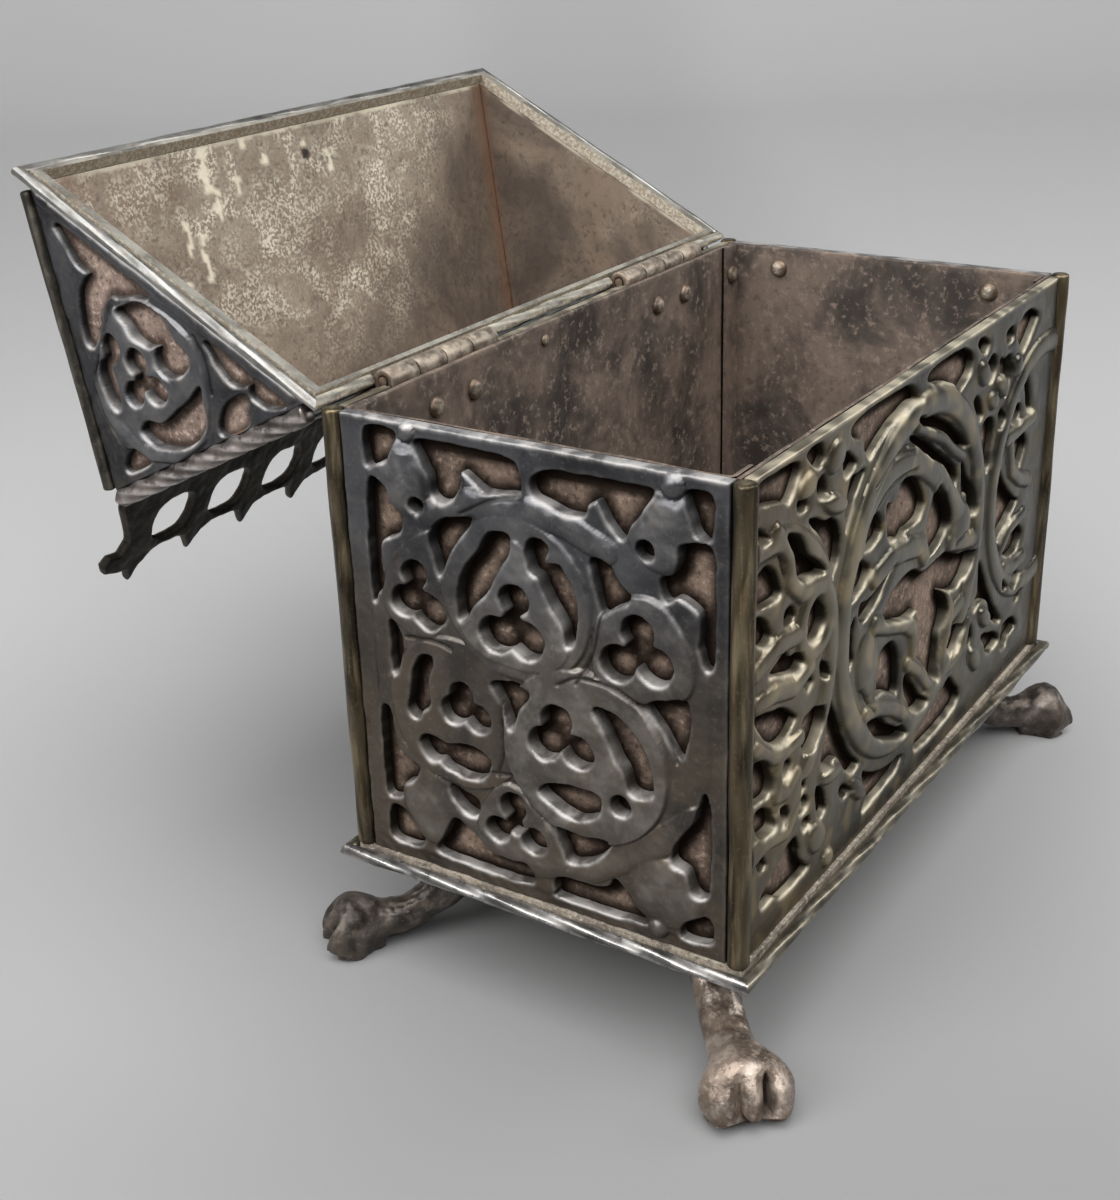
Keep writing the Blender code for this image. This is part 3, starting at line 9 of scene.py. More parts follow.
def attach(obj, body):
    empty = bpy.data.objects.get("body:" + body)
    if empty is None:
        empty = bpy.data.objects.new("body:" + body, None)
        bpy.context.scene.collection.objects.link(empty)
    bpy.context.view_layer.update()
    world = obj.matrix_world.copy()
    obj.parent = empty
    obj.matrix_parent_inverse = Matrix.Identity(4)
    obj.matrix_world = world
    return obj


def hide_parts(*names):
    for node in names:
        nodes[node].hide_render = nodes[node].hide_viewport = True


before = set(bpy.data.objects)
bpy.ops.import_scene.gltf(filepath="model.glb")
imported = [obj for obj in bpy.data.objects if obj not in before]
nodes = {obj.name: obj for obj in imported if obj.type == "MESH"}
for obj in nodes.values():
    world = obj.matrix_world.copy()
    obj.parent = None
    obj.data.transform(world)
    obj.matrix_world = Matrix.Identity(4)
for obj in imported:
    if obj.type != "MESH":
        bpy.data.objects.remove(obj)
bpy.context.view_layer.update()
mm = 0.001  # everything below is worked out in millimetres

casket = {
    "halfLength": 98.0, "halfDepth": 52.5, "wall": 1.5, "flange": 9.0,
    "wallFoot": 2.9, "wallTop": 121.6, "seat": 0.15, "fit": 0.1, "gap": 0.3,
    "postRadius": 2.6, "baseMargin": 1.7, "panelTop": 121.4,
    "hingeY": 55.6, "hingeZ": 122.0, "openAngle": 152.5,
    "rimBottom": 121.9, "rimTop": 125.2, "lidShift": 1.4, "ropeSide": 2.2,
    "lidRise": 71.2, "ridgeLean": 2.9, "lidPanel": 1.8, "lidSheet": 1.2, "hipSide": 2.8,
}
postOut = (casket["postRadius"] + casket["seat"]) / math.sqrt(2)
postX = casket["halfLength"] + postOut
postY = casket["halfDepth"] + postOut
baseX = postX + casket["baseMargin"]
baseY = postY + casket["baseMargin"]
ropeRadius = casket["ropeSide"] / math.sqrt(2)
rimHalfLength = postX + 2.5
rimHalfDepth = postY - 1.6
lidX = rimHalfLength - 2.8
lidY = rimHalfDepth - 0.6
slope = math.atan2(casket["lidRise"], lidY)
lean = math.atan2(casket["ridgeLean"], casket["lidRise"])
rise, run = math.sin(slope), math.cos(slope)
sheetX = lidX - (casket["lidPanel"] + casket["seat"]) / math.cos(lean)
sheetY = lidY - (casket["lidPanel"] + casket["seat"]) / rise
innerY = sheetY - casket["lidSheet"] / rise
hipRadius = casket["hipSide"] / math.sqrt(2)
hipOut = (hipRadius + casket["seat"]) / math.sqrt(2)
hipCut = hipRadius + 0.2 - hipOut
axisX, axisY, axisZ = np.eye(3)
leftRight, frontBack = ((-1, "left"), (1, "right")), ((-1, "front"), (1, "back"))
fourCorners = [(sx, sy, along + "_" + end) for sx, end in leftRight for sy, along in frontBack]
print("casket sizes ready")


# Uneven hand work: five sine waves of rising frequency in turned directions, about -1 to 1
def wobble(x, y, pitch, seed):
    total = 0.0
    for k in range(5):
        turn = seed * 1.7 + k * 2.399
        rate = 2 * math.pi * (0.7 + 0.23 * k) / pitch
        total = total + np.sin((x * math.cos(turn) + y * math.sin(turn)) * rate + seed * 3.1 + k * 1.3)
    return total / 3.2


# Ease from 0 to 1 while t goes from 0 to 1: 3t^2 - 2t^3
def ease(t):
    t = np.clip(t, 0.0, 1.0)
    return t * t * (3 - 2 * t)


# The lid is drawn shut and turned back about the hinge pins by its open angle
def opened(points):
    angle = -math.radians(casket["openAngle"])
    y = points[..., 1] - casket["hingeY"]
    z = points[..., 2] - casket["hingeZ"]
    turned = points.copy()
    turned[..., 1] = casket["hingeY"] + y * math.cos(angle) - z * math.sin(angle)
    turned[..., 2] = casket["hingeZ"] + y * math.sin(angle) + z * math.cos(angle)
    return turned


# Quads of a rows by cols grid of points, joined round where asked
def gridQuads(rows, cols, closeRows=False, closeCols=False):
    r = np.arange(rows if closeRows else rows - 1)
    c = np.arange(cols if closeCols else cols - 1)
    r, c = np.meshgrid(r, c, indexing="ij")
    r2, c2 = (r + 1) % rows, (c + 1) % cols
    return np.stack([r * cols + c, r * cols + c2, r2 * cols + c2, r2 * cols + c], -1).reshape(-1, 4)


# A stack of closed rings, rows by points by 3, with a pole at each end
def ringBody(rings):
    rows, cols = rings.shape[:2]
    points = np.concatenate([rings.reshape(-1, 3), rings[0].mean(0)[None], rings[-1].mean(0)[None]])
    k = np.arange(cols)
    following, lastRow = (k + 1) % cols, (rows - 1) * cols
    first = np.stack([np.full(cols, rows * cols), following, k], -1)
    last = np.stack([np.full(cols, rows * cols + 1), lastRow + k, lastRow + following], -1)
    return points, [gridQuads(rows, cols, False, True), first, last]


# Marks of a ring body: values on its rings, then one for each pole
def ringMarks(wear_and_highlight, grime_and_shade, poles):
    return {"wear_and_highlight": np.concatenate([wear_and_highlight.ravel(), poles]), "grime_and_shade": np.concatenate([grime_and_shade.ravel(), [0, 0]])}


# Six times the volume inside a surface of triangles and quads, negative where the faces look inwards
def signedVolume(points, faces):
    halves = [part[:, [0, 2, 3]] for part in faces if part.shape[1] == 4]
    tris = np.concatenate([part[:, [0, 1, 2]] for part in faces] + halves)
    a, b, c = (points[tris[:, k]] for k in range(3))
    return np.einsum("ij,ij->i", a, np.cross(b, c)).sum()


# Puts a finished surface into the scene, faces outwards, riding on its body in place of its solid
def put(name, points, faces, body, looks, marks, stands, index=None, weld=False, sharp=42.0):
    mesh = bpy.data.meshes.new(name)
    mesh.from_pydata((points * mm).tolist(), [], [f for part in faces for f in part.tolist()])
    if signedVolume(points, faces) < 0:
        mesh.flip_normals()
    for key, values in marks.items():
        mark = mesh.attributes.new(key, "FLOAT", "POINT")
        mark.data.foreach_set("value", np.asarray(values, np.float32).ravel())
    for look in looks:
        mesh.materials.append(look)
    if index is not None:
        mesh.polygons.foreach_set("material_index", np.asarray(index, np.int32))
    if weld:
        shape = bmesh.new()
        shape.from_mesh(mesh)
        bmesh.ops.remove_doubles(shape, verts=shape.verts, dist=1e-6)
        bmesh.ops.dissolve_degenerate(shape, edges=shape.edges, dist=1e-7)
        shape.to_mesh(mesh)
        shape.free()
    mesh.shade_smooth()
    mesh.set_sharp_from_angle(angle=math.radians(sharp))
    piece = bpy.data.objects.new(name, mesh)
    bpy.context.scene.collection.objects.link(piece)
    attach(piece, body)
    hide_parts(*stands)


# Finishes. Every one reads Object coordinates, plus marks stored on the surfaces, such as wear with painted
# highlights and grime with painted shade.
class Finish:
    def __init__(self, name):
        self.material = bpy.data.materials.new(name)
        self.material.use_nodes = True
        self.tree = self.material.node_tree
        self.shader = self.tree.nodes["Principled BSDF"]
        given = self.node("ShaderNodeTexCoord").outputs
        self.where, self.facing = given["Object"], given["Normal"]

    def node(self, kind, **values):
        made = self.tree.nodes.new(kind)
        for key, value in values.items():
            setattr(made, key, value)
        return made

    def feed(self, socket, value):
        if isinstance(value, bpy.types.NodeSocket):
            self.tree.links.new(value, socket)
        else:
            socket.default_value = value

    def mapped(self, scale):
        made = self.node("ShaderNodeMapping")
        self.feed(made.inputs["Vector"], self.where)
        made.inputs["Scale"].default_value = scale
        return made.outputs["Vector"]

    def noise(self, scale, detail=4.0, rough=0.55, bend=0.0, where=None):
        made = self.node("ShaderNodeTexNoise")
        self.feed(made.inputs["Vector"], where or self.where)
        made.inputs["Scale"].default_value = scale
        made.inputs["Detail"].default_value = detail
        made.inputs["Roughness"].default_value = rough
        made.inputs["Distortion"].default_value = bend
        return made.outputs["Fac"]

    def cells(self, scale, feature="F1", where=None):
        made = self.node("ShaderNodeTexVoronoi", feature=feature)
        self.feed(made.inputs["Vector"], where or self.where)
        made.inputs["Scale"].default_value = scale
        return made.outputs["Distance"]

    def between(self, value, low, high, floor=0.0, top=1.0):
        made = self.node("ShaderNodeMapRange", interpolation_type="SMOOTHSTEP")
        self.feed(made.inputs["Value"], value)
        for key, number in (("From Min", low), ("From Max", high), ("To Min", floor), ("To Max", top)):
            made.inputs[key].default_value = number
        return made.outputs["Result"]

    def sum(self, kind, a, b=0.0, clamp=False):
        made = self.node("ShaderNodeMath", operation=kind, use_clamp=clamp)
        self.feed(made.inputs[0], a)
        self.feed(made.inputs[1], b)
        return made.outputs[0]

    def mix(self, share, a, b, kind="MIX"):
        made = self.node("ShaderNodeMix", data_type="RGBA", blend_type=kind)
        self.feed(made.inputs["Factor"], share)
        for key, colour in ((6, a), (7, b)):  # sockets 6 and 7 take the colours, output 2 gives the mixed one
            linked = isinstance(colour, bpy.types.NodeSocket)
            self.feed(made.inputs[key], colour if linked else (*colour, 1.0))
        return made.outputs[2]

    def mark(self, name):
        return self.node("ShaderNodeAttribute", attribute_name=name).outputs["Fac"]

    def axis(self, name):
        made = self.node("ShaderNodeSeparateXYZ")
        self.feed(made.inputs[0], self.where)
        return made.outputs[name]

    def done(self, colour, rough, metal, height=None, depth=0.0002, strength=0.6):
        self.feed(self.shader.inputs["Base Color"], colour)
        self.feed(self.shader.inputs["Roughness"], rough)
        self.feed(self.shader.inputs["Metallic"], metal)
        if height is not None:
            bump = self.node("ShaderNodeBump")
            bump.inputs["Strength"].default_value = strength
            bump.inputs["Distance"].default_value = depth
            self.feed(bump.inputs["Height"], height)
            self.feed(self.shader.inputs["Normal"], bump.outputs["Normal"])
        return self.material


lidUp = (0.0, 0.4617, -0.8870)  # up on the shut lid, as it points while the lid is open


# Forged iron: dark, middle and warm patches, bright rubbed edges with painted highlights, and dirt with
# painted shade in the hollows
def forgedIron(name, recipe):
    f = Finish(name)
    where = f.mapped(recipe.get("stretch", (1.0, 1.0, 1.0)))
    detail = recipe.get("detail", 5.0)
    broad = f.noise(recipe["patch"], detail, 0.6, 0.6, where)
    middle = f.noise(recipe["patch"] * 4.3, detail, 0.62, 0.3, where)
    fine = f.noise(900.0, 3.0, 0.6)
    colour = f.mix(f.between(broad, 0.36, 0.62), recipe["dark"], recipe["mid"])
    colour = f.mix(f.between(middle, 0.5, 0.72, 0.0, recipe.get("warmth", 0.7)), colour, recipe["warm"])
    if "low" in recipe:  # browner towards the foot of the casket
        sunk = f.sum("MULTIPLY", f.between(f.axis("Z"), 0.1, 0.055), f.between(broad, 0.32, 0.55, 0.35, 1.0))
        colour = f.mix(f.sum("MULTIPLY", sunk, 0.85), colour, recipe["low"])
    if "gilt" in recipe:  # yellower beside the near post, blacker towards the far one
        colour = f.mix(f.between(f.axis("X"), -0.03, -0.09, 0.0, 0.3), colour, recipe["gilt"])
        colour = f.mix(f.between(f.axis("X"), -0.03, 0.08, 0.0, 0.55), colour, recipe["dark"])
    colour = f.mix(f.between(fine, 0.56, 0.7, 0.0, recipe.get("speck", 0.12)), colour, recipe["worn_and_lit"])
    # Paler where the wear mark is (rubbed edges and painted highlights); darker, duller and less reflective
    # where the grime mark is (dirt and painted shade)
    rubbed = f.sum("MULTIPLY", f.mark("wear_and_highlight"), f.between(middle, 0.38, 0.62, 0.35, 1.0))
    colour = f.mix(f.sum("MULTIPLY", rubbed, recipe.get("rub", 0.75)), colour, recipe["worn_and_lit"])
    grime_and_shade = f.sum("MULTIPLY", f.mark("grime_and_shade"), f.between(broad, 0.3, 0.6, 0.75, 1.0))
    colour = f.mix(f.sum("MULTIPLY", grime_and_shade, 0.92), colour, recipe["dirt_and_shade"])
    # Painted light: these faces lie in shade and are given the paler colour of the sheet they meet instead of
    # showing dark
    if "edge" in recipe:  # faces that stand upright when the lid is shut look like the sheet they meet
        dot = f.node("ShaderNodeVectorMath", operation="DOT_PRODUCT")
        f.feed(dot.inputs[0], f.facing)
        dot.inputs[1].default_value = lidUp
        upright = f.between(f.sum("ABSOLUTE", dot.outputs["Value"]), 0.7, 0.4)
        colour = f.mix(upright, colour, f.mix(f.between(fine, 0.42, 0.6), recipe["edge"], recipe["worn_and_lit"]))
    rough = f.between(middle, 0.3, 0.7, *recipe["rough"])
    matte = f.sum("ADD", grime_and_shade, f.sum("MULTIPLY", rubbed, recipe.get("matte", 0.0)))
    rough = f.sum("ADD", rough, f.sum("MULTIPLY", matte, 0.35), True)
    metal = f.sum("SUBTRACT", recipe.get("metal", 0.9), f.sum("MULTIPLY", matte, 0.75), True)
    f.feed(f.shader.inputs["Specular IOR Level"], f.sum("SUBTRACT", 0.5, f.sum("MULTIPLY", grime_and_shade, 0.5), True))
    height = f.sum("ADD", middle, f.sum("MULTIPLY", fine, recipe.get("grit", 0.12)))
    return f.done(colour, rough, metal, height, recipe.get("depth", 0.00035), recipe.get("bump", 0.55))


# Rusted sheet: brown ground, dark pits and pale specks, rough all over; painted shade below the edges of the
# iron in front of it and in narrow openings
def rustySheet(name, recipe):
    f = Finish(name)
    broad = f.noise(recipe["patch"], 6.0, 0.62, 0.4)
    grain = f.noise(recipe["grain"], 6.0, 0.68)
    pits = f.cells(recipe["grain"] * 0.8)
    colour = f.mix(f.between(broad, 0.34, 0.64), recipe["dark"], recipe["mid"])
    colour = f.mix(f.between(grain, 0.52, 0.66, 0.0, 0.8), colour, recipe["pale"])
    colour = f.mix(f.between(grain, 0.46, 0.34, 0.0, recipe.get("pits", 0.85)), colour, recipe["pit"])
    # The open mark holds painted shade: the sheet turns to the dark colour, without reflection, under iron
    # and in the shadow below an edge
    if "dirt_and_shade" in recipe:
        colour = f.mix(f.mark("open"), recipe["dirt_and_shade"], colour)
        f.feed(f.shader.inputs["Specular IOR Level"], f.sum("MULTIPLY", f.mark("open"), 0.5))
    rough = f.between(grain, 0.3, 0.7, *recipe["rough"])
    height = f.sum("ADD", grain, f.sum("MULTIPLY", pits, 0.35))
    return f.done(colour, rough, recipe["metal"], height, recipe["depth"], recipe["bump"])


# Inside of the lid: brown sheet rubbed to a paler olive towards the front rim, with cream runs down it; a
# painted shadow band keeps it brown near one end, and a painted dark mark stands for a hole
def rubbedSheet(name, recipe):
    f = Finish(name)
    broad = f.noise(26.0, 6.0, 0.6, 0.5)
    grain = f.noise(430.0, 6.0, 0.7)
    flakes = f.noise(1000.0, 3.0, 0.6)
    brown = f.mix(f.between(broad, 0.36, 0.64), recipe["dark"], recipe["mid"])
    ground = f.mix(f.between(broad, 0.3, 0.6), recipe["mid"], recipe["olive"])
    rubbed = f.mark("rubbed")
    colour = f.mix(rubbed, brown, ground)
    colour = f.mix(f.between(grain, 0.49, 0.36, 0.0, 0.6), colour, recipe["pit"])
    chips = f.sum("MULTIPLY", f.between(flakes, 0.46, 0.57), f.between(broad, 0.3, 0.56, 0.3, 1.0))
    swept = f.noise(62.0, 5.0, 0.62, 0.9)
    chips = f.sum("MULTIPLY", f.sum("MULTIPLY", chips, rubbed), f.between(swept, 0.4, 0.62, 0.12, 1.0))
    colour = f.mix(chips, colour, recipe["pale"])
    colour = f.mix(f.mark("runs"), colour, recipe["run"])
    rust = f.sum("MULTIPLY", f.mark("rust"), f.between(grain, 0.3, 0.6, 0.5, 1.0))
    colour = f.mix(rust, colour, recipe["rust"])
    colour = f.mix(f.mark("hole"), colour, recipe["pit"], "MULTIPLY")
    rough = f.between(grain, 0.3, 0.7, 0.42, 0.68)
    metal = f.sum("SUBTRACT", 0.12, f.sum("MULTIPLY", f.mark("runs"), 0.12), True)
    height = f.sum("ADD", grain, f.sum("MULTIPLY", chips, 0.3))
    return f.done(colour, rough, metal, height, 0.00025, 0.5)


gunmetal = forgedIron("gunmetal_tracery", {
    "patch": 30.0, "dark": (0.034, 0.034, 0.037), "mid": (0.098, 0.099, 0.106),
    "warm": (0.125, 0.104, 0.082), "low": (0.112, 0.088, 0.063), "worn_and_lit": (0.56, 0.54, 0.52),
    "dirt_and_shade": (0.006, 0.005, 0.004), "rough": (0.31, 0.48), "rub": 0.85, "matte": 0.6, "warmth": 0.45,
    "speck": 0.07, "bump": 0.55})
pewter = forgedIron("pewter_tracery", {
    "patch": 26.0, "dark": (0.030, 0.029, 0.024), "mid": (0.118, 0.109, 0.080),
    "warm": (0.270, 0.212, 0.118), "worn_and_lit": (0.74, 0.67, 0.52), "dirt_and_shade": (0.004, 0.003, 0.002),
    "rough": (0.27, 0.42), "rub": 0.75, "gilt": (0.230, 0.165, 0.088), "matte": 0.4, "speck": 0.0,
    "grit": 0.0, "bump": 0.0, "detail": 1.0})
barIron = forgedIron("silvery_bar", {
    "patch": 60.0, "dark": (0.045, 0.044, 0.043), "mid": (0.170, 0.166, 0.160),
    "warm": (0.125, 0.100, 0.075), "worn_and_lit": (0.72, 0.70, 0.68), "dirt_and_shade": (0.03, 0.023, 0.017),
    "rough": (0.20, 0.38), "rub": 0.65, "speck": 0.04, "bump": 0.35})
barOlive = forgedIron("olive_bar", {
    "patch": 55.0, "dark": (0.045, 0.041, 0.034), "mid": (0.140, 0.128, 0.100),
    "warm": (0.170, 0.135, 0.088), "worn_and_lit": (0.52, 0.47, 0.36), "dirt_and_shade": (0.03, 0.023, 0.017),
    "rough": (0.28, 0.46), "rub": 0.55, "speck": 0.03, "bump": 0.35})
rimIron = forgedIron("silver_rim", {
    "patch": 48.0, "dark": (0.105, 0.103, 0.098), "mid": (0.300, 0.296, 0.280),
    "warm": (0.190, 0.160, 0.120), "worn_and_lit": (0.74, 0.72, 0.67), "dirt_and_shade": (0.04, 0.03, 0.022),
    "rough": (0.22, 0.42), "rub": 0.5, "speck": 0.12, "bump": 0.4})
rimPlate = forgedIron("mottled_rim_plate", {
    "patch": 62.0, "dark": (0.115, 0.108, 0.092), "mid": (0.290, 0.278, 0.240),
    "warm": (0.200, 0.160, 0.112), "worn_and_lit": (0.56, 0.52, 0.43), "dirt_and_shade": (0.05, 0.038, 0.028),
    "rough": (0.40, 0.62), "metal": 0.35, "speck": 0.3, "edge": (0.36, 0.30, 0.225), "bump": 0.5})
ropeIron = forgedIron("rubbed_rope", {
    "patch": 60.0, "dark": (0.070, 0.060, 0.055), "mid": (0.250, 0.220, 0.205),
    "warm": (0.220, 0.170, 0.140), "worn_and_lit": (0.80, 0.73, 0.70), "dirt_and_shade": (0.03, 0.022, 0.017),
    "rough": (0.22, 0.42), "rub": 0.7, "bump": 0.4})
postIron = forgedIron("brown_post", {
    "patch": 120.0, "stretch": (1.0, 1.0, 0.1), "dark": (0.022, 0.018, 0.013), "mid": (0.088, 0.066, 0.038),
    "warm": (0.215, 0.162, 0.090), "worn_and_lit": (0.42, 0.35, 0.23), "dirt_and_shade": (0.02, 0.015, 0.011),
    "rough": (0.30, 0.50), "rub": 0.55, "warmth": 0.85})
footIron = forgedIron("bronzed_foot", {
    "patch": 75.0, "dark": (0.085, 0.062, 0.046), "mid": (0.235, 0.180, 0.140),
    "warm": (0.350, 0.275, 0.222), "worn_and_lit": (0.62, 0.54, 0.47), "dirt_and_shade": (0.035, 0.026, 0.019),
    "rough": (0.20, 0.42), "rub": 0.6, "metal": 0.45, "speck": 0.3, "grit": 0.4, "bump": 0.9})
footDark = forgedIron("blackened_foot", {
    "patch": 75.0, "dark": (0.032, 0.026, 0.022), "mid": (0.085, 0.068, 0.055),
    "warm": (0.150, 0.118, 0.090), "worn_and_lit": (0.46, 0.40, 0.36), "dirt_and_shade": (0.020, 0.015, 0.011),
    "rough": (0.30, 0.50), "rub": 0.5, "metal": 0.6, "bump": 0.8})
hingeIron = forgedIron("brown_hinge", {
    "patch": 85.0, "dark": (0.070, 0.050, 0.038), "mid": (0.200, 0.145, 0.102),
    "warm": (0.270, 0.190, 0.125), "worn_and_lit": (0.58, 0.52, 0.43), "dirt_and_shade": (0.02, 0.014, 0.01),
    "rough": (0.38, 0.60), "rub": 0.75, "metal": 0.7})
crestIron = forgedIron("blackened_crest", {
    "patch": 60.0, "dark": (0.022, 0.020, 0.017), "mid": (0.055, 0.050, 0.042),
    "warm": (0.090, 0.070, 0.048), "worn_and_lit": (0.34, 0.31, 0.26), "dirt_and_shade": (0.012, 0.009, 0.007),
    "rough": (0.36, 0.58), "rub": 0.45})
outerRust = rustySheet("pitted_outer_sheet", {
    "patch": 55.0, "grain": 620.0, "dark": (0.105, 0.070, 0.051), "mid": (0.215, 0.150, 0.110),
    "pale": (0.38, 0.285, 0.22), "pit": (0.040, 0.026, 0.019), "dirt_and_shade": (0.012, 0.008, 0.006),
    "rough": (0.75, 0.95), "metal": 0.0, "depth": 0.0007, "bump": 0.9})
lidRust = rustySheet("pitted_lid_sheet", {
    "patch": 55.0, "grain": 620.0, "dark": (0.165, 0.112, 0.088), "mid": (0.320, 0.235, 0.190),
    "pale": (0.52, 0.41, 0.34), "pit": (0.055, 0.036, 0.027), "dirt_and_shade": (0.030, 0.021, 0.016),
    "rough": (0.75, 0.95), "metal": 0.0, "depth": 0.0007, "bump": 0.9})
innerRust = rustySheet("brown_inner_sheet", {
    "patch": 40.0, "grain": 420.0, "pits": 0.4, "dark": (0.030, 0.023, 0.019), "mid": (0.150, 0.110, 0.085),
    "pale": (0.205, 0.155, 0.122), "pit": (0.030, 0.023, 0.019), "rough": (0.55, 0.80), "metal": 0.05,
    "depth": 0.0003, "bump": 0.3})
lidInside = rubbedSheet("rubbed_lid_sheet", {
    "dark": (0.085, 0.064, 0.050), "mid": (0.190, 0.142, 0.104), "olive": (0.305, 0.254, 0.190),
    "pit": (0.075, 0.056, 0.043), "pale": (0.74, 0.68, 0.55), "run": (0.74, 0.67, 0.52),
    "rust": (0.190, 0.098, 0.056)})
ledgeDust = rustySheet("dusty_ledge", {
    "patch": 70.0, "grain": 700.0, "dark": (0.135, 0.112, 0.090), "mid": (0.330, 0.285, 0.225),
    "pale": (0.52, 0.46, 0.37), "pit": (0.055, 0.043, 0.034), "rough": (0.7, 0.95), "metal": 0.0,
    "depth": 0.0005, "bump": 0.7})
print("finishes ready")


# Openings of the tracery, in millimetres on the panels, x from the middle and y up from the foot
endHoles = [
    [(-45.6, 112.4), (-37.4, 112.4), (-38.9, 107.8), (-42.5, 105.6), (-45.6, 104.6)],
    [(-30.6, 111.4), (-29, 108), (-27.2, 104.5), (-26.2, 99.8), (-23.6, 98.8), (-20.2, 100.6), (-18.8, 104),
     (-18.1, 107.3), (-14.3, 105.2), (-10.6, 103.6), (-6, 104.2), (-2, 104.8), (-2.4, 108.8), (-6, 111.2),
     (-20, 111.8)],
    [(2.4, 104.9), (1.7, 107), (5.2, 109.4), (10.7, 110.2), (27.3, 110.4), (33.2, 110), (30.4, 106.6),
     (27.6, 102.6), (25.8, 99.4), (23.8, 99.6), (20.9, 104), (19, 106.9), (16.1, 105.3), (15.2, 102.6),
     (10.7, 102.4), (5.7, 104)],
    [(41.6, 111), (47.4, 111.2), (47.4, 106), (46.8, 102.4), (44.6, 103.4), (43.4, 107)],
    [(40.9, 99.2), (47.2, 98.8), (47.8, 89), (47.6, 82), (47.2, 74), (46, 71.6), (44.6, 76), (44.4, 84.6),
     (39.2, 87.6), (36.2, 86.2), (35, 89.2), (38.4, 91.2), (40.2, 95)],
    [(-45.6, 97.4), (-40.4, 98.2), (-39.3, 94.8), (-36.4, 91), (-37.2, 88.4), (-42.3, 85.4), (-43.4, 79.8),
     (-42.8, 74.8), (-44.6, 70.9), (-45.6, 70.9)],
    [(-40.8, 62.2), (-38.1, 59.4), (-38.5, 54), (-40.4, 51)],
    [(-44.8, 38), (-42.7, 38), (-41.8, 31.2), (-38.8, 27.6), (-34.2, 25.2), (-36.4, 22.6), (-39.6, 20.4),
     (-40.6, 17), (-44.4, 16.6), (-44.8, 25)],
    [(-43.5, 11.4), (-40.2, 11.6), (-37, 9), (-34, 5.8), (-36.2, 4.2), (-42.3, 4.2), (-43.8, 6.2)],
    [(-23.9, 13.8), (-19.3, 12.6), (-14.5, 8.6), (-9.3, 7.3), (-3.5, 7.6), (-2, 6.4), (-4.3, 4), (-22.7, 4),
     (-29.6, 4.8), (-26.8, 8.2)],
    [(5.7, 6.9), (15.7, 7.6), (19.6, 8.8), (21.4, 11), (24.2, 8.6), (26.4, 5), (28.4, 3.6), (7.3, 3.2),
     (5.3, 4.4)],
    [(40.3, 6.5), (45, 8.4), (45.6, 4.4), (38.6, 3.4)],
    [(45, 39.2), (45.8, 32), (45.4, 20), (44.4, 15.6), (42, 16), (40.4, 20), (36.6, 22.6), (38.6, 27),
     (42, 31.5), (43.7, 36.5)],
    [(31, 58), (35.7, 60.3), (40.6, 60.9), (40.6, 54.8), (39, 48.6), (37.3, 50), (34.6, 54.6)],
    [(-27.1, 88.2), (-23.5, 92.6), (-15.6, 94), (-19.3, 90.2), (-22.3, 85.7), (-24.6, 80), (-26, 83.2)],
    [(17.1, 90.2), (20.7, 90.5), (23.6, 86.5), (26.8, 84.4), (22.3, 81.5), (19.6, 79.6), (18.7, 84)],
    [(-10.2, 91.8), (-5, 92.1), (-5.3, 89), (-8.5, 84), (-10.6, 79.8), (-15.2, 74.2), (-18.9, 69.6),
     (-19.6, 74.8), (-17.5, 81.5), (-13.5, 86.3)],
    [(0.2, 90.7), (2.3, 92.8), (5.5, 91.7), (4.9, 87.5), (9, 87.1), (12.6, 80.7), (12.6, 74), (11, 69.6),
     (9.8, 74), (6.1, 79.8), (3.6, 85), (1.2, 86.7)],
    [(-31.6, 55.3), (-28.8, 55.5), (-30.2, 50.7), (-30.2, 44.8), (-32.3, 42.2), (-33.9, 40.2), (-36, 42),
     (-34.6, 47.3), (-34.1, 51.5)],
    [(-32.8, 33.5), (-31, 34.5), (-24.8, 33.8), (-18.5, 34.8), (-13, 32.8), (-15.2, 29.2), (-20.2, 28),
     (-24.8, 28.8), (-27.3, 30.3), (-30.2, 30)],
    [(17.6, 54.2), (22.3, 53.8), (27.3, 50.5), (30.6, 44.8), (32, 39), (29.8, 36.8), (26.3, 37.2),
     (25.3, 40.9), (22.5, 45.5), (20, 50.5)],
    [(1.9, 30.3), (5.7, 31.7), (13.2, 32.6), (18, 31.5), (17, 28.4), (12.3, 26.1), (7.3, 26.9)],
    [(-10.6, 53.8), (-1, 53.8), (-3.9, 49.8), (-6, 44.6), (-8.1, 49.8)],
    [(-24.8, 22.2), (-19.3, 21.4), (-17, 20), (-18.1, 18.1), (-21.8, 19.5)],
    [(6.3, 20.5), (13.2, 20), (19.6, 20.7), (16.4, 17.1), (9.8, 14), (7.9, 16.5)],
]
endRounds = [
    (31.5, 96.1, 2.1),
    (-31.2, 95, 1.6),
    (23.6, 31.3, 2.3),
]
endFoils = [
    [(-3.7, 76.5, 3.6), (-9, 66.8, 4.3), (-0.4, 67, 4.3)],
    [(-32.8, 77, 3.2), (-36.2, 69.4, 3.4), (-28.7, 68, 4.3)],
    [(29, 75.6, 3.8), (23.6, 67, 4.1), (33.2, 68.4, 4.1)],
    [(-20.2, 48.2, 3), (-22.6, 43.6, 3.3), (-15.6, 43, 3.3)],
    [(6.9, 48.4, 3.8), (3.4, 42, 3.9), (12.6, 42, 3.9)],
    [(-6.2, 22.6, 3.4), (-10.8, 15.4, 3), (-0.6, 15, 3.2)],
]
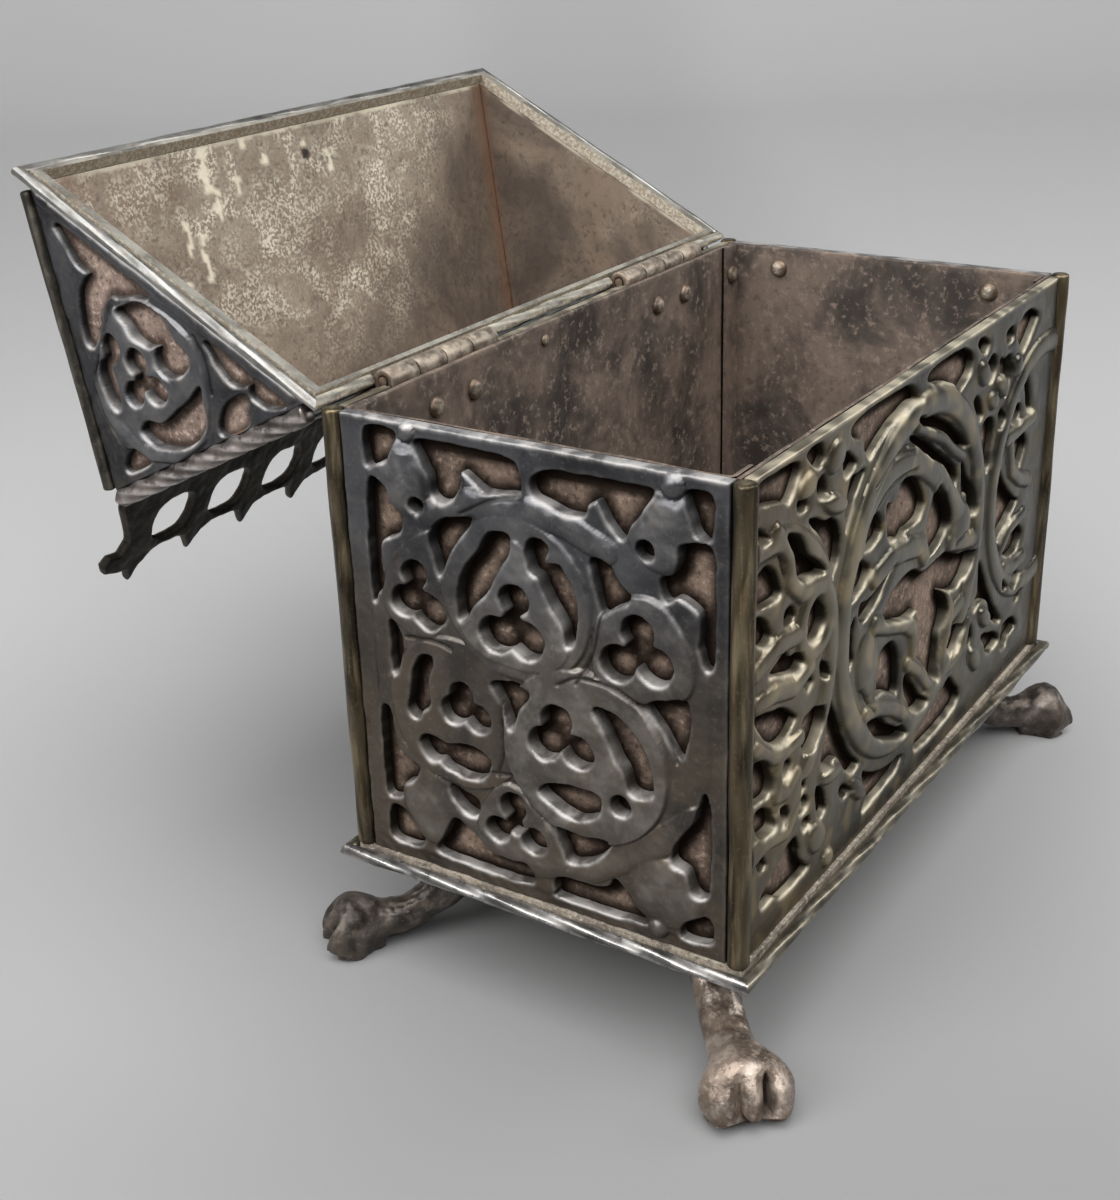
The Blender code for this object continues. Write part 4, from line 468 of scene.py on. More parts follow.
frontHoles = [
    [(-95.3, 116.3), (-86, 116.8), (-77, 116), (-74.5, 114.5), (-75.5, 111.5), (-79.5, 107.8), (-83, 109),
     (-88, 110.3), (-95.3, 112.2)],
    [(-71.5, 116.3), (-64.5, 116.6), (-62, 113), (-64.5, 111), (-68, 112.5)],
    [(-75.5, 106.5), (-71, 105.7), (-70.6, 103.4), (-75, 103.8)],
    [(-65.5, 107.5), (-62.5, 108.5), (-60.5, 105.5), (-61, 103.2), (-64.5, 103.6)],
    [(-95.3, 106.5), (-92, 105.4), (-90.2, 103), (-94.8, 103)],
    [(-82.3, 101), (-77.5, 100), (-74, 97), (-71.3, 93), (-67.5, 90.3), (-64.5, 88.5), (-62, 85.3),
     (-68, 86.3), (-74.5, 87.5), (-77, 91), (-78.8, 95.5)],
    [(-69.5, 100), (-65, 99), (-60.5, 96.8), (-57, 96.2), (-53.5, 93.8), (-51.6, 89), (-52.6, 84),
     (-55.5, 80.8), (-57.5, 81.5), (-57.8, 86), (-60.5, 91), (-65, 95.8)],
    [(-94.8, 95.5), (-90.5, 96.6), (-86, 94.5), (-83, 90), (-82.8, 87), (-88, 87), (-93.5, 88), (-95, 91)],
    [(-95.3, 86), (-91.5, 85), (-88.5, 82.5), (-87, 79), (-90, 77.6), (-93.5, 79.5), (-95, 82)],
    [(-80.5, 82), (-76, 81.7), (-75.4, 78.6), (-80.2, 78.6)],
    [(-69.8, 76.5), (-67, 79.2), (-63.5, 78.8), (-60.5, 75.5), (-60.2, 71.5), (-63, 69.3), (-67, 69),
     (-69.8, 71.5)],
    [(-88, 69.5), (-84, 71.3), (-79.5, 72), (-77.5, 70), (-73, 69.2), (-71, 66), (-74, 64.8), (-79, 66),
     (-84, 68)],
    [(-69.5, 59.8), (-66.5, 60.5), (-64.3, 58), (-67, 56.6)],
    [(-60.8, 61), (-58.5, 60.5), (-57, 56.8), (-59.7, 57)],
    [(-94.8, 62), (-88, 60.5), (-80, 58), (-75.5, 55), (-72.8, 52.3), (-77.5, 49.8), (-82.5, 49.8),
     (-87.5, 53), (-91.5, 57)],
    [(-69.2, 50), (-60, 50), (-59, 46), (-61.5, 42), (-65, 40.3), (-69, 41.5), (-70, 45.5)],
    [(-94.8, 50.5), (-91, 50), (-87, 46.5), (-85.2, 42.5), (-86, 39), (-90, 39), (-94, 40), (-95, 44)],
    [(-94, 37), (-89, 36.6), (-84.8, 33.5), (-84.3, 29.5), (-88.5, 29.3), (-92.5, 31)],
    [(-81.5, 43.5), (-77.5, 44), (-75.2, 41.5), (-77, 39), (-80.7, 40)],
    [(-81.5, 32.2), (-78.5, 32), (-77.6, 28.5), (-80, 26.8), (-82.2, 28.5)],
    [(-71.5, 35), (-68, 33.8), (-67.3, 30.8), (-70.5, 31.2)],
    [(-70.8, 27), (-68, 29), (-65, 27), (-66, 24.5), (-69.5, 24.6)],
    [(-92.3, 24.2), (-89, 23.6), (-87, 20.2), (-90.8, 20.3)],
    [(-90, 12.5), (-84, 15.5), (-79, 17.5), (-76, 19.5), (-71.5, 19.3), (-69.5, 16), (-69, 12.5), (-66, 9),
     (-64, 6.8), (-72, 6.4), (-79, 6.8), (-83, 9), (-89, 9.3)],
    [(-68.5, 21.8), (-64.5, 22), (-63.6, 19), (-67.2, 18.6)],
    [(-61, 27.3), (-57.5, 26.3), (-55, 22.5), (-54.6, 18.3), (-58.5, 17.8), (-60.2, 22)],
    [(-54.8, 47.8), (-52.3, 46), (-49, 40.5), (-45, 33.5), (-40, 26.8), (-34.8, 22), (-38.5, 21),
     (-43, 23.7), (-46.5, 27.7), (-49, 30.3), (-53.5, 30.5), (-57.5, 31.2), (-58.3, 34.5), (-56, 40)],
    [(-52, 109.3), (-49, 109.6), (-44.5, 106.6), (-44.8, 104.8), (-50.5, 104.2)],
    [(-48, 114.8), (-42, 116.6), (-30, 116.8), (-18, 116.4), (-12.5, 115.6), (-8.5, 112.5), (-7.5, 110.9),
     (-13, 111.2), (-22, 109.6), (-30, 107), (-36.5, 104.3), (-39.5, 107), (-41, 110.3), (-45.5, 111.8)],
    [(-47.5, 102.4), (-43, 102.8), (-39.5, 102.4), (-40, 100.6), (-44, 97), (-47, 92.4), (-48.8, 90),
     (-49.4, 92), (-49.3, 97)],
    [(-39.5, 85.5), (-36.5, 88.5), (-31, 89), (-27.8, 86), (-27, 82.7), (-30, 81), (-35, 80.4), (-39.3, 82)],
    [(-46.3, 74.5), (-43.5, 78), (-39.5, 79.3), (-36.5, 77.8), (-33.5, 75), (-35.5, 72), (-40, 70.5),
     (-44.5, 70), (-46.8, 71.8)],
    [(-24.8, 88.3), (-21, 87.6), (-17.5, 88.7), (-16.5, 91), (-12, 92), (-6, 89.5), (-1.5, 85), (0.5, 81),
     (-1.5, 78), (-6, 77), (-10.5, 77.3), (-13, 75.8), (-17, 77.2), (-22.5, 78.7)],
    [(-39.3, 64.5), (-38.5, 67.3), (-34, 66.8), (-29, 67.8), (-24, 69.2), (-19, 70.8), (-22, 67.8),
     (-27, 64.3), (-32.5, 62.4), (-37, 62)],
    [(-45.6, 61), (-42.7, 64.8), (-41.3, 64), (-41.3, 60), (-41.6, 57), (-41.2, 53.5), (-44, 51.8),
     (-45.6, 55)],
    [(-24.3, 57.6), (-20, 62.2), (-12, 64.3), (-4, 63.8), (1.5, 61), (8, 60.6), (14.5, 61), (21, 59.8),
     (27, 57), (33, 55.3), (38.3, 54.3), (37.3, 51), (34, 47.8), (28.5, 46.4), (22, 47.7), (17, 50),
     (20.2, 45.5), (20.3, 41), (17.8, 36), (17, 30), (15.3, 23.8), (11.5, 27), (6, 32.5), (0.5, 37.5),
     (-1.5, 41), (0.8, 46.5), (-0.5, 51), (-5, 51), (-13.6, 53.3)],
    [(-27.3, 44.5), (-25, 48), (-21, 49), (-16.5, 48.3), (-13, 45), (-11.3, 40.5), (-11, 36), (-11.5, 31.5),
     (-15, 33.2), (-20, 35.7), (-26, 36.8), (-25.5, 40)],
    [(-7.3, 33.5), (-4.5, 34.3), (0, 29.5), (4.5, 24.5), (8.5, 20.5), (4, 19.7), (-1, 21.7), (-3.5, 25.5),
     (-6.5, 29.5)],
    [(-31.5, 31.3), (-26, 30.3), (-20.5, 27.8), (-16, 24), (-12, 21.8), (-8, 20.5), (-6, 17.2), (-10, 17.6),
     (-16, 20.2), (-23, 23.2), (-28.5, 27)],
    [(-32.3, 17.8), (-28, 15.6), (-22, 13), (-15, 11.4), (-8, 10.6), (-5, 9.2), (-9, 7), (-18, 6),
     (-27, 5.6), (-31.5, 5.8), (-29, 9.5), (-31, 13.5)],
    [(-46.8, 19.8), (-43.5, 20), (-40.5, 17), (-44, 16)],
    [(-2.5, 114.8), (4, 116.4), (14, 116.6), (24, 115.4), (30, 112), (29, 108), (24, 105.5), (21, 105),
     (17, 107.8), (10, 110.5), (2, 112.2)],
    [(32.8, 114.6), (37, 115.3), (41.5, 113), (40, 110.4), (36, 111.5)],
    [(41, 106), (44.5, 108.5), (48.5, 107), (48.6, 102.8), (45, 100.8), (41.8, 102.5)],
    [(-9.8, 106.5), (-6, 106.3), (-3.5, 104.6), (4, 103), (10, 100.5), (16.5, 97.5), (22, 93.6),
     (26.5, 90.2), (28.4, 87.8), (24.5, 88.9), (18.5, 91.8), (13, 95.8), (8, 98.3), (1, 101), (-5, 103.2)],
    [(-12.5, 102.2), (-7, 101), (0, 97.6), (7, 93.3), (14, 89.3), (20, 85.3), (23.4, 81.8), (22.3, 78.5),
     (19, 80.5), (14.5, 84.5), (9.5, 88.5), (3, 92), (-4, 95.8), (-9, 99.6)],
    [(25.6, 84.3), (28.3, 82.3), (31, 78.5), (34, 75.8), (36.5, 72), (38, 67.8), (36.8, 65.3), (33.8, 66.3),
     (32.3, 69.5), (31, 73.3), (27.5, 75), (26.3, 79.5)],
    [(8, 83.3), (12, 80.3), (16.3, 75), (18.6, 70.5), (17.3, 66.8), (11, 64.3), (5.5, 63.6), (4.5, 66.3),
     (2.5, 70), (4, 76), (6.5, 80)],
    [(20.8, 31.5), (24, 33.5), (27, 35.8), (32, 34.3), (35.8, 34), (36, 31.5), (34, 29), (31, 26.2),
     (27.5, 27.8), (23.5, 27.6)],
    [(39.8, 30), (43, 29), (44.8, 24.7), (43, 22.3), (40.5, 24.5)],
    [(3.3, 10), (8, 12.8), (14, 14.6), (22, 17), (27, 19), (30, 17.3), (34, 13.5), (36.5, 11), (36, 7.5),
     (28, 6), (18, 5.6), (8, 6), (3.3, 7.5)],
    [(46, 47.5), (48.5, 45.5), (52.5, 39.8), (57, 33.5), (61.5, 28), (66.5, 23.5), (69, 20.2), (66, 20.6),
     (61.5, 23.2), (58.8, 26.5), (55, 32), (50, 33.5), (44.8, 32.2), (43.2, 34.5), (46.3, 38), (46.2, 42.5)],
    [(52.5, 21.5), (58, 20.4), (63.5, 18.4), (67.8, 15.8), (68.2, 13.3), (62, 12.6), (57.5, 14.5),
     (55.5, 18)],
    [(71, 17), (75.5, 17.6), (81, 16.3), (84, 12.5), (79.5, 11), (76.5, 8.5), (71.5, 9.5), (70.5, 13)],
    [(55, 112.3), (60.5, 112.5), (61.2, 109.4), (56.5, 108.6)],
    [(63.5, 110.5), (67, 113), (72, 114.2), (78, 113.3), (81.5, 110.5), (78, 107.3), (73.5, 104.3),
     (69.5, 103), (66.5, 106)],
    [(51.3, 105.5), (55, 104.8), (60, 104.5), (62, 100.5), (60.5, 96.5), (57.5, 93.3), (55.8, 96.5),
     (56.5, 100), (52, 101.5)],
    [(53, 89.7), (56.5, 90), (57, 86.8), (53.8, 85.3)],
    [(40.8, 89.8), (44.5, 90.8), (49, 89.3), (50.6, 86), (49.8, 80), (48.5, 75.5), (45.8, 74.5), (44.2, 79),
     (41.6, 83.5), (40, 87)],
    [(32.5, 99), (36, 99.3), (39.5, 95.5), (40.2, 92.8), (37.8, 92), (35.2, 95)],
    [(64.3, 84.5), (67, 87.5), (71.3, 87.3), (72.3, 84.5), (68.5, 82.3)],
    [(74, 93.5), (76, 95), (78.5, 91), (81.3, 84), (79, 83), (76.5, 86)],
    [(67.5, 74.8), (71, 76.8), (77, 76.8), (79.8, 73.5), (79, 70.5), (76, 67.3), (71.5, 68.3), (69.5, 71.5)],
    [(53.8, 67), (57.3, 71.3), (61, 67.8), (66, 63.3), (71.5, 59.3), (76, 56.3), (71, 53.8), (65, 51),
     (60, 48.8), (57, 51.5), (54.3, 55.5), (56, 59), (55.5, 62)],
    [(66.5, 43.3), (70, 46.5), (74, 48), (79, 47.5), (82.5, 44.5), (81.5, 41), (77.5, 39.3), (72, 39.8),
     (68.5, 41.3)],
    [(71.5, 31.3), (76, 32.2), (81.3, 31.2), (78, 27.6), (74.5, 28.3)],
    [(64.6, 35), (67, 33.8), (69.5, 31), (66.6, 31)],
    [(80.3, 24.7), (84.3, 25), (85, 21.6), (81, 21.1)],
]
lidEndHoles = [
    [(-4.1, 43), (-7.9, 43.9), (-12.4, 41.7), (-16, 38.8), (-18.7, 34.9), (-20.3, 30.1), (-20, 25.2),
     (-17.8, 21.5), (-16.5, 18.4), (-15.1, 23.3), (-12.9, 28.6), (-10.8, 33.5), (-8.8, 37.4), (-5.2, 39.4)],
    [(4.1, 42.3), (6.5, 41.7), (9.2, 39.1), (11.5, 36.1), (12.2, 33.3), (11.5, 30.8), (13.3, 27.4),
     (12.6, 24.6), (10.6, 23.9), (8.6, 25.4), (8.1, 28.6), (9.4, 31.8), (7.4, 34.5), (5.4, 37.8)],
    [(-11.8, 14.1), (-10.6, 18.4), (-7.9, 21.3), (-4.8, 21.5), (-2.6, 18.9), (-2.3, 16.1), (0.6, 18),
     (4.2, 18.2), (7.4, 16.7), (11, 15.1), (9, 12.2), (6, 9.1), (2, 7.8), (-2.1, 8.3), (-6.1, 11.1),
     (-9.7, 12)],
    [(-25.4, 26.4), (-28.1, 24.8), (-30.2, 21.5), (-31.1, 18), (-29.7, 14.6), (-28.8, 11.4), (-26.3, 13.6),
     (-24.3, 18), (-23.9, 22.5)],
    [(-38.8, 5.3), (-37.2, 7.7), (-34, 9.6), (-30.8, 10), (-29.4, 8.3), (-30.2, 5.3)],
    [(-27.9, 5.3), (-27, 9.1), (-24.1, 10.6), (-20.9, 9.9), (-17.5, 7.8), (-14.9, 5.3)],
    [(5.6, 5.2), (8.7, 8.3), (11.9, 11.3), (15, 13), (16, 19.4), (15.5, 26.2), (16.2, 30.7), (18.2, 30.8),
     (20.9, 26.2), (23, 19.9), (22.9, 15.1), (22.1, 12.2), (26.3, 11.4), (29.9, 8.9), (32.9, 5.2)],
    [(-7.6, 51.2), (-5.6, 55.4), (-2.9, 58.8), (-1.5, 58.2), (-1.4, 55), (-2.2, 51.8), (-4.7, 50.6)],
]
lidEndFoils = [
    [(0.6, 34.4, 2.9), (-5.2, 28.5, 3.2), (2.4, 24.9, 3.1)],
]


# Catmull-Rom curves from each b to its c, with a before and d after, steps points to a span:
# (2b + (c - a) t + (2a - 5b + 4c - d) t^2 + (3b - a - 3c + d) t^3) / 2
def curvesBetween(a, b, c, d, steps):
    t = (np.arange(steps) / steps)[None, :, None]
    bent = (2 * a - 5 * b + 4 * c - d) * t ** 2
    curve = 0.5 * (2 * b + (c - a) * t + bent + (3 * b - a - 3 * c + d) * t ** 3)
    return curve.reshape(-1, curve.shape[-1])


# Closed curve through the points of an outline
def smoothLoop(loop, steps=6):
    p = np.asarray(loop, float)
    return curvesBetween(*(np.roll(p, k, 0)[:, None] for k in (1, 0, -1, -2)), steps)


# Open curve through the points of a line
def smoothLine(line, steps=8):
    p = np.asarray(line, float)
    p = np.concatenate([2 * p[:1] - p[1:2], p, 2 * p[-1:] - p[-2:-1]])
    curve = curvesBetween(p[:-3, None], p[1:-2, None], p[2:-1, None], p[3:, None], steps)
    return np.concatenate([curve, p[-2:-1]])


def closed(loop):
    return np.concatenate([loop, loop[:1]])


# Distance from points to a line of points
def lineGap(x, y, line):
    p = np.asarray(line, float)
    ax, ay, bx, by = p[:-1, 0][None], p[:-1, 1][None], p[1:, 0][None], p[1:, 1][None]
    px, py = x[:, None], y[:, None]
    dx, dy = bx - ax, by - ay
    t = np.clip(((px - ax) * dx + (py - ay) * dy) / np.maximum(dx * dx + dy * dy, 1e-12), 0.0, 1.0)
    return np.sqrt(((px - ax - t * dx) ** 2 + (py - ay - t * dy) ** 2).min(1))


# Distance from points to the closed outline, positive inside it (crossing count gives the side)
def outlineDepth(x, y, loop):
    far = lineGap(x, y, closed(loop))
    (ax, ay), (bx, by) = loop.T, np.roll(loop, -1, 0).T
    px, py = x[:, None], y[:, None]
    with np.errstate(divide="ignore", invalid="ignore"):
        cross = ((ay > py) != (by > py)) & (px < (bx - ax) * (py - ay) / (by - ay) + ax)
    return np.where(cross.sum(1) % 2 == 1, far, -far)


# Depth of the iron at every grid point: distance to the nearest edge, negative in an opening
def ironDepth(x, y, outline, loops, rounds, foils, reach=7.0):
    depth = outlineDepth(x, y, np.asarray(outline, float))
    depth = np.minimum(depth, reach)
    for loop in loops:
        low, high = loop.min(0) - reach, loop.max(0) + reach
        near = np.nonzero((x > low[0]) & (x < high[0]) & (y > low[1]) & (y < high[1]))[0]
        depth[near] = np.minimum(depth[near], -outlineDepth(x[near], y[near], loop))
    for cx, cy, r in rounds:
        depth = np.minimum(depth, np.hypot(x - cx, y - cy) - r)
    for lobes in foils:  # a foil is the soft union of its lobes and a disc in their middle
        p = np.asarray(lobes, float)
        mid = np.array([[p[:, 0].mean(), p[:, 1].mean(), p[:, 2].mean() * 0.62]])
        gaps = np.stack([np.hypot(x - cx, y - cy) - r for cx, cy, r in np.concatenate([p, mid])])
        depth = np.minimum(depth, -0.45 * np.log(np.exp(-np.clip(gaps, -9, 30) / 0.45).sum(0)))
    return depth


# Cuts a triangle grid along depth 0: whole triangles inside, clipped ones at the edge, and the edge itself;
# the columns of carried go along with the points
def clipGrid(x, y, depth, carried, rows, cols):
    quads = gridQuads(rows, cols)
    tris = np.concatenate([quads[:, [0, 1, 2]], quads[:, [0, 2, 3]]])
    within = depth[tris] > 0
    count = within.sum(1)
    keep = [tris[count == 3]]
    total = len(x)

    def turned(chosen, first):
        k = np.arange(len(chosen))
        return chosen[k, first], chosen[k, (first + 1) % 3], chosen[k, (first + 2) % 3]

    one, two = tris[count == 1], tris[count == 2]
    a1, b1, c1 = turned(one, within[count == 1].argmax(1))
    a2, b2, c2 = turned(two, within[count == 2].argmin(1))
    pairs = np.concatenate([np.stack(ends, 1) for ends in ((a1, b1), (a1, c1), (a2, b2), (a2, c2))])
    keys = pairs.min(1).astype(np.int64) * total + pairs.max(1)
    unique, back = np.unique(keys, return_inverse=True)
    p, q = unique // total, unique % total
    t = np.clip(depth[p] / (depth[p] - depth[q]), 0.04, 0.96)
    newX, newY = x[p] + t * (x[q] - x[p]), y[p] + t * (y[q] - y[p])
    e = back + total
    n1, n2 = len(one), len(two)
    ab1, ac1, ab2, ac2 = e[:n1], e[n1:2 * n1], e[2 * n1:2 * n1 + n2], e[2 * n1 + n2:]
    keep += [np.stack([a1, ab1, ac1], 1), np.stack([ab2, b2, c2], 1), np.stack([ab2, c2, ac2], 1)]
    rim = np.concatenate([np.stack([ab1, ac1], 1), np.stack([ac2, ab2], 1)])
    allTris = np.concatenate(keep)
    used, renumber = np.unique(np.concatenate([allTris.ravel(), rim.ravel()]), return_inverse=True)
    allTris, rim = renumber[:allTris.size].reshape(-1, 3), renumber[allTris.size:].reshape(-1, 2)
    flatX, flatY = np.concatenate([x, newX])[used], np.concatenate([y, newY])[used]
    flatD = np.concatenate([depth, np.zeros(len(newX))])[used]
    flatC = np.concatenate([carried, carried[p] + t[:, None] * (carried[q] - carried[p])])[used]
    return flatX, flatY, flatD, flatC, allTris, rim


# Lifts of the relief over the plate: disc with a soft step, ring and stroke of round section, dome
def lifted(x, y, shapes):
    top = np.zeros_like(x)
    for kind, data, height in shapes:
        if kind == "disc":
            cx, cy, r = data
            lift = height * ease((r - np.hypot(x - cx, y - cy)) / 0.9)
        elif kind == "ring":
            cx, cy, r, half = data
            lift = height * np.sqrt(np.clip(1 - ((np.hypot(x - cx, y - cy) - r) / half) ** 2, 0, 1))
        elif kind == "dome":
            cx, cy, a, b, turn = data
            c, s = math.cos(turn), math.sin(turn)
            u, v = (x - cx) * c + (y - cy) * s, (y - cy) * c - (x - cx) * s
            lift = height * np.sqrt(np.clip(1 - (u / a) ** 2 - (v / b) ** 2, 0, 1))
        elif kind == "stroke":
            line, half = data
            lift = height * np.sqrt(np.clip(1 - (lineGap(x, y, line) / half) ** 2, 0, 1))
        else:  # plate bounded by an outline
            lift = height * ease(outlineDepth(x, y, smoothLoop(data)) / 0.9)
        top = np.maximum(top, lift)
    return top


# A pierced relief: outline and openings in the plane, height from the depth of iron, shapes and cuts
def relief(outline, holes, rounds, foils, recipe):
    p = np.asarray(outline, float)
    cell = recipe["cell"]
    gx = np.arange(p[:, 0].min() - 1.5 * cell, p[:, 0].max() + 2 * cell, cell)
    gy = np.arange(p[:, 1].min() - 1.5 * cell, p[:, 1].max() + 2 * cell, cell)
    x, y = np.meshgrid(gx, gy)
    rows, cols = x.shape
    x, y = x.ravel(), y.ravel()
    depth = ironDepth(x, y, p, [smoothLoop(h) for h in holes], rounds, foils)
    inner = ease(outlineDepth(x, y, p) / 3.0)
    depth = depth + inner * (recipe["shake"] * wobble(x, y, 7.0, recipe["seed"]) - recipe.get("filed", 0.0))
    # Light is taken as falling from the lit direction, for the painted highlights and painted shade worked
    # out below
    lit = recipe.get("lit", (0.0, 1.0))  # direction in the panel that looks up in the photograph
    slopeY, slopeX = np.gradient(depth.reshape(rows, cols), cell)
    facing = -(slopeX * lit[0] + slopeY * lit[1]).ravel()
    raised = lifted(x, y, recipe["shapes"])
    slopeY, slopeX = np.gradient(raised.reshape(rows, cols), cell)
    steep = np.hypot(slopeX, slopeY).ravel()
    tilt = -(slopeX * lit[0] + slopeY * lit[1]).ravel() / np.maximum(steep, 0.05)
    carried = np.stack([facing, raised, steep, tilt], 1)
    x, y, d, carried, tris, rim = clipGrid(x, y, depth, carried, rows, cols)
    facing, raised, steep, tilt = carried.T
    lip = recipe["lip"]
    rounding = lip - np.sqrt(np.clip(lip ** 2 - (lip - np.minimum(d, lip)) ** 2, 0, None))
    plain = recipe.get("plain", lambda u, v: 1.0)(x, y)
    share = np.minimum(d / recipe.get("reach", 3.2), 1.0)
    bow = np.sqrt(np.clip(1 - (1 - share) ** 2, 0, 1))  # round section
    swell = recipe["swell"] * bow * plain + recipe.get("rail", 0.0) * (1 - plain)
    cutGap = np.full_like(x, 9.0)
    for line in recipe.get("cuts", []):
        cutGap = np.minimum(cutGap, lineGap(x, y, smoothLine(line)))
    cut = np.exp(-(cutGap / 0.5) ** 2)
    z = recipe["base"] + raised + swell - rounding - 0.75 * cut
    dents = 0.2 * wobble(x, y, 13.0, recipe["seed"] + 2) + 0.08 * wobble(x, y, 4.5, recipe["seed"] + 5)
    z = z + recipe.get("dents", 1.0) * dents
    # Wear is rubbed edges and raised parts plus painted highlight on edges and slopes facing the light; grime
    # is dirt in the cuts plus painted shade on edges and slopes facing away from it
    up = np.clip(facing, 0, 1)
    steep = ease((steep - 0.25) / 0.7)
    wear_and_highlight = np.exp(-((d - 0.3) / 0.5) ** 2) * (0.08 + 0.92 * up) + 0.3 * np.clip(raised - 0.6, 0, 0.6)
    wear_and_highlight = wear_and_highlight + 0.25 * steep * np.clip(tilt, 0, 1)
    grime_and_shade = np.maximum(cut, np.exp(-(d / 0.3) ** 2) * (1 - up))
    grime_and_shade = np.maximum(grime_and_shade, 0.75 * steep * np.clip(0.35 - tilt, 0, 1))
    return x, y, z, np.clip(wear_and_highlight, 0, 1), np.clip(grime_and_shade, 0, 1), up, tris, rim


# Front face, side walls and flat back of a relief, carried to its origin and its axes along, up and out
def placeRelief(name, made, origin, axes, body, look, node, double=None, turn=None):
    x, y, z, wear_and_highlight, grime_and_shade, up, tris, rim = made
    count = len(x)
    back = np.zeros_like(z) if double is None else double - z
    flat = np.concatenate([np.stack([x, y, z], 1), np.stack([x, y, back], 1)])
    points = np.asarray(origin) + flat @ np.stack(axes)
    if turn:
        points = turn(points)
    sides = np.stack([rim[:, 1], rim[:, 0], rim[:, 0] + count, rim[:, 1] + count], 1)
    faces = [tris, tris[:, ::-1] + count, sides]
    # Side walls and back: painted highlight where the walls face the light, painted shade where they face
    # away
    under = {"wear_and_highlight": 0.7 * up, "grime_and_shade": 1 - 0.9 * up} if double is None else {"wear_and_highlight": wear_and_highlight, "grime_and_shade": grime_and_shade}
    marks = {"wear_and_highlight": np.concatenate([wear_and_highlight, under["wear_and_highlight"]]), "grime_and_shade": np.concatenate([grime_and_shade, under["grime_and_shade"]])}
    put(name, points, faces, body, [look], marks, [node], sharp=55.0)


# Loops of points, or lists of discs, stretched from the field they were drawn on and lifted
def scaled(loops, field, width, height, lift=0.0):
    across, up = field
    return [[(x * width / across, y * height / up + lift, *rest) for x, y, *rest in loop] for loop in loops]


# Carries points that were drawn as seen from one side, on the sheet behind, to the face of the panel:
# x (a + b y) + c + d y across, e + f y + g y y up
def settled(points, settle):
    a, b, c, d, e, f, g = settle
    return [(x * (a + b * y) + c + d * y, e + f * y + g * y * y, *rest) for x, y, *rest in points]


def settledShapes(shapes, settle):
    made = []
    for kind, data, height in shapes:
        if kind == "plate":
            data = settled(data, settle)
        elif kind == "stroke":
            data = (settled(data[0], settle), data[1])
        else:
            data = settled([data], settle)[0]
        made.append((kind, data, height))
    return made


# Moves the side of a loop that faces along the step by that step
def shifted(loop, step):
    p = np.asarray(loop, float)
    before, after = np.roll(p, 1, 0), np.roll(p, -1, 0)
    turn = np.sign((p[:, 0] * after[:, 1] - after[:, 0] * p[:, 1]).sum())
    facing = turn * ((after[:, 1] - before[:, 1]) * step[0] - (after[:, 0] - before[:, 0]) * step[1])
    return p + np.where(facing > 0, 1.0, 0.0)[:, None] * np.asarray(step)


# Least distance between two loops that do not cross
def loopGap(one, other):
    return min(lineGap(*one.T, closed(other)).min(), lineGap(*other.T, closed(one)).min())


# Grows every loop by the step, or by less where too little iron would be left beside it
def grown(loops, discs, step, least=1.7):
    angle = np.arange(8) * math.pi / 4
    made = [np.asarray(loop, float) for loop in loops]
    around = [np.stack([x + r * np.cos(angle), y + r * np.sin(angle)], 1) for x, y, r in discs]
    for k, loop in enumerate(loops):
        others = made[:k] + made[k + 1:] + around
        for share in (1.0, 0.6, 0.3):
            larger = shifted(loop, (step[0] * share, step[1] * share))
            if min(loopGap(larger, other) for other in others) >= least:
                made[k] = larger
                break
    return made


# Pierced panels of the body: u runs to the right and v up as the panel is seen from outside
panelHeight = casket["panelTop"] - casket["wallFoot"]
endWidth = 2 * (postY - casket["postRadius"] - casket["gap"])
longWidth = 2 * (postX - casket["postRadius"] - casket["gap"])
endField, frontField = (103.0, 118.0), (194.1, 118.5)


# Border of flat strips: 0 on the stiles and rails, 1 on the carved field
def fieldOf(left, right, bottom, top):
    def field(u, v):
        inside = np.minimum(np.minimum(u - left, right - u), np.minimum(v - bottom, top - v))
        return ease((inside + 0.6) / 1.6)

    return field


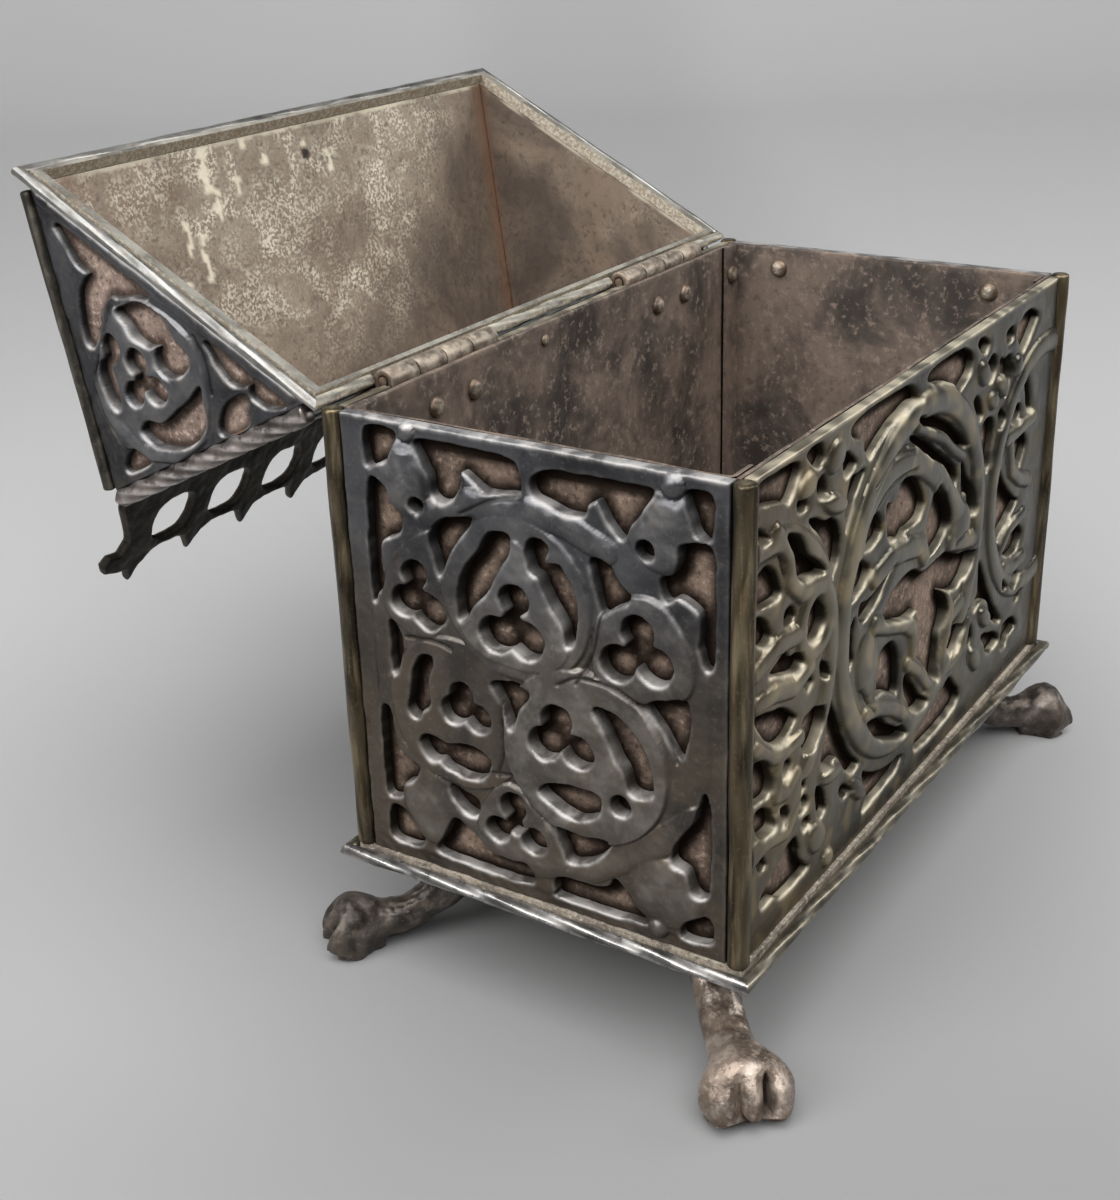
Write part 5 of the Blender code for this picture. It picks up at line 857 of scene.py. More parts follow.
endRelief = {
    "cell": 0.4, "base": 2.5, "lip": 0.32, "swell": 0.75, "rail": 0.3, "reach": 3.6, "shake": 0.16, "seed": 1,
    "settle": (1.041, -0.00059, 0.2, 0.0042, 1.2, 1.0817, -0.0006), "step": (0.0, -1.3), "filed": 0.4,
    "plain": fieldOf(-46.0, 47.5, 3.2, 112.0),
    "shapes": [
        ("disc", (-3.5, 77.0, 21.0), 0.85),
        ("plate", [(-3, 93), (-14, 80), (-20, 68), (-12, 60), (5, 60), (12, 68), (6, 81)], 1.25),
        ("disc", (-21.5, 43.0, 20.5), 0.65), ("disc", (14.0, 41.0, 23.0), 1.25),
        ("plate", [(-27, 90), (-40, 80), (-42, 66), (-30, 60), (-23, 68), (-23, 80)], 0.55),
        ("plate", [(18, 62), (17, 72), (20, 80), (28, 85), (36, 84), (43, 74), (42, 63), (30, 58)], 0.95),
        ("plate", [(-7, 29), (-17, 17), (-10, 9), (6, 9), (9, 15)], 1.0),
        ("stroke", ([(-38, 28), (-25, 18), (-15, 11), (0, 9), (15, 12), (30, 22), (43, 33)], 3.6), 0.9),
        ("stroke", ([(-27, 94), (-16, 99), (-3.5, 100), (9, 99), (21, 94)], 3.4), 0.9),
        ("dome", (-36.5, 101.5, 9.0, 9.5, 0.2), 1.3), ("dome", (36.5, 101.0, 10.0, 9.5, -0.2), 1.5),
        ("dome", (-31.5, 14.0, 7.5, 10.0, 0.5), 1.4), ("dome", (35.0, 12.5, 10.0, 9.5, -0.4), 1.5),
        ("dome", (-33.5, 113.5, 2.3, 2.3, 0.0), 1.6), ("dome", (38.5, 112.7, 2.9, 2.9, 0.0), 1.9),
        ("dome", (32.5, 2.9, 2.8, 2.8, 0.0), 1.8),
    ],
    "cuts": [
        [(27, 84), (20, 79), (18, 70), (13, 60)], [(8, 58.5), (14, 61.5), (24, 60.5), (33, 55.5), (38, 46)],
        [(-36, 60), (-28, 61), (-22, 60)], [(-1.5, 103), (-9, 101), (-18, 96)],
        [(-8, 54), (-9, 46), (-8, 38), (-10, 30)], [(-16, 27), (-12, 30), (-6, 31)],
    ],
}
frontRelief = {
    "cell": 0.48, "base": 1.8, "lip": 0.34, "swell": 0.75, "rail": 0.7, "reach": 2.8, "shake": 0.14,
    "seed": 4, "dents": 0.2,
    "plain": fieldOf(-95.6, 88.5, 4.8, 117.0),
    "shapes": [
        # great ring, the rims of the half medallions beside it, then the beast in it from back to paws
        ("ring", (-5.15, 63.1, 45.1, 3.7), 1.5), ("ring", (-93.0, 64.5, 37.0, 3.4), 1.2),
        ("ring", (88.0, 64.0, 37.0, 3.4), 1.2),
        ("stroke", ([(-43, 84), (-38, 92), (-28, 96), (-15, 97), (-4, 93.5),
                     (6, 87.5), (14, 80), (21, 73)], 4.2), 1.4),
        ("stroke", ([(14, 79), (20.5, 73), (26, 68)], 4.4), 1.5), ("dome", (26.0, 66.0, 7.6, 6.4, -0.4), 1.9),
        ("stroke", ([(20, 63), (28, 60.5), (36, 58.5), (41, 57)], 2.8), 1.3),
        ("stroke", ([(-31, 72), (-22, 73.5), (-12, 72.5), (-2, 70), (1, 66)], 3.2), 1.3),
        ("stroke", ([(-30, 58.5), (-20, 54.5), (-10, 51), (-4, 47), (-3, 40)], 2.6), 1.2),
        ("dome", (-34.0, 49.0, 6.5, 10.0, 0.3), 1.3),
        ("stroke", ([(-34, 35), (-25, 33), (-16, 29), (-9, 24.5), (-3, 19)], 2.2), 1.2),
        ("stroke", ([(19, 48), (22.4, 42), (21, 35), (19, 27)], 2.4), 1.2),
        ("stroke", ([(-7, 38), (0, 33.5), (8, 26), (15, 20.5)], 2.0), 1.1),
        ("stroke", ([(23, 40), (30, 41), (38, 39)], 3.0), 1.1),
        ("stroke", ([(20, 24), (28, 23.5), (35, 25.5), (38, 32)], 2.0), 1.0),
        ("stroke", ([(-9, 104), (0, 99.8), (9, 95.8), (17, 90.3), (24, 86.5)], 1.7), 1.3),
        # bands of the left medallion, then of the right one
        ("ring", (-65.0, 74.2, 7.9, 2.4), 1.1),
        ("stroke", ([(-87, 103), (-80, 96), (-79, 89), (-73, 84), (-63, 83)], 2.6), 1.2),
        ("stroke", ([(-95, 73.5), (-86, 76), (-79, 75), (-72, 74)], 2.6), 1.1),
        ("stroke", ([(-95, 65.5), (-86, 64.5), (-76, 61.5), (-68, 63.5)], 2.4), 1.2),
        ("stroke", ([(-95, 54.5), (-88, 48.8), (-80, 46.8), (-72, 47)], 2.2), 1.2),
        ("stroke", ([(-83, 45), (-83.5, 37), (-78, 35.5), (-73.5, 38)], 2.2), 1.1),
        ("stroke", ([(-94, 27.5), (-86, 26.5), (-78, 24.5), (-73, 29)], 2.0), 1.1),
        ("stroke", ([(60, 80), (70, 80), (82, 80.5)], 2.4), 1.2),
        ("stroke", ([(63, 78), (66, 69), (74, 64), (82, 61)], 2.4), 1.2),
        ("stroke", ([(62, 46), (68, 50), (80, 51)], 2.2), 1.1),
        ("stroke", ([(66, 38), (74, 35.8), (83, 36)], 2.4), 1.1),
        # leaves of the sprigs in the corners
        ("dome", (-72.0, 109.0, 4.4, 3.2, 0.3), 1.4), ("dome", (-57.0, 100.0, 7.0, 2.6, -0.35), 1.6),
        ("dome", (-57.5, 111.5, 5.0, 4.0, 0.2), 1.4), ("dome", (-54.0, 28.0, 6.0, 2.2, -0.15), 1.5),
        ("dome", (-61.0, 14.0, 5.4, 4.2, -0.6), 1.5), ("dome", (-37.0, 15.5, 6.0, 2.6, -0.7), 1.5),
        ("dome", (37.0, 105.5, 5.0, 3.2, -0.6), 1.5), ("dome", (53.0, 97.5, 5.6, 2.8, -0.5), 1.6),
        ("dome", (46.0, 95.5, 4.2, 2.6, -0.4), 1.4), ("dome", (64.0, 100.5, 4.0, 3.0, 0.3), 1.3),
        ("dome", (52.0, 28.0, 5.6, 2.8, -0.6), 1.5), ("dome", (46.0, 17.0, 6.0, 3.2, -0.7), 1.5),
        ("dome", (-54.0, 4.4, 3.0, 2.6, 0.0), 1.4),
    ],
    "cuts": [
        [(-40, 84), (-33, 92), (-22, 94.5), (-10, 93.5)], [(-36, 97), (-24, 101), (-10, 98.5)],
        [(22, 62), (27, 63.3), (33, 61.5)], [(-38, 44), (-33, 39), (-29, 34)],
        [(-96, 99), (-86, 98), (-82, 92)],
    ],
}


def rectangle(width, height):
    return [(-width / 2, 0.0), (width / 2, 0.0), (width / 2, height), (-width / 2, height)]


endRelief["shapes"] = settledShapes(endRelief["shapes"], endRelief["settle"])
endRelief["cuts"] = [settled(line, endRelief["settle"]) for line in endRelief["cuts"]]
endDots = settled(endRounds, endRelief["settle"])
endTrefoils = [settled(lobes, endRelief["settle"]) for lobes in endFoils]
endLoops = grown([settled(loop, endRelief["settle"]) for loop in endHoles],
                 endDots + [lobe for lobes in endTrefoils for lobe in lobes], endRelief["step"])
endLoops = scaled(endLoops, endField, endWidth, panelHeight)
endDots = scaled([endDots], endField, endWidth, panelHeight)[0]
endTrefoils = scaled(endTrefoils, endField, endWidth, panelHeight)
longLoops = scaled(frontHoles, frontField, longWidth, panelHeight)
endMade = relief(rectangle(endWidth, panelHeight), endLoops, endDots, endTrefoils, endRelief)
longMade = relief(rectangle(longWidth, panelHeight), longLoops, [], [], frontRelief)
hinge = {
    "radius": 3.0, "pin": 1.2, "leaf": 1.2, "length": 46.0, "centre": 56.0, "drop": 14.0, "gap": 0.3,
    "knuckles": 4,
}
notch = casket["wallTop"] - hinge["drop"] - hinge["gap"] - casket["wallFoot"]
backOutline = rectangle(longWidth, panelHeight)[:3]
for middle in (hinge["centre"], -hinge["centre"]):
    half = hinge["length"] / 2 + hinge["gap"]
    right, left = middle + half, middle - half
    backOutline += [(right, panelHeight), (right, notch), (left, notch), (left, panelHeight)]
backOutline.append((-longWidth / 2, panelHeight))
backLoops = [loop for loop in longLoops if max(p[1] for p in loop) < notch - 6.0]
backMade = relief(backOutline, backLoops, [], [], dict(frontRelief, seed=9))
outX, outY = casket["halfLength"] + casket["seat"], casket["halfDepth"] + casket["seat"]
footZ = casket["wallFoot"]
for name, made, origin, along, out, look in (
    ("left", endMade, (-outX, 0, footZ), -axisY, -axisX, gunmetal),
    ("right", endMade, (outX, 0, footZ), axisY, axisX, gunmetal),
    ("front", longMade, (0, -outY, footZ), axisX, -axisY, pewter),
    ("back", backMade, (0, outY, footZ), -axisX, axisY, pewter),
):
    placeRelief("tracery_" + name, made, origin, (along, axisZ, out), "casket", look, "panel_" + name)
print("tracery of the body ready")


# Lid panels: two slopes with roundels of foils, two triangular ends, drawn with the lid shut
lidField, slopeField = (89.0, 68.6), (189.0, 79.0)
sheetTop = (sheetY - casket["fit"] - casket["lidSheet"] * rise) / run
panelTop = (lidY - 1.5 - casket["fit"] - casket["lidPanel"] * rise) / run
panelFoot = (casket["fit"] + casket["lidPanel"] * run) / rise
leanRate, endRise = math.tan(lean), math.cos(lean)


# Directions of a slope of the shut lid: along it, up it and outwards
def slopeAxes(side):
    return -side * axisX, np.array([0, -side * run, rise]), np.array([0, side * rise, run])


# The same for an end of the lid
def endAxes(side):
    up, out = np.array([-side * math.sin(lean), 0, endRise]), np.array([side * endRise, 0, math.sin(lean)])
    return side * axisY, up, out


def slopeOutline(x0, inset, footV, topV):
    low, high = x0 - leanRate * footV * rise - inset, x0 - leanRate * topV * rise - inset
    return [(-low, footV), (low, footV), (high, topV), (-high, topV)]


slopeRelief = {
    "cell": 0.62, "base": 1.1, "lip": 0.4, "swell": 0.8, "shake": 0.12, "seed": 6,
    "roundels": (-62.0, 0.0, 62.0), "level": 40.0, "foilRing": 14.0, "lobeOut": 4.6, "lobe": 3.4,
    "dropRing": 20.5, "drop": [(4.0, 0.0), (0.0, 3.4), (-7.0, 0.0), (0.0, -3.4)],
    "fans": (-31.0, 31.0), "fan": [(-13, 0.0), (0, 0.2), (13, 0.0), (3, 1.0), (-3, 1.0)],
}
slopeRelief["shapes"] = [
    shape for m in slopeRelief["roundels"] for shape in (
        ("ring", (m, slopeRelief["level"], 28.0, 3.0), 0.8),
        ("dome", (m, slopeRelief["level"], 6.0, 6.0, 0.0), 0.9))
]


# Four trefoils and four drops in each roundel, and fans above and below between the roundels
def slopeOpenings(design):
    foils, drops = [], []
    for middle in design["roundels"]:
        for k in range(4):
            a = math.radians(45 + 90 * k)
            ring, out = design["foilRing"], design["lobeOut"]
            x, y = middle + ring * math.cos(a), design["level"] + ring * math.sin(a)
            foils.append([(x + out * math.cos(a + t), y + out * math.sin(a + t), design["lobe"])
                          for t in (0.0, 2.1, 4.2)])
            a = math.radians(90 * k)
            c, s = math.cos(a), math.sin(a)
            x, y = middle + design["dropRing"] * c, design["level"] + design["dropRing"] * s
            drops.append([(x + u * c - v * s, y + u * s + v * c) for u, v in design["drop"]])
    for middle in design["fans"]:
        for level, tip in ((70.0, -12.0), (10.0, 12.0)):
            drops.append([(middle + u, level + v * tip) for u, v in design["fan"]])
    return drops, foils


slopeEdge = slopeOutline(sheetX, hipCut, panelFoot, panelTop)
width, height = slopeEdge[1][0] - slopeEdge[0][0], slopeEdge[2][1] - slopeEdge[1][1]
drops, foils = (scaled(made, slopeField, width, height, panelFoot) for made in slopeOpenings(slopeRelief))
slopeMade = relief(slopeEdge, drops, [], foils, slopeRelief)
for side, name in frontBack:
    axes = slopeAxes(side)
    origin = np.array([0, casket["lidShift"] + side * lidY, casket["rimTop"]]) - axes[2] * casket["lidPanel"]
    placeRelief("lid_tracery_" + name, slopeMade, origin, axes, "lid", gunmetal, "lid_panel_" + name,
                turn=opened)

edge = sheetY - hipCut / rise
endTop = sheetTop * rise - 2 * casket["fit"]
low, high = edge - 0.2 / math.tan(slope), edge - endTop / math.tan(slope)
endEdge = [(-low, 0.2), (low, 0.2), (high, endTop), (-high, endTop)]
lidEndRelief = {
    "cell": 0.4, "base": 1.5, "lip": 0.4, "swell": 0.8, "shake": 0.12, "seed": 8, "lit": (0.46, -0.89),
    "filed": 0.45,
    "shapes": [
        ("plate", [(-24, 32), (-20, 39), (-15, 44.5), (-9, 49), (-2.5, 50.5), (4, 48.5), (9, 45), (14, 39),
                   (15, 32), (15, 20), (12.8, 13), (8, 7.5), (-1, 5.5), (-12, 6.5), (-18, 11.5), (-22, 17.5),
                   (-24, 24)], 0.9),
        ("stroke", ([(-21.5, 30), (-16, 41), (-6, 47), (4, 45), (12, 38)], 3.0), 1.2),
        ("stroke", ([(-13, 24), (-5, 23.5), (4, 21), (12, 17)], 3.2), 1.2),
        ("stroke", ([(-43, 1), (43, 1)], 3.0), 0.7),
    ],
    "cuts": [[(-22, 17), (-18, 11), (-12, 6)], [(15, 31), (14, 40), (8, 46.5), (-2, 51.5)]],
}
lidLoops = scaled(lidEndHoles, lidField, 2 * low, endTop)
lidTrefoils = scaled(lidEndFoils, lidField, 2 * low, endTop)
lidEndMade = relief(endEdge, lidLoops, [], lidTrefoils, lidEndRelief)
for side, name in leftRight:
    axes = endAxes(side)
    origin = np.array([side * lidX, casket["lidShift"], casket["rimTop"]]) - axes[2] * casket["lidPanel"]
    placeRelief("lid_tracery_" + name, lidEndMade, origin, axes, "lid", gunmetal, "lid_panel_" + name,
                turn=opened)
print("tracery of the lid ready")

# Cresting: a rounded plate pierced with seven arches, spurs between them and a finial at each end
crest = {
    "thick": 3.0, "holeLow": 78.4, "holeHigh": 93.4, "holeWidth": 14.8, "bandTop": 97.5, "spur": 6.5,
    "finial": 8.8, "arches": 7, "pitch": 23.4,
}
crestFoot = sheetTop * rise + casket["fit"]
crestHalf = sheetX - leanRate * crestFoot - hipRadius
middle, band = (crest["holeLow"] + crest["holeHigh"]) / 2, crest["bandTop"]
arches = [(k - (crest["arches"] - 1) / 2) * crest["pitch"] for k in range(crest["arches"])]
angle = np.arange(28) * 2 * math.pi / 28
wide, tall = crest["holeWidth"] / 2, (crest["holeHigh"] - crest["holeLow"]) / 2
# The holes are squarer than circles: sign(v) |v|^0.7 of cosine and sine
across, upward = (np.sign(v) * np.abs(v) ** 0.7 for v in (np.cos(angle), np.sin(angle)))
crestHoles = [np.stack([a + wide * across, middle + tall * upward], 1) for a in arches]
spur = [
    (-7.5, -1.4), (-3.6, 0.0), (-1.2, 0.7 * crest["spur"]), (0.0, crest["spur"]),
    (1.2, 0.7 * crest["spur"]), (3.6, 0.0), (7.5, -1.4),
]
top = [(a + crest["pitch"] / 2 + dx, band + dz) for a in arches[:-1] for dx, dz in spur]
lastArch, endX = arches[-1], arches[-1] + crest["holeWidth"] / 2
finial = [
    (lastArch + 2.0, band - 1.6), (endX - 2.0, band - 0.4), (endX + 2.2, band + 3.4),
    (endX + 4.6, band + crest["finial"]), (endX + 6.6, band + 3.4), (endX + 12.0, band + 2.4),
    (endX + 15.6, band + 1.0), (endX + 17.2, band - 2.2), (endX + 15.0, band - 5.0),
    (endX + 11.0, band - 4.4),
    (endX + 9.2, crest["holeHigh"] - 4.0), (endX + 10.4, middle), (crestHalf, crest["holeLow"] - 3.5),
    (crestHalf, crestFoot),
]
outline = [(-x, z) for x, z in reversed(finial)] + top + finial
crestRelief = {"cell": 0.5, "base": 2.85, "lip": 1.1, "swell": 0.25, "shake": 0.18, "seed": 11, "shapes": []}
crestMade = relief(outline, crestHoles, [], [], crestRelief)
origin = (0, casket["lidShift"] + crest["thick"] / 2, casket["rimTop"])
placeRelief("crest_plate", crestMade, origin, (axisX, axisZ, -axisY), "lid", crestIron, "ridge_crest",
            double=crest["thick"], turn=opened)
print("cresting ready")


# Rounded square of half side 1: r = (|cos|^p + |sin|^p)^(-1/p)
def squareRadius(angle, power):
    return (np.abs(np.cos(angle)) ** power + np.abs(np.sin(angle)) ** power) ** (-1 / power)


# Twisted square bar: a rounded square turned evenly along its length. At a mitred end the points slide along
# the bar by their distance q outwards.
def twistBar(name, start, end, recipe, body, look, node, seed, turn=None, out=axisZ, mitre=(0, 0)):
    start, end = np.asarray(start, float), np.asarray(end, float)
    along = end - start
    length = np.linalg.norm(along)
    along = along / length
    first = np.cross(along, axisZ if abs(along[2]) < 0.9 else axisY)
    first = first / np.linalg.norm(first)
    second = np.cross(along, first)
    tip = np.array([0.0, 0.15, 0.4, 0.8])
    s = np.concatenate([tip, np.linspace(1.3, length - 1.3, int(length / 0.9)), length - tip[::-1]])[:, None]
    theta = (np.arange(28) * 2 * math.pi / 28)[None, :]
    side = recipe["side"]
    r = side / 2 * squareRadius(theta, recipe["power"])
    blunt = np.minimum(1.0, np.minimum(s / 0.8 + mitre[0], (length - s) / 0.8 + mitre[1]))
    r = r * (0.55 + 0.45 * np.sqrt(np.clip(1 - (1 - blunt) ** 2, 0, 1)))
    r = r * (1 + recipe.get("dents", 0.035) * wobble(s, theta * 2.0, 16.0, seed))
    a = theta + 2 * math.pi * s / recipe["turn"] + 0.16 * wobble(s, 0 * s, 34.0, seed + 3)
    sway = recipe.get("sway", 0.16) * wobble(s, 0 * s, 48.0, seed + 5)
    offset = (r * np.cos(a) + sway)[..., None] * first + (r * np.sin(a))[..., None] * second
    q = offset @ np.asarray(out, float)
    slid = s + q * (mitre[1] * s - mitre[0] * (length - s)) / length
    points, faces = ringBody(start + slid[..., None] * along + offset)
    corner = np.clip((r / side - 0.5) / 0.1, 0, 1)
    marks = ringMarks(corner, 0.25 * (1 - corner), [0.5, 0.5])
    put(name, turn(points) if turn else points, faces, body, [look], marks, [node], sharp=60.0)


baseBar = {"side": 3.0, "turn": 88.0, "power": 4.5, "radius": 2.7 / math.sqrt(2)}
barX, barY = baseX + 0.1 + baseBar["radius"], baseY + 0.1 + baseBar["radius"]
barZ = 2.7 - baseBar["radius"]
for side, name in frontBack:
    ends = (-barX, side * barY, barZ), (barX, side * barY, barZ)
    twistBar("base_twist_" + name, *ends, baseBar, "casket", barOlive, "base_bar_" + name, 2 + side,
             out=side * axisY, mitre=(1, 1))
for side, name in leftRight:
    ends = (side * barX, -barY, barZ), (side * barX, barY, barZ)
    twistBar("base_twist_" + name, *ends, baseBar, "casket", barIron, "base_bar_" + name, 5 + side,
             out=side * axisX, mitre=(1, 1))

rimBar = {"side": 2.8, "turn": 110.0, "power": 2.8}
backBar = {"side": 2.7, "turn": 60.0, "power": 3.2, "dents": 0.09, "sway": 0.25}
ropeX, ropeY = rimHalfLength - ropeRadius, rimHalfDepth - ropeRadius
ropeZ = casket["rimBottom"] + ropeRadius
ropeFront, ropeBack = casket["lidShift"] - ropeY, casket["lidShift"] + ropeY
stop = hinge["centre"] - hinge["length"] / 2 - hinge["gap"]
resume = hinge["centre"] + hinge["length"] / 2 + hinge["gap"]
rimRuns = [
    ("front", (-ropeX, ropeFront), (ropeX, ropeFront), -axisY, (1, 1)),
    ("left", (-ropeX, ropeFront), (-ropeX, ropeBack), -axisX, (1, 1)),
    ("right", (ropeX, ropeFront), (ropeX, ropeBack), axisX, (1, 1)),
    ("back_left", (-ropeX, ropeBack), (-resume, ropeBack), axisY, (1, 0)),
    ("back_middle", (-stop, ropeBack), (stop, ropeBack), axisY, (0, 0)),
    ("back_right", (resume, ropeBack), (ropeX, ropeBack), axisY, (0, 1)),
]
for k, (name, a, b, out, mitre) in enumerate(rimRuns):
    recipe, look = (backBar, rimPlate) if "back" in name else (rimBar, rimIron)
    twistBar("rim_twist_" + name, (*a, ropeZ), (*b, ropeZ), recipe, "lid", look, "rim_bar_" + name, 20 + k,
             opened, out, mitre)

frontHip = {"side": 3.2, "turn": 400.0, "power": 3.0}
backHip = {"side": 4.3, "turn": 34.0, "power": 5.0}
hipTop = (sheetY + hipOut * rise - hipRadius - casket["fit"]) * math.tan(slope)
hipLow = 2 * ropeRadius - (casket["rimTop"] - casket["rimBottom"]) + hipRadius + casket["fit"]


def hipPoint(sx, sy, level):
    x = sheetX - leanRate * level + hipOut * endRise
    y = sheetY - level / math.tan(slope) + hipOut * rise
    z = casket["rimTop"] + level + hipOut * (run + math.sin(lean))
    return sx * x, casket["lidShift"] + sy * y, z


# The front hips take the blackened finish: partly their own dark colour, partly painted shade for the
# shadowed side they show
for sx, sy, name in fourCorners:
    recipe, look = (frontHip, crestIron) if sy < 0 else (backHip, ropeIron)
    twistBar("hip_twist_" + name, hipPoint(sx, sy, hipLow), hipPoint(sx, sy, hipTop), recipe, "lid", look,
             "hip_bar_" + name, 30 + sx + 2 * sy, opened)
print("twisted bars ready")

# Corner posts: round bars beaten slightly square, r(angle, height) with soft dents
post = {"rings": 110, "around": 36, "height": 118.7, "power": 2.5, "fit": 0.955, "blunt": 0.8}
tip = np.array([0.0, 0.2, 0.6])
z = np.concatenate([tip, np.linspace(1.2, 117.5, post["rings"]), [118.1, 118.5, post["height"]]])[:, None]
theta = (np.arange(post["around"]) * 2 * math.pi / post["around"])[None, :]
near = np.minimum(np.minimum(z, post["height"] - z) / post["blunt"], 1)
blunt = 0.8 + 0.2 * np.sqrt(np.clip(1 - (1 - near) ** 2, 0, 1))
for k, (sx, sy, name) in enumerate(fourCorners):
    r = casket["postRadius"] * squareRadius(theta + 0.3 * k + z * 0.004, post["power"]) * post["fit"]
    r = r * (1 + 0.028 * wobble(z, theta * 4, 26.0, 40 + k)) * blunt
    sway = 0.12 * wobble(z, 0 * z, 60.0, 50 + k)
    x, y = sx * postX + r * np.cos(theta) + sway, sy * postY + r * np.sin(theta) - sway
    points, faces = ringBody(np.stack([x, y, footZ + z + 0 * r], -1))
    wear_and_highlight = np.clip(0.35 + 0.9 * wobble(z * 0.4, theta * 5, 9.0, 60 + k), 0, 1) * 0.6
    marks = ringMarks(wear_and_highlight, (ease((4.0 - z) / 4.0) + 0 * r) * 0.7, [1, 1])
    put("post_rod_" + name, points, faces, "casket", [postIron], marks, ["post_" + name],
        sharp=60.0)
print("posts ready")

# Paw feet: sections along the leg (reach, level, half width, half depth) joined by smooth curves. Three toes:
# with u running 0 to 1 over each, bump = sqrt(1 - (2u - 1)^2) rounds its tip and its back towards the end
paw = {
    "sections": [
        (-9.0, -0.2, 6.2, 8.5), (-7.0, -7.0, 6.0, 7.4), (-2.0, -14.0, 5.8, 6.2), (6.0, -19.0, 5.7, 5.2),
        (14.0, -21.4, 5.8, 5.0), (21.0, -21.8, 6.4, 5.6), (26.5, -21.6, 8.6, 7.4), (31.5, -22.2, 11.0, 8.4),
        (36.0, -24.0, 11.4, 6.8), (38.6, -25.8, 11.0, 4.8), (40.2, -27.4, 10.0, 2.8),
    ],
    "height": 29.5, "inset": 14.0, "sole": 1.5, "rows": 12, "around": 108, "toeStart": 32.5, "toeEnd": 38.8,
    "notch": 9.5, "groove": 0.4,
    "stretch": {"front_left": 0.9, "front_right": 0.8, "back_left": 0.76, "back_right": 0.8},
    "breadth": {"front_left": 1.0, "front_right": 0.8, "back_left": 0.8, "back_right": 0.8},
    "turn": {"front_left": -3.0},
    "claw": {"front_left": 0.0, "front_right": 1.0, "back_left": 0.5, "back_right": 0.7},
}


def pawRings(name, seed):
    line = smoothLine(paw["sections"], paw["rows"])
    slopeOf = np.gradient(line[:, :2], axis=0)
    slopeOf = slopeOf / np.linalg.norm(slopeOf, axis=1)[:, None]
    root = ease(np.arange(len(line)) / paw["rows"])[:, None]
    slopeOf = slopeOf * root + np.array([0.0, -1.0]) * (1 - root)
    s, level, wide, deep = (line[:, k][:, None] for k in range(4))
    angle = (np.arange(paw["around"]) * 2 * math.pi / paw["around"])[None, :]
    w, h = np.cos(angle), np.sin(angle)
    u = np.where(w < -0.25, (w + 1) / 0.75, np.where(w < 0.34, (w + 0.25) / 0.59, (w - 0.34) / 0.66))
    bump = np.sqrt(1 - (2 * u - 1) ** 2)
    claw = paw["claw"][name]
    bump = (1 - claw) * bump + claw * (1 - np.abs(2 * u - 1))  # a claw narrows evenly to a point
    ending = ease((s - paw["toeStart"]) / (paw["toeEnd"] - paw["toeStart"]))
    deepness = np.where(np.abs(w) > 0.75, 0.55, np.where(w < 0.0, 0.7, 1.25))  # most right of the middle
    dip = ending * (1 - bump) * deepness
    below = np.where(s > 20.0, paw["sole"], 1.0)
    h = np.where(h > 0, h * (1 - paw["groove"] * dip), h * below)
    reach = s - slopeOf[:, 1:] * deep * h - (paw["notch"] + 2.5 * claw) * dip
    reach = np.where(reach > 0, reach * paw["stretch"][name], reach)
    z = level + slopeOf[:, :1] * deep * h + 0.25 * wobble(s, angle * 5, 9.0, seed)
    z = z + 0.15 * wobble(s, angle * 7, 4.0, seed + 2)
    z = np.maximum(z, -paw["height"])
    z[0] = level[0]
    across = wide * paw["breadth"][name] * w * (1 + 0.03 * wobble(s, angle * 3, 12.0, seed + 1))
    return reach, across + 0 * reach, z, dip


for k, (sx, sy, name) in enumerate(fourCorners):
    reach, across, z, dip = pawRings(name, 70 + k)
    heading = math.atan2(sy, sx) + math.radians(paw["turn"].get(name, 0.0))
    x = sx * (baseX - paw["inset"]) + reach * math.cos(heading) - across * math.sin(heading)
    y = sy * (baseY - paw["inset"]) + reach * math.sin(heading) + across * math.cos(heading)
    points, faces = ringBody(np.stack([x, y, z], -1))
    wear_and_highlight = np.clip(0.25 + 0.8 * wobble(x, y + z, 11.0, 80 + k), 0, 1) * 0.7
    marks = ringMarks(wear_and_highlight, np.clip(dip * 1.3 - 0.5, 0, 0.9), [0, 0])
    look = footDark if name in ("front_right", "back_left") else footIron
    put("paw_" + name, points, faces, "casket", [look], marks, ["foot_" + name], sharp=70.0)
print("feet ready")


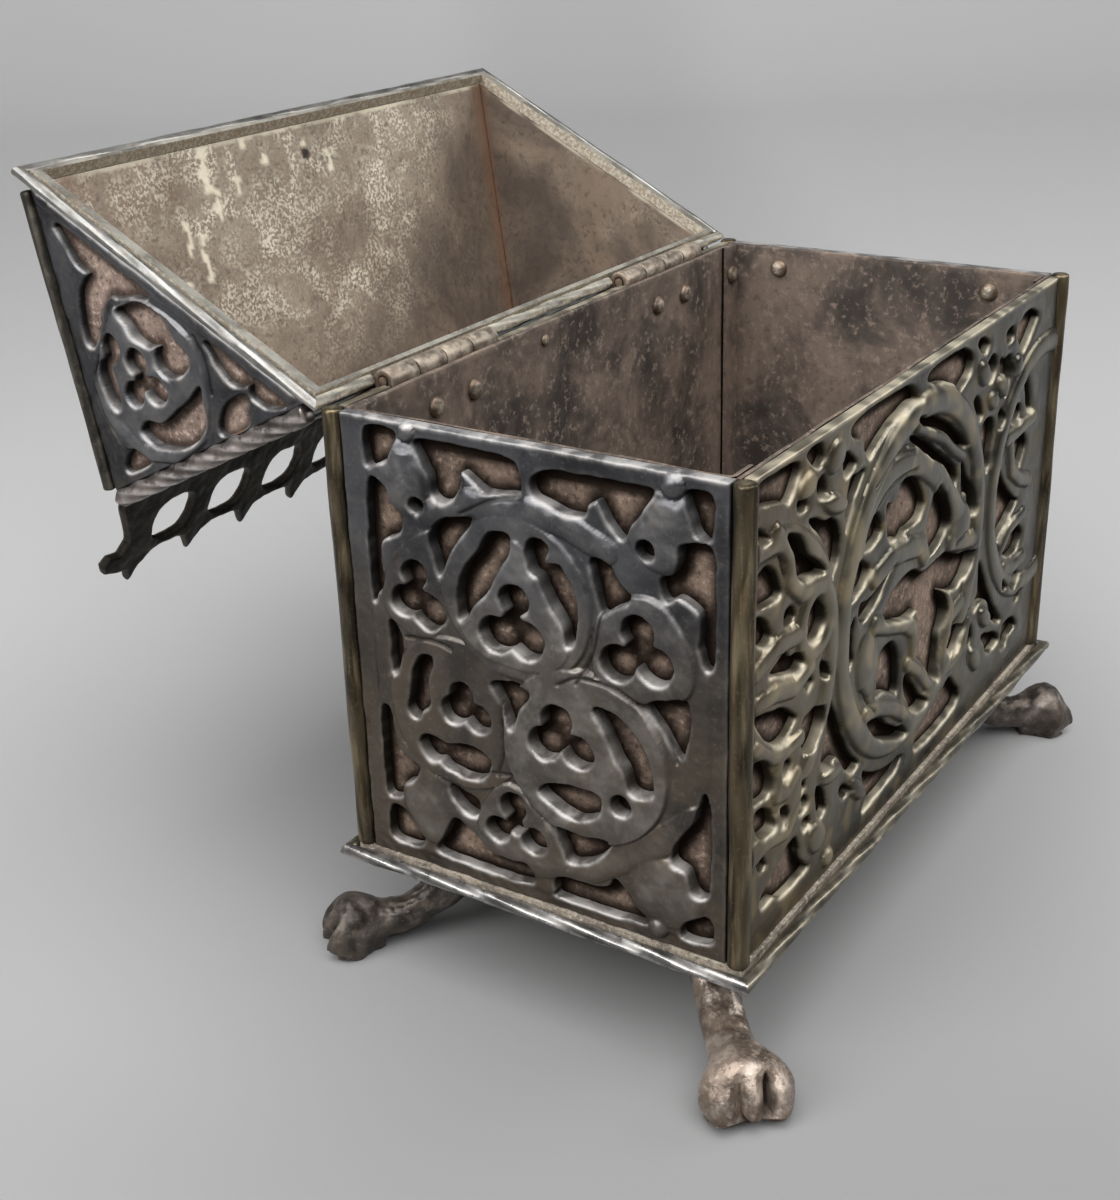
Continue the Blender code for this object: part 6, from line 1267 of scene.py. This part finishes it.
# Upright sheet wall: a thin rounded section (offset, level) carried along a path in plan and dented by waves
def sheetWall(name, path, inside, node, seed, openOf):
    path = np.asarray(path, float)
    step = np.linalg.norm(np.diff(path, axis=0), axis=1)
    s = np.concatenate([[0.0], np.cumsum(step)])
    at = np.linspace(0, s[-1], int(s[-1] / 1.4) + 2)
    x, y = np.interp(at, s, path[:, 0]), np.interp(at, s, path[:, 1])
    tangent = np.stack([np.gradient(x), np.gradient(y)], 1)
    tangent = tangent / np.linalg.norm(tangent, axis=1)[:, None]
    normal = np.stack([tangent[:, 1], -tangent[:, 0]], 1) * inside  # towards the room inside
    low, high, half = casket["wallFoot"], casket["wallTop"], casket["wall"] / 2
    levels = 84
    up = np.linspace(low, high - 0.5, levels)
    arc = np.linspace(0, math.pi, 9)[1:-1]
    n = np.concatenate([np.full(levels, half), half * np.cos(arc), np.full(levels, -half)])[None, :]
    z = np.concatenate([up, high - 0.5 + 0.5 * np.sin(arc), up[::-1]])[None, :]
    a = at[:, None]
    free = ease((z - low) / 30.0) * ease(np.minimum(a, s[-1] - a) / 14.0)
    n = n + np.where(n > 0, 0.22, 0.04) * free * wobble(a, z, 42.0, seed) * np.where(n > 0, 1.0, 0.5)
    z = z + np.where(z > high - 3, 0.22 * wobble(a, 0 * a, 30.0, seed + 3) * free - 0.1, 0.0)
    rows, cols = n.shape
    ring = np.stack([x[:, None] + n * normal[:, :1], y[:, None] + n * normal[:, 1:], z], -1)
    flat = np.stack([x[:, None] + 0 * n, y[:, None] + 0 * n, z], -1)
    rings = np.concatenate([flat[:1], ring, flat[-1:]])
    quads = gridQuads(rows + 2, cols, False, True)
    face = np.tile(np.arange(cols), rows + 1)
    points = rings.reshape(-1, 3)
    marks = {"open": openOf(points[:, 0], points[:, 1], points[:, 2] - footZ)}
    index = np.where(face < levels + 5, 0, 1)  # the inside and most of the rounded edge, then the outside
    put(name, points, [quads], "casket", [innerRust, outerRust], marks, [node], index,
        weld=True)


# Painted shade on a sheet behind tracery: 0 where the sheet lies under iron or in the shadow below an edge,
# lower in narrow openings, 1 in the open
def openness(x, y, outline, loops, rounds, foils, shade=2.2):
    loops = [smoothLoop(h) for h in loops]
    depth = ironDepth(x, y, outline, loops, rounds, foils)
    above = ironDepth(x, y + shade, outline, loops, rounds, foils)
    wide = 0.35 + 0.65 * ease((-1.0 - depth) / 2.8)
    return wide * ease(-depth / 1.8) * ease(-above / 2.4)


def endOpen(x, y, v):
    return openness(np.sign(x) * y, v, rectangle(endWidth, panelHeight), endLoops, endDots, endTrefoils)


def frontOpen(x, y, v):
    return openness(x, v, rectangle(longWidth, panelHeight), longLoops, [], [])


def backOpen(x, y, v):
    return openness(-x, v, backOutline, backLoops, [], [])


lengthX, depthY, half = casket["halfLength"], casket["halfDepth"], casket["wall"] / 2
frontLine, backLine = ([(-lengthX, y), (lengthX, y)] for y in (-depthY + half, depthY - half))
sheetWall("sheet_front", frontLine, -1, "wall_front", 91, frontOpen)
sheetWall("sheet_back", backLine, 1, "wall_back", 92, backOpen)
endHalf = depthY - casket["wall"] - casket["fit"] - half
for side, name in leftRight:
    tip, wallLine = side * (lengthX - casket["flange"]), side * (lengthX - half)
    bend = np.linspace(0, math.pi / 2, 7)
    corner = [(wallLine - side * 0.9 * (1 - math.sin(t)), -endHalf + 0.9 * (1 - math.cos(t))) for t in bend]
    path = [(tip, -endHalf)] + corner + [(px, -py) for px, py in reversed(corner)] + [(tip, endHalf)]
    sheetWall("sheet_" + name, path, -side, "wall_" + name, 95 + side, endOpen)
print("sheet walls ready")


sheetWide, sheetTall = 190, 80  # millimetres across and up a lid sheet, for its dents and marks


# Flat lid sheet: bilinear patch between four corners (a, b) in its plane, inner and outer face, dented
def lidSheet(name, corners, place, node, seed, marksOf, openOf):
    c = np.asarray(corners, float)
    origin, along, up, out = place
    nu, nv = 170, 110
    u, v = np.linspace(0, 1, nu)[:, None], np.linspace(0, 1, nv)[None, :]
    foot, head = (1 - u) * c[0] + u * c[1], (1 - u) * c[3] + u * c[2]
    a, b = ((1 - v) * foot[:, k:k + 1] + v * head[:, k:k + 1] for k in (0, 1))
    free = ease(np.minimum(u, 1 - u) * 12) * ease(np.minimum(v, 1 - v) * 9)
    dent = np.clip(0.16 * wobble(u * sheetWide, v * sheetTall, 55.0, seed), 0, 1) * free
    plane = origin + a[..., None] * along + b[..., None] * up
    inner, outer = plane - dent[..., None] * out, plane + casket["lidSheet"] * out
    grid = gridQuads(nu, nv)
    edge = np.concatenate([np.arange(nv), np.arange(1, nu) * nv + nv - 1,
                           (nu - 1) * nv + np.arange(nv - 2, -1, -1), np.arange(nu - 2, 0, -1) * nv])
    following, count = np.roll(edge, -1), nu * nv
    rim = np.stack([edge, following, following + count, edge + count], 1)
    points = np.concatenate([inner.reshape(-1, 3), outer.reshape(-1, 3)])
    faces = [grid, grid[:, ::-1] + count, rim[:, ::-1]]
    index = np.concatenate([np.zeros(len(grid)), np.ones(len(grid)), np.zeros(len(rim))])
    shown = dict(marksOf(u + 0 * v, v + 0 * u), open=0 * a)
    marks = {k: np.concatenate([m.ravel(), 0 * m.ravel()]) for k, m in shown.items()}
    marks["open"][count:] = openOf(a.ravel(), b.ravel())
    put(name, opened(points), faces, "lid", [lidInside, lidRust], marks, [node], index)


# Pale run down a sheet: a streak at u from v0 to v1 with rounded swellings
def paleRun(u, v, at, v0, v1, half):
    wide = half * (1 + 0.5 * np.sin(v * 95 + at * 40)) / sheetWide
    streak = ease((wide - np.abs(u - at - 0.003 * np.sin(v * 50))) / (0.5 * wide) + 0.2)
    return streak * ease((v - v0) / 0.012) * ease((v1 - v) / 0.02)


# Front slope, seen from inside: u from left to right, v from the mouth up to the ridge.
# A run is given as its u, the v where it starts and ends, and its half width in millimetres.
creamRuns = [
    (0.30, 0.0, 0.17, 1.7), (0.315, 0.15, 0.27, 1.1), (0.385, 0.0, 0.05, 1.6), (0.24, 0.22, 0.36, 0.8),
    (0.22, 0.42, 0.46, 1.0), (0.265, 0.28, 0.46, 0.9), (0.43, 0.06, 0.12, 1.2), (0.57, 0.10, 0.20, 0.9),
    (0.36, 0.12, 0.20, 1.0), (0.52, 0.05, 0.09, 0.8),
]


def frontMarks(u, v):
    # patch is a painted shadow band near the right end, where the paler rubbed olive is held back
    patch = np.exp(-((u - 0.88 + 0.25 * (v - 0.4)) / 0.12) ** 2) * ease((v - 0.02) / 0.2)
    near = ease((1.02 - v) / 0.5) * ease((0.98 - u) / 0.2) * (1 - 0.9 * patch)
    near = near * (0.55 + 0.45 * ease(u / 0.14 + v / 0.5 - 0.35))
    near = near * (0.85 + 0.15 * wobble(u * sheetWide, v * sheetTall, 22.0, 3))
    runs = sum(paleRun(u, v, *r) for r in creamRuns)
    line = ease((0.016 + 0.006 * wobble(u * sheetWide, 0 * u, 9.0, 5) - v) / 0.008)
    runs = runs + 0.75 * line * ease(0.7 + 0.6 * wobble(u * sheetWide, 0 * u, 31.0, 8))
    # hole is a dark mark painted where a hole in the sheet would show shade
    hole = ease((2.0 - np.hypot((u - 0.52) * 197, (v - 0.106) * 84)) / 0.5)
    rust = 0.8 * ease((u - 0.955) / 0.04) + 0.7 * ease((v - 0.93) / 0.06)
    patchy = 0.6 + 0.4 * wobble(u * sheetWide, v * 84, 16.0, 21)
    rust = rust + 0.4 * ease((0.36 - u) / 0.3) * ease((0.4 - v) / 0.35) * patchy
    runs = np.clip(runs, 0, 1) * 0.9
    return {"rubbed": np.clip(near, 0, 1), "runs": runs, "rust": np.clip(rust, 0, 1), "hole": hole}


def plainMarks(u, v):
    rubbed = 0.15 * ease((0.4 - v) / 0.4) + 0.15 * wobble(u * 100, v * 70, 30.0, 12) - 0.1
    line = ease((0.014 - v) / 0.008) * ease(0.5 + 0.7 * wobble(u * 100, 0 * u, 23.0, 9))
    rust = 0.75 * ease((np.maximum(np.abs(u - 0.5) * 2, 0.9) - 0.92) / 0.08) + 0.4 * ease((v - 0.9) / 0.1)
    return {"rubbed": np.clip(rubbed, 0, 1), "runs": 0.6 * line, "rust": np.clip(rust, 0, 1), "hole": 0 * u}


sheetFoot = (casket["fit"] + casket["lidSheet"] * run) / rise
# The panel's foot lies this far up the sheet
slopeStep = (casket["lidPanel"] + casket["seat"]) / math.tan(slope)
for side, name in frontBack:
    axes = slopeAxes(side)
    foot = np.array([0, casket["lidShift"] + side * sheetY, casket["rimTop"]])
    origin = foot - axes[2] * casket["lidSheet"]
    corners = slopeOutline(sheetX, 0.0, sheetFoot, sheetTop)
    lidSheet("lid_lining_" + name, corners, (origin, *axes), "lid_sheet_" + name, 101 + side,
             frontMarks if side < 0 else plainMarks,
             lambda a, b: openness(a, b + slopeStep, slopeEdge, drops, [], foils))
wide = innerY - 2 * casket["seat"] / rise
topZ, low = wide * math.tan(slope) - 2 * casket["lidSheet"], wide - 0.2 / math.tan(slope)
high = 2 * casket["lidSheet"] / math.tan(slope)
for side, name in leftRight:
    axes = endAxes(side)
    origin = np.array([side * sheetX, casket["lidShift"], casket["rimTop"]]) - axes[2] * casket["lidSheet"]
    corners = [(-low, 0.2), (low, 0.2), (high, topZ), (-high, topZ)]
    lidSheet("lid_lining_" + name, corners, (origin, *axes), "lid_sheet_" + name, 105 + side,
             plainMarks, lambda a, b: ease(0.3 + openness(a, b, endEdge, lidLoops, [], lidTrefoils, -1.0)))
print("lid sheets ready")


# Solid between a profile loop (y, z) and its copy along x, edges eased at both ends
def barrel(loop, low, high):
    loop = np.asarray(loop, float)
    mid = loop.mean(0)
    eased = [(0.0, 0.93), (0.12, 0.97), (0.35, 1.0)]  # distance from the end and size there
    stations = [(low + x, k) for x, k in eased] + [(high - x, k) for x, k in reversed(eased)]
    rings = np.stack([np.column_stack([np.full(len(loop), x), mid + (loop - mid) * k]) for x, k in stations])
    return ringBody(rings)


# Rolled eye: ring between the pin hole and the barrel, rounded at its ends, as one closed torus-like surface
def rolledEye(low, high, seed):
    r0, r1 = hinge["pin"] + 0.15, hinge["radius"]
    section = np.array([
        (low + 0.1, r0 + 0.15), (low, r0 + 0.5), (low, r1 - 0.5), (low + 0.14, r1 - 0.14), (low + 0.5, r1),
        ((low + high) / 2, r1 - 0.05), (high - 0.5, r1), (high - 0.14, r1 - 0.14), (high, r1 - 0.5),
        (high, r0 + 0.5), (high - 0.1, r0 + 0.15), (high - 0.4, r0), (low + 0.4, r0),
    ])
    angle = (np.arange(48) * 2 * math.pi / 48)[:, None]
    x, r = section[:, 0][None, :], section[:, 1][None, :]
    r = r * (1 + np.where(r > 2, 0.02, 0.0) * wobble(x, angle * 3, 6.0, seed))
    y, z = casket["hingeY"] + r * np.cos(angle), casket["hingeZ"] + r * np.sin(angle)
    points = np.stack([x + 0 * angle, y, z], -1)
    return points.reshape(-1, 3), [gridQuads(48, len(section), True, True)]


# Closed surfaces taken together, the faces of each turned outwards
def joined(parts):
    points, faces, start = [], [], 0
    for p, fs in parts:
        points.append(p)
        outward = signedVolume(p, fs) > 0
        faces += [(f if outward else f[:, ::-1]) + start for f in fs]
        start += len(p)
    return np.concatenate(points), faces


slopeUp, slopeOut = np.array([-run, rise]), np.array([rise, run])
slopeBase = np.array([casket["lidShift"] + lidY, casket["rimTop"]])
pinAt = np.array([casket["hingeY"], casket["hingeZ"]])


def onSlope(up, out):
    return slopeBase + slopeUp * up + slopeOut * out


def roundLoop(a, b, half, steps=7):  # outline of a strip from a to b with round ends
    a, b = np.asarray(a, float), np.asarray(b, float)
    heading = math.atan2(*(b - a)[::-1])
    t = np.linspace(-math.pi / 2, math.pi / 2, steps)

    def tip(p, turn):
        return np.stack([p[0] + half * np.cos(t + turn), p[1] + half * np.sin(t + turn)], 1)

    return np.concatenate([tip(b, heading), tip(a, heading + math.pi)])


leafY = casket["halfDepth"] + casket["fit"] + hinge["leaf"] / 2
step = hinge["length"] / hinge["knuckles"]
leafFoot = casket["wallTop"] - hinge["drop"] + 0.6
leafTop = casket["hingeZ"] - hinge["radius"] - hinge["gap"] - 0.6
leaf = roundLoop((leafY, leafFoot), (leafY, leafTop), hinge["leaf"] / 2)
leafNeck = roundLoop((leafY, casket["hingeZ"] - 5.4), (leafY + 0.1, casket["hingeZ"] - 0.6), 0.5)
strap = roundLoop(onSlope(1.6, 0.7), onSlope(12.4, 0.7), hinge["leaf"] / 2)
grip = onSlope(2.2, 0.7)
toward = (grip - pinAt) / np.linalg.norm(grip - pinAt)
strapNeck = roundLoop(pinAt + toward * 2.2, grip, 0.5)
for sx, side in leftRight:
    start = sx * hinge["centre"] - hinge["length"] / 2
    bodyParts, lidParts = ([barrel(loop, start, start + hinge["length"])] for loop in (leaf, strap))
    for k in range(hinge["knuckles"]):
        low = start + k * step + hinge["gap"] / 2
        high = low + step - hinge["gap"]
        if k % 2 == 0:
            bodyParts += [rolledEye(low, high, 110 + k), barrel(leafNeck, low + 0.1, high - 0.1)]
        else:
            lidParts += [rolledEye(low, high, 120 + k), barrel(strapNeck, low + 0.1, high - 0.1)]
    for parts, body, name in ((bodyParts, "casket", "body_"), (lidParts, "lid", "lid_")):
        points, faces = joined(parts)
        across = np.hypot(points[:, 1] - pinAt[0], points[:, 2] - pinAt[1])
        wear_and_highlight = 0.75 * np.exp(-((across - hinge["radius"]) / 0.3) ** 2)
        marks = {"wear_and_highlight": wear_and_highlight, "grime_and_shade": ease(hinge["radius"] - 0.6 - across)}
        put("hinge_" + name + side, opened(points) if body == "lid" else points, faces, body,
            [hingeIron], marks, ["hinge_leaf_" + name + side])
print("hinges ready")


rivet = {"radius": 2.8, "height": 1.6, "spread": 16.6, "drop": 9.3, "smallRadius": 1.6, "smallHeight": 0.8}


# Rivet head: dome r(t) = R cos(t)^0.8, h(t) = H sin(t) on a flat back, uneven, with a flattened top
def rivetHead(name, node, spot, across, out, seed, radius=rivet["radius"], height=rivet["height"]):
    t = np.linspace(0, math.pi / 2 - 0.12, 12)[:, None]
    angle = (np.arange(28) * 2 * math.pi / 28)[None, :]
    r = radius * np.cos(t) ** 0.8 * (1 + 0.05 * wobble(angle * 2, t, 3.0, seed))
    h = height * np.sin(t) * (1 + 0.06 * wobble(angle * 2, t * 3, 2.5, seed + 1))
    rings = np.asarray(spot) + (r * np.cos(angle))[..., None] * across
    rings = rings + (r * np.sin(angle))[..., None] * axisZ + h[..., None] * out
    points, faces = ringBody(rings)
    marks = ringMarks(0.8 * ease((t - 0.7) / 0.5) + 0 * r, (ease((0.35 - t) / 0.35) + 0 * r) * 0.6, [0, 1])
    put("rivet_head_" + name, points, faces, "casket", [hingeIron], marks, [node], sharp=50.0)


innerBack = casket["halfDepth"] - casket["wall"] - casket["seat"]
rivetZ = casket["wallTop"] - rivet["drop"]
for sx, side in leftRight:
    for k, place in ((-1, "_outer"), (1, "_inner")):
        spot = (sx * (hinge["centre"] - k * rivet["spread"] / 2), innerBack, rivetZ)
        rivetHead(side + place, "rivet_hinge_" + side + place, spot, -axisX, -axisY, 130 + sx + 2 * k)
flangeX = lengthX - (casket["flange"] + casket["wall"]) / 2
spot = (flangeX, depthY - 2 * casket["wall"] - casket["fit"] - casket["seat"], rivetZ)
rivetHead("flange", "rivet_flange", spot, -axisX, -axisY, 140)
spot = (-hinge["centre"] / 4, innerBack, casket["wallTop"] - rivet["drop"] / 2)
rivetHead("small", "rivet_small", spot, -axisX, -axisY, 141, rivet["smallRadius"], rivet["smallHeight"])
for sy, name in frontBack:
    spot = (lengthX - casket["wall"] - casket["seat"], sy * 34.5, casket["wallTop"] - 6.7)
    rivetHead("side_" + name, "rivet_side_" + name, spot, axisY, -axisX, 142 + sy)
print("rivets ready")

# Solids whose shape is right keep it and take a finish
keptSolids = {
    "base_plate": ledgeDust, "lid_rim": rimPlate, "hinge_pin_left": hingeIron, "hinge_pin_right": hingeIron,
}
for name, look in keptSolids.items():
    mesh = nodes[name].data
    mesh.materials.clear()
    mesh.materials.append(look)

# Floor with a soft curve up into the backdrop, drawn as a profile carried sideways
stage = {"floor": -29.5, "front": -9000.0, "bend": 1400.0, "radius": 900.0, "half": 9000.0, "top": 2600.0}
t = np.linspace(0, math.pi / 2, 24)
bend, bottom = stage["bend"], stage["floor"]
curve = np.stack([bend + stage["radius"] * np.sin(t), bottom + stage["radius"] * (1 - np.cos(t))], 1)
profile = np.concatenate([[(stage["front"], bottom)], curve, [(bend + stage["radius"], stage["top"])]])
# Level direction in which the camera looks
view = np.array([0.76166, 0.50458]) / math.hypot(0.76166, 0.50458)
side = np.array([-view[1], view[0]])
across = np.linspace(-stage["half"], stage["half"], 9)[None, :, None]
spots = profile[:, None, :1] * view + across * side
points = np.concatenate([spots, profile[:, None, 1:] + 0 * across], -1).reshape(-1, 3)
mesh = bpy.data.meshes.new("studio_floor")
mesh.from_pydata((points * mm).tolist(), [], gridQuads(len(profile), 9).tolist())
mesh.shade_smooth()
floor = bpy.data.objects.new("studio_floor", mesh)
bpy.context.scene.collection.objects.link(floor)
f = Finish("studio_grey")
viewX, viewY = view.tolist()
away = f.sum("ADD", f.sum("MULTIPLY", f.axis("X"), viewX), f.sum("MULTIPLY", f.axis("Y"), viewY))
aside = f.sum("SUBTRACT", f.sum("MULTIPLY", f.axis("X"), viewY), f.sum("MULTIPLY", f.axis("Y"), viewX))
# Painted light on the floor: it grows lighter away from the camera and to both sides
shade = f.sum("ADD", f.between(away, -0.25, 0.2, 0.180, 0.30), f.between(away, 0.25, 1.6, 0.0, 0.05))
shade = f.sum("ADD", shade, f.between(f.sum("ABSOLUTE", aside), 0.06, 0.2, 0.0, 0.055))
tone = f.mix(shade, (0.0, 0.0, 0.0), (1.0, 1.0, 1.0))
# Painted light: the far floor and backdrop glow paler, for camera rays only
seen = f.node("ShaderNodeLightPath").outputs["Is Camera Ray"]
f.feed(f.shader.inputs["Emission Color"], (1.0, 1.0, 1.0, 1.0))
lift = f.sum("ADD", f.between(away, 0.4, 2.2, 0.0, 0.18), f.between(away, -0.5, -2.0, 0.0, 0.34))
lift = f.sum("ADD", lift, f.between(f.sum("ABSOLUTE", aside), 0.6, 2.0, 0.0, 0.3))
f.feed(f.shader.inputs["Emission Strength"], f.sum("MULTIPLY", seen, lift))
mesh.materials.append(f.done(tone, 0.9, 0.0))


# Soft light from above, with a weak fill from each side
def softLight(name, place, aim, size, power):
    light = bpy.data.lights.new(name, "AREA")
    light.shape, light.size, light.energy = "DISK", size, power
    lamp = bpy.data.objects.new(name, light)
    lamp.matrix_world = aimed(place, aim)
    bpy.context.scene.collection.objects.link(lamp)


def aimed(place, aim):
    back = np.asarray(place, float) - np.asarray(aim, float)
    back = back / np.linalg.norm(back)
    right = np.cross(axisZ, back)
    right = right / np.linalg.norm(right)
    up = np.cross(back, right)
    return Matrix([[right[k], up[k], back[k], place[k]] for k in range(3)] + [[0, 0, 0, 1]])


softLight("overhead_light", (-0.40, -0.40, 1.45), (0.0, 0.0, 0.05), 2.2, 55.0)
softLight("right_light", (1.1, -1.0, 0.8), (0.0, 0.0, 0.06), 0.7, 8.0)
softLight("left_light", (-1.3, 0.5, 0.8), (-0.1, 0.0, 0.05), 1.0, 16.0)
world = bpy.data.worlds.new("studio")
bpy.context.scene.world = world
world.use_nodes = True
world.node_tree.nodes["Background"].inputs["Color"].default_value = (0.42, 0.42, 0.43, 1.0)
lift = world.node_tree.nodes.new("ShaderNodeMath")  # 0.26, and paler where the picture sees past the floor
lift.operation = "MULTIPLY_ADD"
lift.inputs[1].default_value = 0.93
lift.inputs[2].default_value = 0.26
seen = world.node_tree.nodes.new("ShaderNodeLightPath").outputs["Is Camera Ray"]
world.node_tree.links.new(seen, lift.inputs[0])
world.node_tree.links.new(lift.outputs[0], world.node_tree.nodes["Background"].inputs["Strength"])

# Camera fitted to the corners of the casket in the photograph
camera = bpy.data.cameras.new("photo_camera")
camera.lens, camera.sensor_width, camera.sensor_fit = 51.864, 36.0, "AUTO"
camera.clip_start, camera.clip_end = 0.01, 50.0
eye = bpy.data.objects.new("photo_camera", camera)
eye.matrix_world = Matrix((
    (0.54104, 0.35659, -0.76166, -0.39673),
    (-0.84048, 0.19748, -0.50458, -0.20485),
    (-0.02951, 0.91315, 0.40655, 0.24394),
    (0, 0, 0, 1),
))
bpy.context.scene.collection.objects.link(eye)
bpy.context.scene.camera = eye
bpy.context.scene.view_settings.view_transform = "Standard"
print("stage, light and camera ready")
